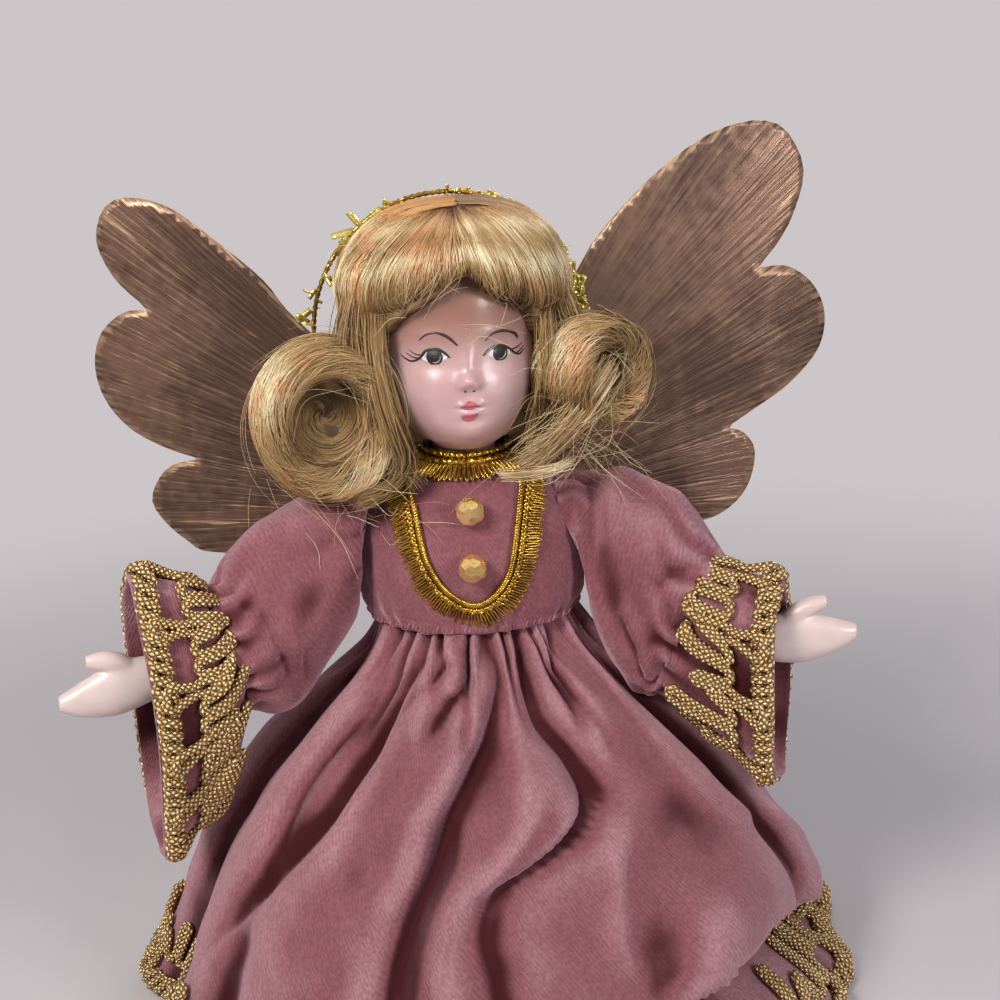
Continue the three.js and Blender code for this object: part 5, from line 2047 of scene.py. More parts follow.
    def hand_part(self, rings: tuple, count: int) -> tuple[Array, list]:
        """Gives one rounded limb of the hand from rings of along, up, half height and half depth.

        Args:
            rings: the limb's rings.
            count: how many rings it is made of.

        Returns:
            The limb's vertices and faces.
        """
        table = np.asarray(rings, float)
        keys = np.linspace(0, 1, len(table))
        row = eased(keys, table, np.linspace(0, 1, count)) * self.hand
        cuff_rows = np.asarray(self.cuff_rows, float)
        x, y, z = self.shoulder
        last, before = (np.array([self.side * (x + r[0] * self.reach), y + r[1] * self.reach,
                                  z + r[2] * self.reach])
                        for r in (cuff_rows[-1], cuff_rows[-2]))
        wrist = last + (before - last) / 3
        wrist[2] = before[2] + self.rise
        ahead = np.array([*self.heading, 0.0])
        across = np.array([-self.heading[1], self.heading[0], 0.0])
        up = np.array([0.0, 0.0, 1.0])
        centre = wrist + ahead * row[:, :1] + up * (row[:, 1:2] + row[:, :1] * self.lift)
        angle = (np.arange(28) / 28 * TURN)[None, :, None]
        ring = (centre[:, None] + across * row[:, 3, None, None] * np.sin(angle)
                + up * row[:, 2, None, None] * np.cos(angle))
        return lofted(ring)

    def build_hand(self) -> None:
        """Makes the hand: the fused fingers and the thumb, melted into one."""
        vertices, faces = merged([self.hand_part(self.hand_rings, 44), self.hand_part(self.thumb_rings, 30)])
        piece = mesh_piece(f"{self.label}_wax_hand", vertices, faces, HAND_WAX.material())
        melted = piece.modifiers.new("melted", "REMESH")
        melted.mode, melted.voxel_size, melted.use_smooth_shade = "VOXEL", self.melt * MM, True
        rounded = piece.modifiers.new("rounded", "SMOOTH")
        rounded.factor, rounded.iterations = 0.7, 7
        bake(piece)
        settle(piece, self.body, "wax", f"{self.label}_hand")


def bake(piece: bpy.types.Object) -> None:
    """Turns a piece's modifiers into its own mesh.

    Args:
        piece: the piece.
    """
    bpy.context.view_layer.update()
    graph = bpy.context.evaluated_depsgraph_get()
    result = bpy.data.meshes.new_from_object(piece.evaluated_get(graph), depsgraph=graph)
    old = piece.data
    materials = list(old.materials)
    piece.modifiers.clear()
    piece.data = result
    if not result.materials:
        for material in materials:
            result.materials.append(material)
    result.shade_smooth()
    bpy.data.meshes.remove(old)


LEFT_ARM = Arm(
    side=Side.LEFT,
    sleeve_rows=(
        (0.018, 0, 0, 0.33, 0.25), (0.13, -0.05, -0.05, 0.46, 0.36), (0.32, -0.13, -0.18, 0.58, 0.43),
        (0.53, -0.24, -0.34, 0.63, 0.45), (0.72, -0.37, -0.46, 0.56, 0.42), (0.85, -0.46, -0.51, 0.44, 0.35),
        (0.92, -0.5, -0.53, 0.37, 0.3),
    ),
    cuff_rows=((0.9, -0.49, -0.54, 0.37, 0.28), (1.03, -0.56, -0.74, 0.7, 0.33),
               (1.42, -0.74, -0.86, 0.98, 0.36)),
    heading=(-0.93, -0.37),
    lift=-0.15,
    rise=6.5,
    dents=(
        Dent(((37, -16), (36, 0), (35.5, 12), (34.5, 18)), 1.6, 1.8),
        Dent(((34, 10), (33.4, 14), (31.5, 26.0), (29.6, 36.5), (26.9, 50)), 2.8, 2.2),
        Dent(((29, 18), (27.5, 30.0), (26, 40)), -1.2, 3.0),
        Dent(((25.5, 34), (24.0, 48)), 1.6, 1.7),
        Dent(((18, -6), (22, 8), (22, 20)), 0.9, 3.0),
    ),
    braid=LoopBraid(),
    sleeve_cut=(0.135, 0.052),
    cuff_cut=(0.15, 0.032),
    seed=11,
)
RIGHT_ARM = Arm(
    side=Side.RIGHT,
    sleeve_rows=(
        (0.018, 0, 0, 0.33, 0.25), (0.12, -0.03, -0.08, 0.52, 0.37), (0.28, -0.09, -0.22, 0.67, 0.43),
        (0.45, -0.17, -0.37, 0.69, 0.43), (0.6, -0.25, -0.5, 0.58, 0.38), (0.7, -0.295, -0.6, 0.44, 0.315),
    ),
    cuff_rows=((0.68, -0.29, -0.595, 0.43, 0.31), (0.77, -0.33, -0.68, 0.51, 0.32),
               (1.27, -0.52, -0.95, 0.69, 0.33)),
    heading=(0.99, -0.14),
    lift=0.06,
    rise=1.5,
    dents=(
        Dent(((6.4, -3), (8, 4), (10.5, 12), (11.4, 19), (11.4, 27), (11.0, 38)), 5.0, 3.2),
        Dent(((15, -4), (16, 10), (16.5, 24)), -1.4, 3.4),
        Dent(((33, 24), (35, 18), (38, 14), (44, 9)), 2.2, 1.7),
        Dent(((24, 34), (30, 38), (36, 46)), 1.8, 2.0),
        Dent(((27, 2), (33, 5), (39, 5)), -1.3, 2.2),
    ),
    braid=LoopBraid(),
    sleeve_cut=(0.125, 0.045),
    cuff_cut=(0.13, 0.03),
    seed=12,
    lean=0.5,
    shrug=1.0,
)


# The head

HEAD_YAW = math.radians(7.5)
HEAD = LevelForm(
    rows=((0, 0.395, 0.347, 0.37), (0.125, 0.395, 0.36, 0.37), (0.16, 0.43, 0.66, 0.4),
          (0.203, 0.61, 0.87, 0.52), (0.29, 0.81, 0.985, 0.74), (0.385, 0.935, 1, 0.88),
          (0.44, 0.97, 0.985, 0.93), (0.5, 0.99, 0.95, 0.96), (0.61, 1, 0.92, 1), (0.715, 0.975, 0.9, 1),
          (0.825, 0.86, 0.79, 0.92), (0.92, 0.62, 0.55, 0.66), (0.98, 0.3, 0.27, 0.32),
          (1.0, 0.03, 0.03, 0.03)),
    bottom=163.0,
    height=73.0,
    half_width=21.5,
    front=24.5,
    back=23.0,
)


@dataclass
class Head:
    """The wax head with its modelled and painted face."""

    middle: float = -1.0
    grid: tuple[int, int] = (240, 190)
    features: tuple = (
        (0.0, 203.0, 3.4, 5.0, 0.5), (0.0, 199.0, 2.5, 4.0, 0.9), (0.0, 195.9, 2.5, 2.0, 2.3),
        (2.3, 194.6, 1.3, 1.2, 0.9), (-2.3, 194.6, 1.3, 1.2, 0.9), (0.0, 191.6, 1.6, 1.2, -0.4),
        (1.7, 189.4, 1.9, 0.9, 0.9), (-1.7, 189.4, 1.9, 0.9, 0.9), (0.0, 187.0, 2.6, 1.0, 1.1),
        (0.0, 188.3, 3.8, 0.3, -0.6), (0.0, 184.4, 3.6, 1.1, -0.7), (0.0, 180.6, 4.6, 3.2, 1.2),
        (10.5, 192.5, 5.5, 5.5, 0.9), (-10.5, 192.5, 5.5, 5.5, 0.9),
        (8.8, 203.0, 4.6, 3.2, -1.5), (-8.8, 203.0, 4.6, 3.2, -1.5),
        (8.8, 202.7, 3.4, 2.3, 1.3), (-8.8, 202.7, 3.4, 2.3, 1.3),
        (8.6, 208.2, 5.0, 1.5, 0.35), (-8.6, 208.2, 5.0, 1.5, 0.35),
    )

    def surface(self, turn: Array, up: Array) -> Array:
        """Gives places on the head, before it is turned on its peg.

        Args:
            turn: the direction as a share of a turn from the front towards +X.
            up: the height as a share.

        Returns:
            One row of three numbers for each place.
        """
        spot = HEAD.at(turn, up)
        spot[..., 0] *= self.fullness(spot[..., 0])
        x, z = spot[..., 0] - self.middle, spot[..., 2]
        out = sum(amount * np.exp(-(((x - fx) / wx) ** 2) - ((z - fz) / wz) ** 2)
                  for fx, fz, wx, wz, amount in self.features)
        facing = np.clip(-spot[..., 1] / 12.0, 0, 1)
        spot[..., 1] -= out * facing
        return spot

    def build(self) -> None:
        """Makes the head and paints its face."""
        turn, up = round_grid(*self.grid)
        vertices, faces = lofted(turned(self.surface(turn, up), HEAD_YAW))
        piece = mesh_piece("wax_head", vertices, faces, WAX.material())
        # Painted shade: the tint darkens the upper forehead under the hair and the face below the mouth.
        rise = np.clip((vertices[:, 2] - 197.0) / 17.0, 0, 1)
        chin_shade = 0.45 * np.clip((187.0 - vertices[:, 2]) / 7.0, 0, 1)
        store(piece, "tint", smooth(rise) + chin_shade)
        settle(piece, Body.HEAD, "wax", "head")
        self.paint()

    def on_face(self, x: Array, z: Array) -> Array:
        """Gives the places on the face straight behind points of the front view, before the head turns.

        Args:
            x: places across the face.
            z: their heights.

        Returns:
            One row of three numbers for each place.
        """
        x, z = np.broadcast_arrays(np.asarray(x, float), np.asarray(z, float))
        up = (z - HEAD.bottom) / HEAD.height
        reach = HEAD.at(np.full_like(x, 0.25), up)[..., 0]
        plain = x / self.fullness(x / self.fullness(x))
        return self.surface(np.arcsin(np.clip(plain / reach, -0.98, 0.98)) / TURN, up)

    @staticmethod
    def fullness(x: Array) -> Array:
        """Gives by how much the cheek on the left is fuller than the one on the right."""
        return 1.07 - 0.085 * np.tanh(x / 6.0)

    def patch(self, name: str, x: Array, z: Array, finish: Finish, lift: float = 0.1) -> None:
        """Lays a thin closed film of paint on the face.

        Args:
            name: the piece's name.
            x: a grid of places across the face.
            z: the same grid's heights.
            finish: the paint.
            lift: how far the film stands off the wax.
        """
        spot = self.on_face(x, z)
        step = 0.05
        normal = np.cross(self.on_face(x + step, z) - self.on_face(x - step, z),
                          self.on_face(x, z + step) - self.on_face(x, z - step))
        normal /= np.linalg.norm(normal, axis=-1, keepdims=True)
        vertices, faces = slab_between(spot + normal * lift, spot - normal * 0.12, False)
        piece = mesh_piece(name, turned(vertices, HEAD_YAW), faces, finish.material())
        settle(piece, Body.HEAD, "wax", "head")

    def stroke(self, name: str, path: Sequence, widths: Sequence[float], finish: Finish,
               lift: float = 0.13) -> None:
        """Paints a brush stroke along a path of the front view, tapered as its widths say.

        Args:
            name: the piece's name.
            path: the stroke's middle line.
            widths: its width at even steps along it.
            finish: the paint.
            lift: how far the paint stands off the wax.
        """
        line = through(path, 40)
        width = np.interp(np.linspace(0, 1, 40), np.linspace(0, 1, len(widths)), widths)
        along = unit(np.gradient(line, axis=0))
        side = np.stack([-along[:, 1], along[:, 0]], axis=1)
        across = np.linspace(-0.5, 0.5, 5)
        grid = line[:, None] + side[:, None] * (across[None, :] * width[:, None])[..., None]
        self.patch(name, grid[..., 0], grid[..., 1], finish, lift)

    def spot(self, name: str, centre: tuple[float, float], radii: tuple[float, float], finish: Finish,
             lift: float, cut: tuple[float, float] = (-9.0, 9.0)) -> None:
        """Paints a round spot, which the lids may cut off above and below.

        Args:
            name: the piece's name.
            centre: the spot's centre.
            radii: its half width and half height.
            finish: the paint.
            lift: how far the paint stands off the wax.
            cut: how far down and up it reaches at most.
        """
        share, angle = np.meshgrid(np.linspace(0.02, 1, 9), np.linspace(0, TURN, 37), indexing="ij")
        x = centre[0] + radii[0] * share * np.cos(angle)
        z = centre[1] + np.clip(radii[1] * share * np.sin(angle), *cut)
        self.patch(name, x, z, finish, lift)

    def paint(self) -> None:
        """Paints the eyes, the brows, the nostrils and the mouth, in places of the front view."""
        brows = {
            Side.LEFT: (((-13.4, 206.9), (-11.8, 208.3), (-9.6, 209.0), (-7.7, 208.7), (-5.5, 207.5),
                         (-3.4, 205.4)),
                        (0.25, 0.4, 0.55, 0.8, 0.85, 0.5)),
            Side.RIGHT: (((4.1, 206.0), (6.4, 207.8), (8.9, 208.2), (11.0, 207.9), (12.9, 206.8),
                          (13.9, 205.2)),
                         (0.2, 0.45, 0.7, 0.95, 0.95, 0.5)),
        }
        lids = {
            Side.LEFT: (((-5.5, 202.1), (-7.3, 203.7), (-9.2, 204.5), (-11.5, 204.1), (-12.7, 202.9),
                         (-13.7, 201.8), (-15.6, 201.1), (-17.1, 201.7), (-18.2, 202.7)),
                        (0.35, 0.75, 0.85, 0.75, 0.7, 0.55, 0.5, 0.4, 0.15)),
            Side.RIGHT: (((3.4, 202.1), (5.2, 203.5), (8.0, 204.2), (10.5, 203.3), (12.2, 201.8),
                          (13.5, 200.9), (14.6, 200.9), (15.7, 201.8)), (0.35, 0.7, 0.85, 0.8, 0.65, 0.55,
                          0.45, 0.15)),
        }
        flicks = {
            Side.LEFT: (((-12.6, 202.7), (-14.6, 203.1), (-16.2, 204.3)),
                        ((-13.6, 201.9), (-15.4, 202.3), (-17.0, 203.3))),
            Side.RIGHT: (((12.0, 202.6), (13.6, 202.8), (15.2, 203.6)),
                         ((13.3, 201.2), (14.6, 201.9), (15.7, 202.8))),
        }
        for side, eye in ((Side.LEFT, (-9.6, 202.35)), (Side.RIGHT, (8.35, 202.2))):
            name = side.name.lower()
            self.stroke(f"{name}_brow", *brows[side], BROW)
            self.almond(f"{name}_eye_white", (eye[0] + 0.1 * side, eye[1] - 0.1), 3.5, 1.9, 1.1, WHITE, 0.06)
            self.spot(f"{name}_iris", eye, (2.15, 2.2), INK, 0.12, (-2.0, 2.0))
            self.crescent(f"{name}_iris_light", eye, 1.75, IRIS, 0.17)
            self.stroke(f"{name}_upper_lid", *lids[side], INK, 0.2)
            for k, lash in enumerate(flicks[side]):
                self.stroke(f"{name}_lash_{k}", lash, (0.4, 0.3, 0.1), INK, 0.16)
            self.spot(f"{name}_nostril", (side * 1.15 + self.middle, 193.0), (0.4, 0.26), BROW, 0.08)
        self.lips()

    def almond(self, name: str, centre: tuple[float, float], half: float, high: float, low: float,
               finish: Finish, lift: float) -> None:
        """Paints the white of an eye between its two lids.

        Args:
            name: the piece's name.
            centre: the eye's centre.
            half: its half width.
            high: how far it reaches up.
            low: how far it reaches down.
            finish: the paint.
            lift: how far the paint stands off the wax.
        """
        along, across = np.meshgrid(np.linspace(-0.98, 0.98, 33), np.linspace(-1, 1, 13), indexing="ij")
        lid = 1 - along**2
        z = np.where(across > 0, high, low * 1.35) * across * lid**0.8
        self.patch(name, centre[0] + half * along, centre[1] + z, finish, lift)

    def crescent(self, name: str, centre: tuple[float, float], radius: float, finish: Finish,
                 lift: float) -> None:
        """Paints the thin light that runs round the lower right of an iris.

        Args:
            name: the piece's name.
            centre: the iris's centre.
            radius: the light's radius.
            finish: the paint.
            lift: how far the paint stands off the wax.
        """
        angle, share = np.meshgrid(np.linspace(-2.1, 0.35, 25), np.linspace(-0.5, 0.5, 5), indexing="ij")
        ends = np.sin((angle + 2.1) / 2.45 * math.pi) ** 0.7
        reach = radius * (0.86 + 0.2 * share * ends)
        self.patch(name, centre[0] + reach * np.cos(angle), centre[1] + reach * np.sin(angle), finish, lift)

    def lips(self) -> None:
        """Paints the two lips, a small bow over a round underlip."""
        t = np.linspace(0, 1, 8)[None, :]
        for name, keys, low, high in (
            ("upper_lip", (-3.9, -2.6, -1.3, -0.6, 0.2, 1.5), (188.2, 188.0, 187.9, 187.9, 188.0, 188.6),
             (188.5, 189.6, 190.3, 190.1, 189.9, 188.8)),
            ("lower_lip", (-3.5, -2.8, -1.4, -0.3, 0.6, 0.95), (185.3, 184.7, 184.3, 184.6, 185.6, 186.4),
             (185.9, 186.8, 186.7, 186.8, 187.0, 186.8)),
        ):
            x = np.linspace(keys[0], keys[-1], 31)
            bottom, top = eased(keys, low, x), eased(keys, high, x)
            z = bottom[:, None] * (1 - t) + top[:, None] * t
            self.patch(name, np.broadcast_to(x[:, None], z.shape), z, CORAL, 0.1)


# The hair


@dataclass(frozen=True)
class HairForm(LevelForm):
    """The outer form of the combed hair, which lies closer to the head on its right."""

    close: float = 0.11

    def at(self, turn: Array, up: Array, off: Array | float = 0.0) -> Array:
        """Gives places on the form, by direction, height share and how far outside it they lie.

        Args:
            turn: the direction as a share of a turn from the front towards +X.
            up: the height as a share.
            off: how far the place lies outside the form.

        Returns:
            One row of three numbers for each place.
        """
        spot = super().at(turn, up, off)
        share = self.close * np.exp(-(((np.asarray(up) - 0.8) / 0.3) ** 2))
        other = 0.5 * self.close * np.exp(-(((np.asarray(up) - 0.9) / 0.12) ** 2))
        spot[..., 0] *= np.where(spot[..., 0] > 0, 1 - share, 1 - other)
        return spot


HAIR_SHELL = HairForm(
    rows=((0, 0.5, 0.1, 0.68), (0.12, 0.66, 0.28, 0.84), (0.27, 0.8, 0.52, 0.95), (0.41, 0.9, 0.75, 1),
          (0.55, 0.97, 0.93, 1), (0.69, 1, 1, 1), (0.82, 0.92, 0.95, 0.95), (0.92, 0.72, 0.74, 0.8),
          (0.98, 0.4, 0.42, 0.5), (1.0, 0.04, 0.04, 0.04)),
    bottom=174.0,
    height=69.0,
    half_width=33.0,
    front=27.5,
    back=27.5,
)


@dataclass
class Strands:
    """Paths of hair with the thickness and shade of each, gathered for one piece."""

    paths: list[Array] = field(default_factory=list)
    thick: list[Array] = field(default_factory=list)
    tones_and_shades: list[Array] = field(default_factory=list)

    def add(self, path: Array, radius: float, tone_and_shade: Array | float, taper: float = 0.25) -> None:
        """Adds one strand, thinner towards its ends.

        Args:
            path: the strand's points.
            radius: its radius where it is thickest.
            tone_and_shade: its shade, from 0 to 1.
            taper: the share of the radius that its ends keep.
        """
        along = np.linspace(0, 1, len(path))
        self.paths.append(path)
        self.thick.append(radius * (taper + (1 - taper)
                                    * np.sin(math.pi * np.clip(along * 0.9 + 0.07, 0, 1)) ** 0.5))
        self.tones_and_shades.append(np.clip(np.broadcast_to(tone_and_shade, along.shape), 0, 1))

    def grow(self, name: str, body: Body, *nodes: str) -> bpy.types.Object:
        """Makes the piece, turned with the head.

        Args:
            name: the piece's name.
            body: the body that it rides on.
            nodes: the CAD nodes that it stands for.

        Returns:
            The piece.
        """
        paths = [turned(path, HEAD_YAW) for path in self.paths]
        piece = GROWER.strands(name, paths, self.thick, self.tones_and_shades, HAIR)
        return settle(piece, body, "hair", *nodes)


@dataclass(frozen=True)
class Comb:
    """Hair combed between guides, each a row of places on the outer form: turn, height share and lift."""

    name: str
    nodes: tuple[str, ...]
    guides: tuple
    locks: int
    strands: int
    seed: int
    spread: float = 0.11
    ends: tuple[float, float] = (0.06, 0.9)
    # Each band gives where along the strands it lies, its width and how much painted highlight, above 0, or
    # painted shade, below 0, it adds.
    light_shade_bands: tuple = ()
    points: int = 14

    def grow(self) -> None:
        """Makes the comb's piece: locks of strands that draw together towards their ends."""
        rng = np.random.default_rng(self.seed)
        table = np.asarray(self.guides, float)
        count, stations, _ = table.shape
        flat = table.reshape(count, -1)
        keys = np.arange(count)
        strands = Strands()
        middles = (np.arange(self.locks) + rng.uniform(0, 1, self.locks)) / self.locks * (count - 1)
        for lock in range(self.locks):
            shade, height, sway = rng.uniform(-0.14, 0.14), rng.uniform(-0.6, 0.9), rng.uniform(0, TURN)
            late = rng.normal(0, 0.03)
            for _ in range(self.strands):
                off = rng.normal(0, self.spread) * (count - 1) / 4
                first, last = rng.uniform(0, self.ends[0]), rng.uniform(self.ends[1], 1)
                t = np.linspace(first, last, self.points)
                fine = np.linspace(0, 1, self.points)
                near = (middles[lock] + off * (1 - 0.55 * share) for share in (0.0, 1.0))
                rows = [eased(keys, flat, np.clip(at, 0, count - 1)).reshape(stations, 3) for at in near]
                begin, end = (eased(np.linspace(0, 1, stations), row, t) for row in rows)
                place = begin * (1 - fine[:, None]) + end * fine[:, None]
                lift = place[:, 2] + height * np.sin(fine * math.pi) + rng.uniform(-0.7, 0.5)
                turn = place[:, 0] + 0.004 * np.sin(fine * rng.uniform(3, 8) + sway)
                turn = turn + rng.normal(0, 0.003) * fine**2
                path = HAIR_SHELL.at(turn, np.clip(place[:, 1], 0, 0.997), lift)
                tone_and_shade = 0.56 + shade + rng.uniform(-0.16, 0.2)
                inner = 1 - middles[lock] / (count - 1)
                # Painted highlights and shade along the strands; the first band, the painted shade at the
                # roots, is strongest near the parting.
                for middle, width, amount in self.light_shade_bands:
                    share = inner if middle == 0 else 1.0
                    tone_and_shade = tone_and_shade + share * amount * np.exp(-(((t - middle - late) / width) ** 2))
                strands.add(path, rng.uniform(0.08, 0.16), tone_and_shade)
        strands.grow(self.name, Body.HEAD, *self.nodes)


@dataclass(frozen=True)
class Roll:
    """A roll of hair beside the face, wound round a hollow that is closed at the back."""

    name: str
    node: str
    radius: float
    bore: float
    length: float
    centre: Triple
    turn: float
    wind: int
    locks: int
    mess: float
    seed: int
    section: tuple = (
        (0, -0.26), (0.3, -0.42), (0.75, -0.46), (1, -0.15), (0.97, 0.25), (0.7, 0.48), (0.3, 0.5), (0, 0.34),
    )
    squash: float = 1.0
    points: int = 16
    per_lock: int = 13
    bowl_strands: int = 420
    bore_strands: int = 260
    # Painted highlights and painted shade round the roll: for each, its angle in degrees, its amount and how
    # narrow it is.
    lit: tuple = ((150, 0.42, 6), (-48, 0.4, 6))
    shaded: tuple = ((50, 0.2, 2), (215, 0.16, 4))

    def section_at(self, s: Array) -> tuple[Array, Array]:
        """Gives the distance from the axis and the place along it, round the roll's section.

        Args:
            s: the place round the section as a share.

        Returns:
            The distances and the places along the axis.
        """
        closed = np.array([*self.section, self.section[0]], float)
        keys = distances(closed * (self.radius - self.bore, self.length))
        keys /= keys[-1]
        s = np.asarray(s) % 1.0
        share = np.interp(s, keys, closed[:, 0])
        along = np.interp(s, keys, closed[:, 1])
        return self.bore + share * (self.radius - self.bore), along * self.length

    def place(self, angle: Array, radius: Array, along: Array) -> Array:
        """Gives places at an angle round the axis, a distance from it and a place along it.

        Args:
            angle: the angle round the axis.
            radius: the distance from it.
            along: the place along it.

        Returns:
            One row of three numbers for each place.
        """
        flat = np.stack([radius * self.squash * np.cos(angle), np.broadcast_to(along, np.shape(angle)),
                         radius * np.sin(angle)], axis=-1)
        return turned(flat, self.turn) + np.asarray(self.centre)

    def body_mesh(self) -> tuple[Array, list]:
        """Gives the grooved mass that the strands lie on, with a bowl at the back of its hollow.

        Returns:
            The mass's vertices and faces.
        """
        columns, rows = 150, 64
        angle, s = np.meshgrid(np.arange(columns) / columns * TURN, np.arange(rows) / rows)
        radius, along = self.section_at(s)
        grooves = 0.5 * ripple(np.stack([s * 9, np.cos(angle) * 0.8, np.sin(angle) * 0.8], axis=-1), 0.9,
                               self.seed)
        share = (radius - self.bore) / (self.radius - self.bore)
        grid = self.place(angle, radius + np.where(share > 0.5, -0.9, 0.5) + grooves, along * 0.96)
        faces = grid_faces(rows, columns, True)
        faces += [(
            (rows - 1) * columns + c, (rows - 1) * columns + (c + 1) % columns, (c + 1) % columns, c
        ) for c in range(columns)]
        angle, reach = np.meshgrid(np.arange(60) / 60 * TURN, np.linspace(0.04, 1.12, 12))
        depth = 0.02 + 0.16 * (1 - reach**2) + 0.02 * ripple(np.stack([angle, reach * 3], axis=-1), 2.0,
                                                             self.seed)
        front = self.place(angle, reach * self.bore, depth * self.length)
        back = self.place(angle, reach * self.bore, (depth + 0.1) * self.length)
        return merged([(grid.reshape(-1, 3), faces), lofted(np.vstack([front, back[::-1]]))])

    def add_strands(self, strands: Strands) -> None:
        """Adds locks that wind in from the outside of the roll to its hollow, and strays that cross it.

        Args:
            strands: the strands to add to.
        """
        rng = np.random.default_rng(self.seed)
        t = np.linspace(0, 1, self.points)
        for _ in range(self.locks):
            start, sweep = rng.uniform(0, TURN), rng.uniform(1.4, 3.6)
            spiral = rng.random() < 0.65
            first = rng.uniform(0.28, 0.55) if spiral else rng.uniform(0, 1)
            last = rng.uniform(0.0, 0.2) if spiral else first + rng.normal(0, 0.05)
            shade, height, sway = rng.uniform(-0.12, 0.12), rng.uniform(-0.2, 1.0), rng.uniform(0, TURN)
            for _ in range(self.per_lock):
                spread = rng.normal(0, 0.035) * (1 - 0.5 * t)
                s = first + (last - first) * t + spread
                s = s + self.mess * 0.012 * np.sin(t * rng.uniform(4, 9) + sway)
                radius, along = self.section_at(s)
                share = (radius - self.bore) / (self.radius - self.bore)
                wave = height * np.sin(t * math.pi) + rng.uniform(-0.5, 0.4)
                if rng.random() < 0.04 * self.mess:
                    wave = wave + rng.uniform(1.5, 4.0) * t**2
                wave = wave * np.clip(share / 0.3, 0, 1)
                angle = start + rng.normal(0, 0.14) + self.wind * sweep * t
                inside = np.clip(1 - share / 0.3, 0, 1)
                # Painted highlights and shade: strands are lighter on the roll's lit sides, darker on its
                # shaded sides and darker inside its hollow.
                shine, dark = (
                    sum(amount * np.maximum(np.cos(angle - math.radians(at)), 0) ** power
                        for at, amount, power in patches)
                    for patches in (self.lit, self.shaded))
                tone_and_shade = 0.55 - 0.06 * self.mess + shade + rng.uniform(-0.16, 0.16) - 0.3 * inside
                tone_and_shade = tone_and_shade + (shine - dark) * (0.3 + 0.7 * share)
                path = self.place(angle, radius + wave * (share - 0.35),
                                  along - wave * 0.5 * np.sin(share * math.pi))
                strands.add(path, rng.uniform(0.09, 0.16), tone_and_shade)
        for _ in range(round(9 * self.mess)):
            angle = rng.uniform(0, TURN)
            ends = [self.place(np.array(angle + step), np.array(self.bore * reach),
                               np.array(-self.length * depth))
                    for step, reach, depth in ((0, rng.uniform(1.0, 1.6), 0.45),
                                               (rng.uniform(0.8, 1.6), 0.9, 0.36),
                                               (rng.uniform(1.8, 2.6), rng.uniform(1.0, 1.5), 0.45))]
            strands.add(through(ends, 16), 0.055, rng.uniform(0.6, 0.95))
        # In the hollow the strands are painted lighter towards one side and darker towards another.
        for start, reach, sweep in rng.uniform(0, 1, (self.bowl_strands, 3)):
            share = 0.12 + 0.9 * reach + 0.14 * (t - 0.5)
            angle = start * TURN + self.wind * (0.5 + 1.2 * sweep) * t
            along = (0.02 + 0.16 * (1 - share**2)) * self.length - 0.35
            low = np.maximum(np.cos(angle + math.radians(70)), 0)
            tone_and_shade = 0.26 + 0.3 * low - 0.2 * np.maximum(np.sin(angle), 0) + 0.12 * (sweep - 0.5)
            strands.add(self.place(angle, share * self.bore, along), 0.12, tone_and_shade)
        for start, reach, sweep in rng.uniform(0, 1, (self.bore_strands, 3)):
            angle = start * TURN + self.wind * (0.5 + 1.2 * sweep) * t
            along = (-0.24 + 0.26 * reach + 0.06 * t) * self.length
            low = np.maximum(np.cos(angle + math.radians(70)), 0)
            tone_and_shade = 0.3 + 0.34 * low - 0.2 * np.maximum(np.sin(angle), 0) + 0.14 * (sweep - 0.5)
            strands.add(self.place(angle, self.bore + 0.15 + 0 * t, along), 0.12, tone_and_shade)


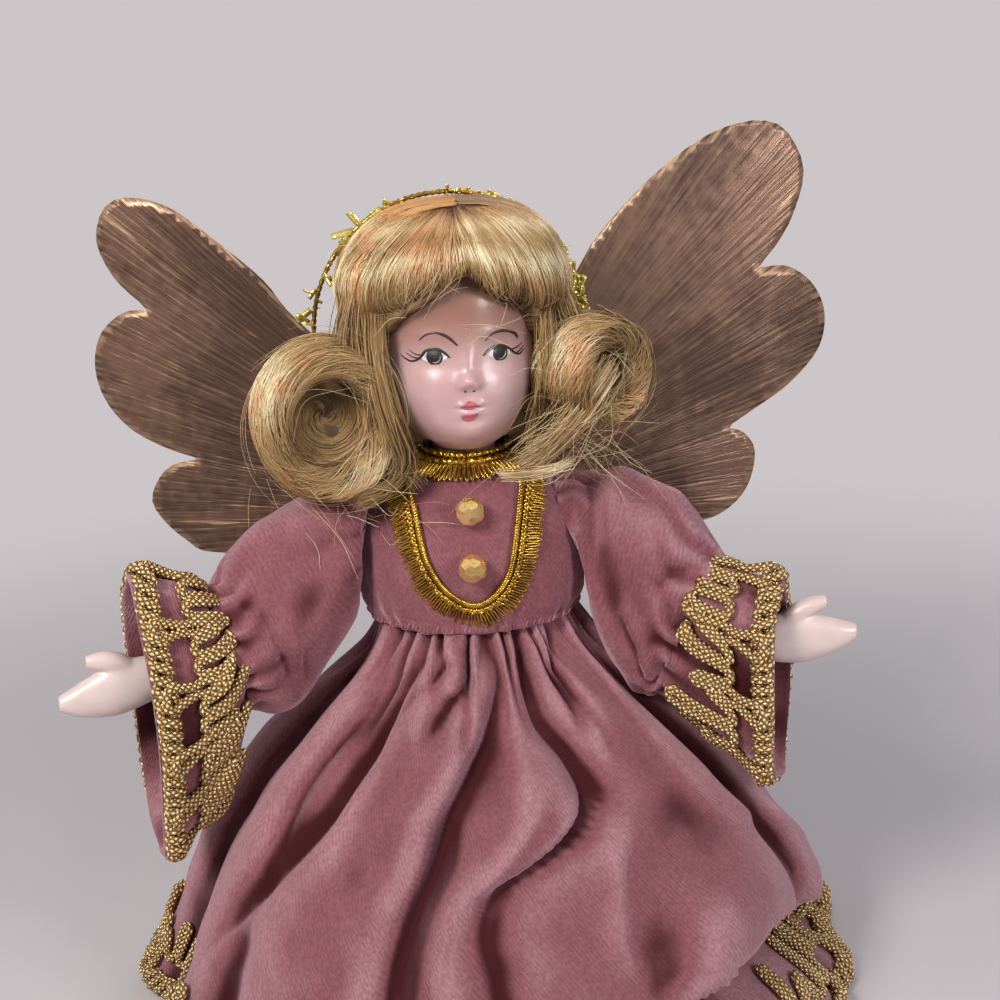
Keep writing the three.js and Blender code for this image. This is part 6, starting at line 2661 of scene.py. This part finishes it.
@dataclass
class Hair:
    """The combed hair: a crown parted in front, a fringe that curls under, and two rolls."""

    grid: tuple[int, int] = (220, 110)
    crown_locks: int = 96
    crown_per_lock: int = 13
    crown_points: int = 13
    route_points: int = 15
    wisp_points: int = 16
    stray_points: int = 14
    stray_radius: float = 0.055
    arch: tuple = ((-25.0, 198.0), (-23.0, 208.0), (-20.0, 213.0), (-13.0, 217.4), (-7.0, 221.4),
                   (-2.0, 226.5), (0.5, 227.5), (4.0, 225.3), (9.0, 220.0), (14.0, 216.4), (18.5, 213.5),
                   (21.0, 207.0), (23.0, 198.0))
    rolls: tuple[Roll, ...] = (
        Roll("left_hair_roll", "left_roll", 22.5, 11.5, 25.0, (-40.0, -10.8, 185.5), math.radians(8), 1, 92,
             1.0, 31, squash=0.9),
        Roll("right_hair_roll", "right_roll", 15.8, 5.5, 25.0, (34.6, -12.0, 194.2), math.radians(30), -1,
             70, 2.0, 32),
    )
    combs: tuple[Comb, ...] = (
        Comb("left_fringe", ("hair_fringe",), (
            ((-0.016, 0.968, -2.0), (-0.014, 0.92, 0.2), (-0.010, 0.86, 1.3), (-0.006, 0.80, 1.3),
             (-0.002, 0.752, 0.4), (0.000, 0.738, -3.0)),
            ((-0.032, 0.972, -2.0), (-0.040, 0.93, 0.8), (-0.050, 0.85, 2.4), (-0.058, 0.76, 1.9),
             (-0.062, 0.672, -0.2), (-0.058, 0.645, -3.6)),
            ((-0.060, 0.974, -2.0), (-0.080, 0.925, 1.0), (-0.098, 0.84, 2.7), (-0.112, 0.73, 2.2),
             (-0.122, 0.605, 0.0), (-0.117, 0.565, -3.4)),
            ((-0.112, 0.972, -0.2), (-0.134, 0.915, 1.6), (-0.150, 0.82, 2.4), (-0.163, 0.69, 2.0),
             (-0.174, 0.570, 0.2), (-0.168, 0.505, -2.6)),
            ((-0.172, 0.966, 0.6), (-0.180, 0.900, 1.7), (-0.186, 0.80, 2.2), (-0.194, 0.67, 2.0),
             (-0.200, 0.530, 1.0), (-0.196, 0.420, -1.0)),
            ((-0.235, 0.950, 0.8), (-0.228, 0.880, 1.5), (-0.222, 0.78, 1.9), (-0.218, 0.64, 1.9),
             (-0.214, 0.480, 1.2), (-0.210, 0.330, -0.5)),
        ), 72, 20, 52, light_shade_bands=((0.0, 0.14, -0.44), (0.22, 0.09, 0.2), (0.36, 0.07, -0.14), (0.52, 0.1, 0.34),
                              (0.72, 0.09, -0.08), (0.95, 0.17, -0.44))),
        Comb("right_fringe", ("hair_fringe",), (
            ((-0.014, 0.968, -2.0), (-0.010, 0.92, 0.2), (-0.003, 0.86, 1.3), (0.000, 0.80, 1.3),
             (0.002, 0.752, 0.4), (0.003, 0.738, -3.0)),
            ((0.000, 0.972, -2.0), (0.014, 0.93, 0.8), (0.024, 0.85, 2.4), (0.033, 0.76, 1.9),
             (0.040, 0.664, -0.2), (0.037, 0.635, -3.6)),
            ((0.026, 0.974, -2.0), (0.046, 0.925, 1.0), (0.064, 0.84, 2.7), (0.079, 0.73, 2.2),
             (0.090, 0.61, 0.0), (0.087, 0.572, -3.4)),
            ((0.078, 0.972, -0.2), (0.096, 0.915, 1.6), (0.110, 0.81, 2.4), (0.124, 0.69, 2.0),
             (0.136, 0.575, 0.2), (0.132, 0.520, -2.6)),
            ((0.140, 0.966, 0.6), (0.148, 0.900, 1.7), (0.156, 0.80, 2.2), (0.166, 0.67, 2.0),
             (0.175, 0.530, 1.0), (0.172, 0.420, -1.0)),
            ((0.215, 0.950, 0.8), (0.208, 0.880, 1.5), (0.204, 0.78, 1.9), (0.200, 0.64, 1.9),
             (0.198, 0.480, 1.2), (0.194, 0.330, -0.5)),
        ), 70, 20, 54, light_shade_bands=((0.0, 0.14, -0.44), (0.22, 0.09, 0.22), (0.36, 0.07, -0.16), (0.5, 0.1, 0.32),
                              (0.7, 0.1, -0.14), (0.94, 0.18, -0.5))),
        Comb("back_hair", ("hair_crown",), tuple(
            tuple((turn, up, lift) for up, lift in ((0.975, 0.2), (0.86, 0.9), (0.66, 1.1), (0.44, 0.9),
                                                    (0.22, 0.6), (0.05, 0.0)))
            for turn in (0.27, 0.35, 0.43, 0.5, 0.57, 0.65, 0.73)), 56, 18, 56, spread=0.07,
             ends=(0.05, 0.86), light_shade_bands=((0.3, 0.12, 0.12), (0.95, 0.2, -0.2))),
    )

    def window(self, spot: Array) -> Array:
        """Tells how far inside the opening for the face each place is, in millimetres.

        Args:
            spot: the places.

        Returns:
            One number for each place, below 0 outside the opening.
        """
        arch = np.asarray(self.arch)
        top = np.interp(spot[..., 0], arch[:, 0], arch[:, 1], left=0, right=0)
        inside = np.minimum(top - spot[..., 2], 24.5 - np.abs(spot[..., 0]))
        return np.where(spot[..., 1] < -3, inside, -9.0)

    @staticmethod
    def gap(turn: Array, up: Array) -> Array:
        """Gives the depth of the dark gap between the crown and the roots of the fringe.

        Args:
            turn: the direction as a share of a turn from the front towards +X.
            up: the height as a share.

        Returns:
            One number for each place.
        """
        turn = (turn + 0.5) % 1.0 - 0.5
        middle = 0.965 - 5.5 * (turn + 0.018) ** 2
        return 3.6 * bump((turn + 0.018) / 0.085, 1.0) * bump((up - middle) / 0.028, 1.0)

    def shell(self, turn: Array, up: Array) -> Array:
        """Gives places on the mass under the strands, which is drawn into the head where the face shows.

        Args:
            turn: the direction as a share of a turn from the front towards +X.
            up: the height as a share.

        Returns:
            One row of three numbers for each place.
        """
        turn, up = np.broadcast_arrays(np.asarray(turn, float), np.asarray(up, float))
        angle = turn * TURN
        flow = np.stack([np.cos(angle) * 2.2, np.sin(angle) * 2.2, up * 0.7], axis=-1)
        grooves = 0.45 * ripple(flow, 0.34, 41)
        spot = HAIR_SHELL.at(turn, up, (grooves - 1.0 - self.gap(turn, up)) * np.clip(14 * (1 - up), 0, 1))
        deep = smooth(np.clip(self.window(spot) / 3.0, 0, 1))
        middle = np.array([0.0, 2.0, 0.0])
        inner = middle + (spot - middle) * np.array([0.6, 0.6, 1.0])
        return spot * (1 - deep[..., None]) + inner * deep[..., None]

    def build(self) -> None:
        """Makes the masses and the strands."""
        turn, up = round_grid(*self.grid)
        grid = self.shell(turn, up)
        vertices, faces = lofted(turned(grid, HEAD_YAW))
        mass = mesh_piece("combed_hair_mass", vertices, faces, HAIR.material())
        drawn_in = np.linalg.norm(grid - HAIR_SHELL.at(turn, up, -1.0), axis=-1)
        # Painted shade: the mass under the strands is kept dark, and darker still where it is drawn in at the
        # face and in the gap under the fringe's roots.
        tone_and_shade = 0.26 + 0.03 * ripple(vertices, 9.0, 42)
        tone_and_shade[:grid[..., 0].size] -= 0.13 * np.clip(drawn_in, 0, 3).ravel()
        store(mass, "tone_and_shade", np.clip(tone_and_shade, 0, 1))
        settle(mass, Body.HEAD, "hair", "hair_crown", "hair_fringe")
        for comb in self.combs:
            comb.grow()
        for side in (-1, 1):
            self.crown(side)
        self.locks()
        self.strays()
        for roll in self.rolls:
            points, found = roll.body_mesh()
            base = mesh_piece(f"{roll.name}_mass", turned(points, HEAD_YAW), found, HAIR.material())
            # Painted shade: the roll's mass under its strands is kept dark.
            store(base, "tone_and_shade", 0.2 + 0.1 * ripple(points, 7.0, roll.seed))
            settle(base, Body.HEAD, "hair", roll.node)
            strands = Strands()
            roll.add_strands(strands)
            strands.grow(roll.name, Body.HEAD, roll.node)

    def crown(self, side: int) -> None:
        """Combs one half of the crown from the parting sideways and down.

        Args:
            side: -1 for the left half, 1 for the right one.
        """
        rng = np.random.default_rng(55 + side)
        strands = Strands()
        ups = np.linspace(0.69, 1.0, 120)
        shares = read_rows(HAIR_SHELL.rows, ups)
        s = np.linspace(0, 1, self.crown_points)
        for _ in range(self.crown_locks):
            first = -10.2 + 36.0 * rng.random() ** 1.25
            front = float(np.clip((6 - first) / 16, 0, 1))
            last = -2.0 + (first + 10) * 0.62
            low = rng.uniform(0.42, 0.5) * front + rng.uniform(0.03, 0.2) * (1 - front)
            shade, height, late = rng.uniform(-0.13, 0.13), rng.uniform(-0.3, 0.8), rng.normal(0, 0.03)
            for _ in range(self.crown_per_lock):
                start = first + rng.normal(0, 0.45)
                depths = shares[:, 1] * HAIR_SHELL.front if start < 0 else shares[:, 2] * HAIR_SHELL.back
                top = float(np.interp(abs(start), depths[::-1], ups[::-1]))
                up = top - (top - low) * s**2
                y = start - 2.6 * front * np.sin(math.pi * s) ** 2 + (last - start
                                                                      + rng.normal(0, 1.2)) * s**3
                row = read_rows(HAIR_SHELL.rows, up)
                depth = np.where(y < 0, row[:, 1] * HAIR_SHELL.front, row[:, 2] * HAIR_SHELL.back)
                turn = side * np.arccos(np.clip(-y / depth, -1, 1)) / TURN
                lift = 0.4 + height * np.sin(s * math.pi) + rng.uniform(-0.3, 0.6)
                lift = lift + front * (1.1 * np.exp(-((s / 0.25) ** 2)) - 2.2 * s)
                # Painted shade at the parting, a painted highlight band partway along, and darker towards the
                # ends.
                tone_and_shade = 0.52 + shade + rng.uniform(-0.14, 0.16) - 0.1 * np.exp(-((s / 0.1) ** 2))
                tone_and_shade = tone_and_shade + 0.26 * np.exp(-(((s - 0.42 - late) / 0.1) ** 2)) - 0.16 * s**3
                strands.add(HAIR_SHELL.at(turn, up, lift), rng.uniform(0.12, 0.19), tone_and_shade)
        strands.grow("left_crown" if side < 0 else "right_crown", Body.HEAD, "hair_crown")

    def locks(self) -> None:
        """Adds the locks beside the face and the hair that falls from the crown to the rolls."""
        rng = np.random.default_rng(53)
        strands = Strands()
        routes = (
            (((-25, -17, 214), (-25.5, -18.5, 205), (-24.5, -19.5, 195), (-22, -20.5, 184), (-19.5, -20, 174),
              (-24, -19, 166.5), (-33, -18, 163.5)), 260, 2.4, 0.34),
            (((-28, -13, 216), (-27.5, -15, 204), (-26, -16, 192), (-23, -17, 178), (-17, -17, 167)), 120,
             2.6, 0.3),
            (((22, -17, 212), (22.0, -19, 203), (21.5, -19, 194), (20, -17, 184), (17, -16, 174)), 130, 2.0,
             0.3),
            (((-27, -9, 226), (-30.5, -12, 217), (-33, -14, 208), (-33, -14, 200)), 170, 3.2, 0.5),
            (((25, -9, 224), (27.5, -12, 216), (30, -14, 209), (31, -14, 202)), 120, 2.6, 0.45),
            (((-30, 8, 200), (-36, 4, 186), (-34, -2, 174), (-26, -4, 166)), 90, 3.0, 0.4),
            (((28, 2, 196), (30, -4, 184), (26, -10, 174), (20, -15, 169)), 120, 3.0, 0.35),
            (((38, -22, 196), (33, -24, 190), (27, -25, 183), (20, -25, 176), (13, -25, 172)), 170, 3.4,
             0.55),
            (((26, -25, 171), (20, -26.5, 169.5), (12, -27.5, 169), (6, -27, 169.5)), 50, 1.3, 0.75),
        )
        for route, count, spread, tone_and_shade in routes:
            line = through(route, self.route_points)
            t = np.linspace(0, 1, self.route_points)[:, None]
            for _ in range(count):
                off, fan = rng.normal(0, spread * 0.5, 3), rng.normal(0, spread * 0.4, 3)
                sway = rng.normal(0, 0.6, 3) * np.sin(t * rng.uniform(3, 7) + rng.uniform(0, TURN))
                path = line + off + fan * (t - 0.4) + sway
                strands.add(path, rng.uniform(0.07, 0.14),
                            tone_and_shade + rng.normal(0, 0.14) + 0.14 * np.sin(t[:, 0] * 7))
        strands.grow("side_locks", Body.HEAD, "hair_crown")

    def strays(self) -> None:
        """Adds the wisps over the forehead, the loose ends below the rolls and the hairs that stand away."""
        rng = np.random.default_rng(57)
        strands = Strands()
        for _ in range(40):
            side = rng.choice((-1, 1), p=(0.6, 0.4))
            turn = side * rng.uniform(0.0, 0.07)
            reach = rng.uniform(0.02, 0.06) * side
            guide = np.array([(turn, 0.80, 3.0), (turn + 0.3 * reach, 0.72, 2.2),
                              (turn + 0.8 * reach, rng.uniform(0.62, 0.67), 0.2),
                              (turn + 1.4 * reach, rng.uniform(0.56, 0.62), -2.0)])
            place = eased(np.linspace(0, 1, len(guide)), guide, np.linspace(0, 1, self.wisp_points))
            wisp = HAIR_SHELL.at(place[:, 0], place[:, 1], place[:, 2])
            strands.add(wisp, self.stray_radius, rng.uniform(0.5, 0.85))
        for root, spread, aim, count, lengths in (
            ((30, -25, 184), 6.0, (-0.8, -0.1, -0.75), 70, (8, 20)),
            ((28, -24, 176), 5.0, (0.8, 0.0, -0.7), 34, (8, 22)),
            ((-30, -22, 165), 8.0, (0.9, -0.1, -0.25), 16, (8, 20)),
            ((-46, -20, 168), 8.0, (0.4, -0.1, -1.0), 12, (8, 20)),
        ):
            for _ in range(count):
                start = np.asarray(root) + rng.normal(0, spread, 3) * (1, 0.25, 0.7)
                way = np.asarray(aim) + rng.normal(0, 0.3, 3)
                reach = rng.uniform(*lengths)
                bend = rng.normal(0, 2.4, 3)
                route = [start, start + way * reach * 0.5 + bend, start + way * reach + bend * 0.3]
                path = through(route, self.stray_points)
                strands.add(path, rng.uniform(0.05, 0.08), rng.uniform(0.4, 0.95))
        for side in (-1, 1):
            centre = np.array([-40.0, -18.0, 185.5]) if side < 0 else np.array([35.0, -18.0, 192.0])
            for _ in range(26):
                angle = rng.uniform(0, TURN) + np.linspace(0, rng.uniform(0.8, 2.2), self.wisp_points)
                grown = rng.uniform(0, 4.5) * np.linspace(0, 1, self.wisp_points) ** rng.uniform(0.6, 2)
                reach = (23.5 if side < 0 else 16.5) + grown
                arc = np.stack([reach * 0.92 * np.cos(angle), rng.uniform(-6, 8) + 0 * angle,
                                reach * np.sin(angle)], 1)
                strands.add(centre + arc, self.stray_radius, rng.uniform(0.5, 0.95))
        for _ in range(90):
            turn, up = rng.uniform(-0.5, 0.5), rng.uniform(0.45, 0.97)
            start = HAIR_SHELL.at(np.array(turn), np.array(up))
            away = HAIR_SHELL.at(np.array(turn), np.array(up), 5.0) - start
            side = np.cross(away, (0, 0, 1)) * rng.uniform(-1.5, 1.5)
            route = [start - away * 0.2, start + away * rng.uniform(0.2, 0.7) + side,
                     start + away * rng.uniform(0.0, 0.9) + side * 2.2 + rng.normal(0, 1.5, 3) - (0, 0, 3)]
            strands.add(through(route, self.stray_points), self.stray_radius, rng.uniform(0.5, 0.95))
        strands.grow("stray_hairs", Body.HEAD, "hair_crown")


# The halo and the wings


@dataclass
class Halo:
    """A wire ring behind the head, with a few flat strips on its left and thick tinsel on its right."""

    radius: float = 39.5
    wire: float = 0.8
    set_back: float = 14.0
    height: float = 203.5
    lower_share: float = 0.62
    back_share: float = 0.13
    bunches: tuple = (
        ("tinsel_right", 230, (0.05, 0.27), (1.15, 1.7, 0.06), 1.0),
        ("tinsel_low", 60, (0.25, 0.5), (0.9, 1.7, 0.06), 0.8),
        ("tinsel_top", 34, (-0.09, 0.05), (0.8, 1.3, 0.06), 0.6),
        ("tinsel_left", 40, (-0.5, -0.1), (0.8, 1.4, 0.06), 0.6),
        ("strips_left", 12, (-0.235, -0.1), (1.7, 5.0, 0.08), 1.2),
        ("strips_top", 4, (-0.08, -0.03), (1.6, 3.0, 0.08), 1.2),
        ("strips_right", 22, (0.16, 0.27), (1.5, 3.2, 0.08), 1.3),
    )

    def ring(self, turn: Array, radius: float) -> Array:
        """Gives places on the ring, where turn runs from its top towards +X.

        Args:
            turn: the place on the ring as a share of a turn.
            radius: the ring's radius.

        Returns:
            One row of three numbers for each place.
        """
        angle = turn * TURN
        z = radius * np.cos(angle)
        below = np.minimum(z, 0)
        z = np.where(z < 0, z * self.lower_share, z)
        return np.stack([radius * np.sin(angle) - 1.5, self.set_back - below * self.back_share,
                         self.height + z], axis=-1)

    def build(self) -> None:
        """Makes the wire and its tinsel."""
        turn = np.linspace(0, 1, 161)
        wire = turned(self.ring(turn, self.radius), HEAD_YAW)
        piece = GROWER.cord("halo_wire", [wire], self.wire * 0.8, GILT_WIRE, step=0.7, sides=8,
                            knob=(0.3, 1.1, 2))
        settle(piece, Body.HEAD, "tinsel", "halo")
        rng = np.random.default_rng(61)
        for name, count, span, size, reach in self.bunches:
            at = rng.uniform(*span, count)
            spot = turned(self.ring(at, self.radius), HEAD_YAW)
            out = unit(spot - turned(self.ring(at, self.radius - 4), HEAD_YAW))
            along = unit(turned(self.ring(at + 0.01, self.radius), HEAD_YAW) - spot)
            swing = rng.uniform(-1, 1, count)[:, None]
            lean = rng.normal(0, 0.8, count)[:, None]
            away = out * swing + along * lean
            away = away + np.array([0.0, -0.35, 0.0]) * rng.uniform(-0.6, 1, count)[:, None]
            rise = np.array([0.0, -1.0, 0.15]) + rng.normal(0, 0.5, (count, 3))
            spot = spot + (out * rng.uniform(-1, 1, (count, 1)) + [0, -0.6, 0]) * reach
            piece = GROWER.motifs(f"halo_{name}", Motif.STRIP, spot, away, rise, size, TINSEL, 0.35)
            settle(piece, Body.HEAD, "tinsel", "halo")


@dataclass
class Wing:
    """One card wing of three lobes, faced with foil."""

    side: Side
    lobes: tuple
    length: float = 111.0
    thickness: float = 0.9
    root: Triple = (4.0, 22.15, 148.0)
    sweep: float = math.radians(9.5)

    def outline(self) -> Array:
        """Gives the wing's outline, outward and up from its root."""
        parts = [through(np.asarray(lobe) * self.length, 46) for lobe in self.lobes]
        return np.vstack([part[:-1] if i + 1 < len(parts) else part for i, part in enumerate(parts)])

    def build(self) -> None:
        """Makes the wing."""
        outline = self.outline()
        outline = outline[np.concatenate([[True], np.linalg.norm(np.diff(outline, axis=0), axis=1) > 0.15])]
        count = len(outline)
        spots, step = [], 2.4
        for x in np.arange(outline[:, 0].min(), outline[:, 0].max(), step):
            for z in np.arange(outline[:, 1].min(), outline[:, 1].max(), step):
                if np.min(np.hypot(outline[:, 0] - x, outline[:, 1] - z)) > step * 0.5:
                    spots.append((x, z))
        points = [Vector(p) for p in outline] + [Vector(p) for p in spots]
        edges = [(i, (i + 1) % count) for i in range(count)]
        flat, _, faces, *_ = delaunay_2d_cdt(points, edges, [list(range(count))], 1, 1e-4)
        flat = np.array([tuple(p) for p in flat])
        rim = np.array([np.min(np.hypot(outline[:, 0] - x, outline[:, 1] - z)) for x, z in flat])
        veins = self.veins(flat)
        sheet = []
        for face_y in (-veins - self.thickness / 2, veins * 0 + self.thickness / 2):
            sheet.append(np.stack([flat[:, 0], face_y + self.thickness / 2, flat[:, 1]], axis=1))
        size = len(flat)
        triangles = [tuple(face) for face in faces] + [tuple(size + i for i in reversed(face))
                                                       for face in faces]
        uses: dict[tuple[int, int], int] = {}
        for face in faces:
            for a, b in zip(face, [*face[1:], face[0]]):
                uses[(a, b)] = 1
        triangles += [(b, a, size + a, size + b) for a, b in uses if (b, a) not in uses]
        vertices = turned(np.vstack(sheet), self.sweep)
        vertices[:, 0] *= self.side
        vertices += np.array([self.side * self.root[0], self.root[1], self.root[2]])
        name = f"{self.side.name.lower()}_foil_wing"
        piece = mesh_piece(name, vertices, triangles, FOIL.material())
        # The stored edge paints a highlight along the wing's rim.
        store(piece, "edge", np.tile(0.9 * np.exp(-((rim / 0.55) ** 2)), 2))
        reach = np.hypot(flat[:, 0], flat[:, 1])
        bearing = np.arctan2(flat[:, 1] + 6, flat[:, 0] + 12)
        uv = np.stack([reach, bearing * 62.0], axis=-1)
        store_uv(piece, np.vstack([uv, uv]))
        settle(piece, Body.DOLL, "foil_card", f"{self.side.name.lower()}_wing")

    def veins(self, flat: Array) -> Array:
        """Gives the height of the pressed feather lines at each place.

        Args:
            flat: the places on the flat wing.

        Returns:
            One number for each place.
        """
        reach = np.hypot(flat[:, 0], flat[:, 1])
        bearing = np.arctan2(flat[:, 1] + 6, flat[:, 0] + 12)
        lines = np.cos(bearing * 40 + 0.6 * np.sin(reach / 11))
        return 0.1 * lines * np.clip((reach - 12) / 20, 0, 1)


WINGS = (
    Wing(
        Side.RIGHT,
        (((0, 0.18), (0.289, 0.62), (0.351, 0.709), (0.492, 0.845), (0.632, 0.941), (0.741, 0.979),
          (0.824, 0.98), (0.881, 0.946), (0.927, 0.846), (0.897, 0.727), (0.841, 0.636), (0.79, 0.59)),
         ((0.8, 0.589), (0.885, 0.586), (0.958, 0.531), (0.994, 0.444), (0.975, 0.347), (0.888, 0.253),
          (0.786, 0.189), (0.709, 0.143)),
         ((0.715, 0.139), (0.756, 0.124), (0.789, 0.072), (0.777, -0.016), (0.726, -0.086), (0.637, -0.126),
          (0.45, -0.13), (0.25, -0.11), (0, -0.08))),
    ),
    Wing(
        Side.LEFT,
        (((0, 0.18), (0.207, 0.333), (0.422, 0.518), (0.509, 0.63), (0.651, 0.755), (0.755, 0.831),
          (0.865, 0.86), (0.937, 0.832), (0.968, 0.745), (0.937, 0.655), (0.892, 0.6), (0.838, 0.552)),
         ((0.845, 0.551), (0.918, 0.545), (0.99, 0.486), (1.018, 0.396), (0.998, 0.297), (0.935, 0.214),
          (0.838, 0.158), (0.74, 0.124)),
         ((0.748, 0.122), (0.84, 0.096), (0.896, 0.007), (0.86, -0.068), (0.792, -0.13), (0.743, -0.154),
          (0.5, -0.16), (0.25, -0.12), (0, -0.08))),
    ),
)


# The studio

PLAIN_NODES = {
    "cone_base": CARD,
    "wing_tab": CARD,
    "torso_core": STUFFING,
    "neck_peg": WOOD,
    "shoulder_wire": PAPER,
    "left_arm_wire": PAPER,
    "right_arm_wire": PAPER,
}


@dataclass
class Studio:
    """The floor, the light and the camera of the photograph."""

    target: Triple = (9.0, -12.0, 158.0)
    distance: float = 430.0
    elevation: float = math.radians(17)
    roll: float = math.radians(2.8)
    half_picture: float = 500 / 3.5
    backdrop: Triple = (0.80, 0.775, 0.785)
    room: Triple = (0.86, 0.84, 0.80)
    low_room: Triple = (0.30, 0.28, 0.26)
    ambient: float = 0.36
    floor_half: float = 3.0
    lamps: tuple = (
        ("key", (-300, -430, 520), 0.2, 3.3, (1.0, 0.97, 0.93)),
        ("fill", (330, -400, 330), 0.16, 1.1, (0.96, 0.97, 1.0)),
        ("rim", (150, 420, 420), 0.4, 0.5, (1.0, 0.97, 0.93)),
    )

    def build(self) -> None:
        """Sets up the camera, the lamps, the world and the floor."""
        scene = bpy.context.scene
        scene.view_settings.view_transform = "Standard"
        self.place_camera(scene)
        self.place_floor()
        self.light(scene)

    def place_camera(self, scene: bpy.types.Scene) -> None:
        """Stands the camera where the photograph was taken from.

        Args:
            scene: the scene.
        """
        back = Vector((0, -math.cos(self.elevation), math.sin(self.elevation)))
        level, over = Vector((1, 0, 0)), Vector((0, math.sin(self.elevation), math.cos(self.elevation)))
        right = math.cos(self.roll) * level - math.sin(self.roll) * over
        up = math.sin(self.roll) * level + math.cos(self.roll) * over
        camera = bpy.data.objects.new("camera", bpy.data.cameras.new("camera"))
        place = Vector(self.target) + back * self.distance
        camera.matrix_world = Matrix.Translation(place * MM) @ Matrix((right, up, back)).transposed().to_4x4()
        camera.data.sensor_width = 36.0
        camera.data.lens = 18.0 * self.distance / self.half_picture
        camera.data.clip_start = 0.01
        scene.collection.objects.link(camera)
        scene.camera = camera

    def place_floor(self) -> None:
        """Lays a wide pale floor that turns into the backdrop's colour away from the doll."""
        mesh = bpy.data.meshes.new("floor")
        half = self.floor_half
        mesh.from_pydata([(-half, -half, 0), (half, -half, 0), (half, half, 0), (-half, half, 0)], [],
                         [(0, 1, 2, 3)])
        material = bpy.data.materials.new("floor")
        material.use_nodes = True
        board = ShaderBoard(material.node_tree)
        shader = material.node_tree.nodes["Principled BSDF"]
        Finish.set_inputs(shader, Base_Color=linear(*self.backdrop), Roughness=0.8, Specular_IOR_Level=0.2)
        away = board.out("ShaderNodeVectorMath", {0: board.position()}, output="Value", operation="LENGTH")
        seen = board.out("ShaderNodeLightPath", output="Is Camera Ray")
        share = board.math("MULTIPLY", board.reshape(away, 0.16, 0.6), seen)
        glow = board.out("ShaderNodeEmission", {"Color": linear(*self.backdrop), "Strength": 1.0})
        both = board.out("ShaderNodeMixShader", {0: share, 1: shader.outputs[0], 2: glow})
        board.tree.links.new(both, material.node_tree.nodes["Material Output"].inputs["Surface"])
        mesh.materials.append(material)
        new_object("floor", mesh)

    def light(self, scene: bpy.types.Scene) -> None:
        """Hangs the soft lamps and sets the world: the pale backdrop behind and a dimmer room in front.

        Args:
            scene: the scene.
        """
        world = bpy.data.worlds.new("studio")
        world.use_nodes = True
        scene.world = world
        board = ShaderBoard(world.node_tree)
        path = board.add("ShaderNodeLightPath")
        way = board.add("ShaderNodeSeparateXYZ", {0: board.out("ShaderNodeTexCoord", output="Generated")})
        behind = board.reshape(way.outputs[1], -0.1, 0.5)
        walls = board.mix(board.reshape(way.outputs[2], -0.3, 0.5), linear(*self.low_room),
                          linear(*self.room))
        mirrored = board.mix(behind, walls, linear(*self.backdrop))
        plain = tuple(self.ambient * part for part in linear(0.93, 0.94, 0.97)[:3])
        colour = board.mix(path.outputs["Is Glossy Ray"], (*plain, 1.0), mirrored)
        colour = board.mix(path.outputs["Is Camera Ray"], colour, linear(*self.backdrop))
        board.tree.links.new(colour, world.node_tree.nodes["Background"].inputs["Color"])
        for name, spot, size, watts, tint in self.lamps:
            lamp = bpy.data.lights.new(name, "AREA")
            lamp.shape, lamp.size, lamp.energy, lamp.color = "DISK", size, watts, tint
            held = bpy.data.objects.new(name, lamp)
            place = Vector(spot) * MM
            aim = Vector((0, 0, 150)) * MM - place
            held.matrix_world = Matrix.Translation(place) @ aim.to_track_quat("-Z", "Y").to_matrix().to_4x4()
            scene.collection.objects.link(held)


def dress_nodes(frame: dict) -> None:
    """Gives the CAD nodes that show as they are their finishes.

    Args:
        frame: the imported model's frame.
    """
    for name, finish in PLAIN_NODES.items():
        node = frame["nodes"][name]
        node.data.materials.clear()
        node.data.materials.append(finish.material())


def main() -> None:
    """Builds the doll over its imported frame."""
    logging.basicConfig(level=logging.INFO, format="%(message)s")
    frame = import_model()
    Skirt().build()
    Bodice().build()
    for arm in (LEFT_ARM, RIGHT_ARM):
        arm.build()
    Head().build()
    Hair().build()
    Halo().build()
    for wing in WINGS:
        wing.build()
    dress_nodes(frame)
    Studio().build()


if __name__ == "__main__":
    main()
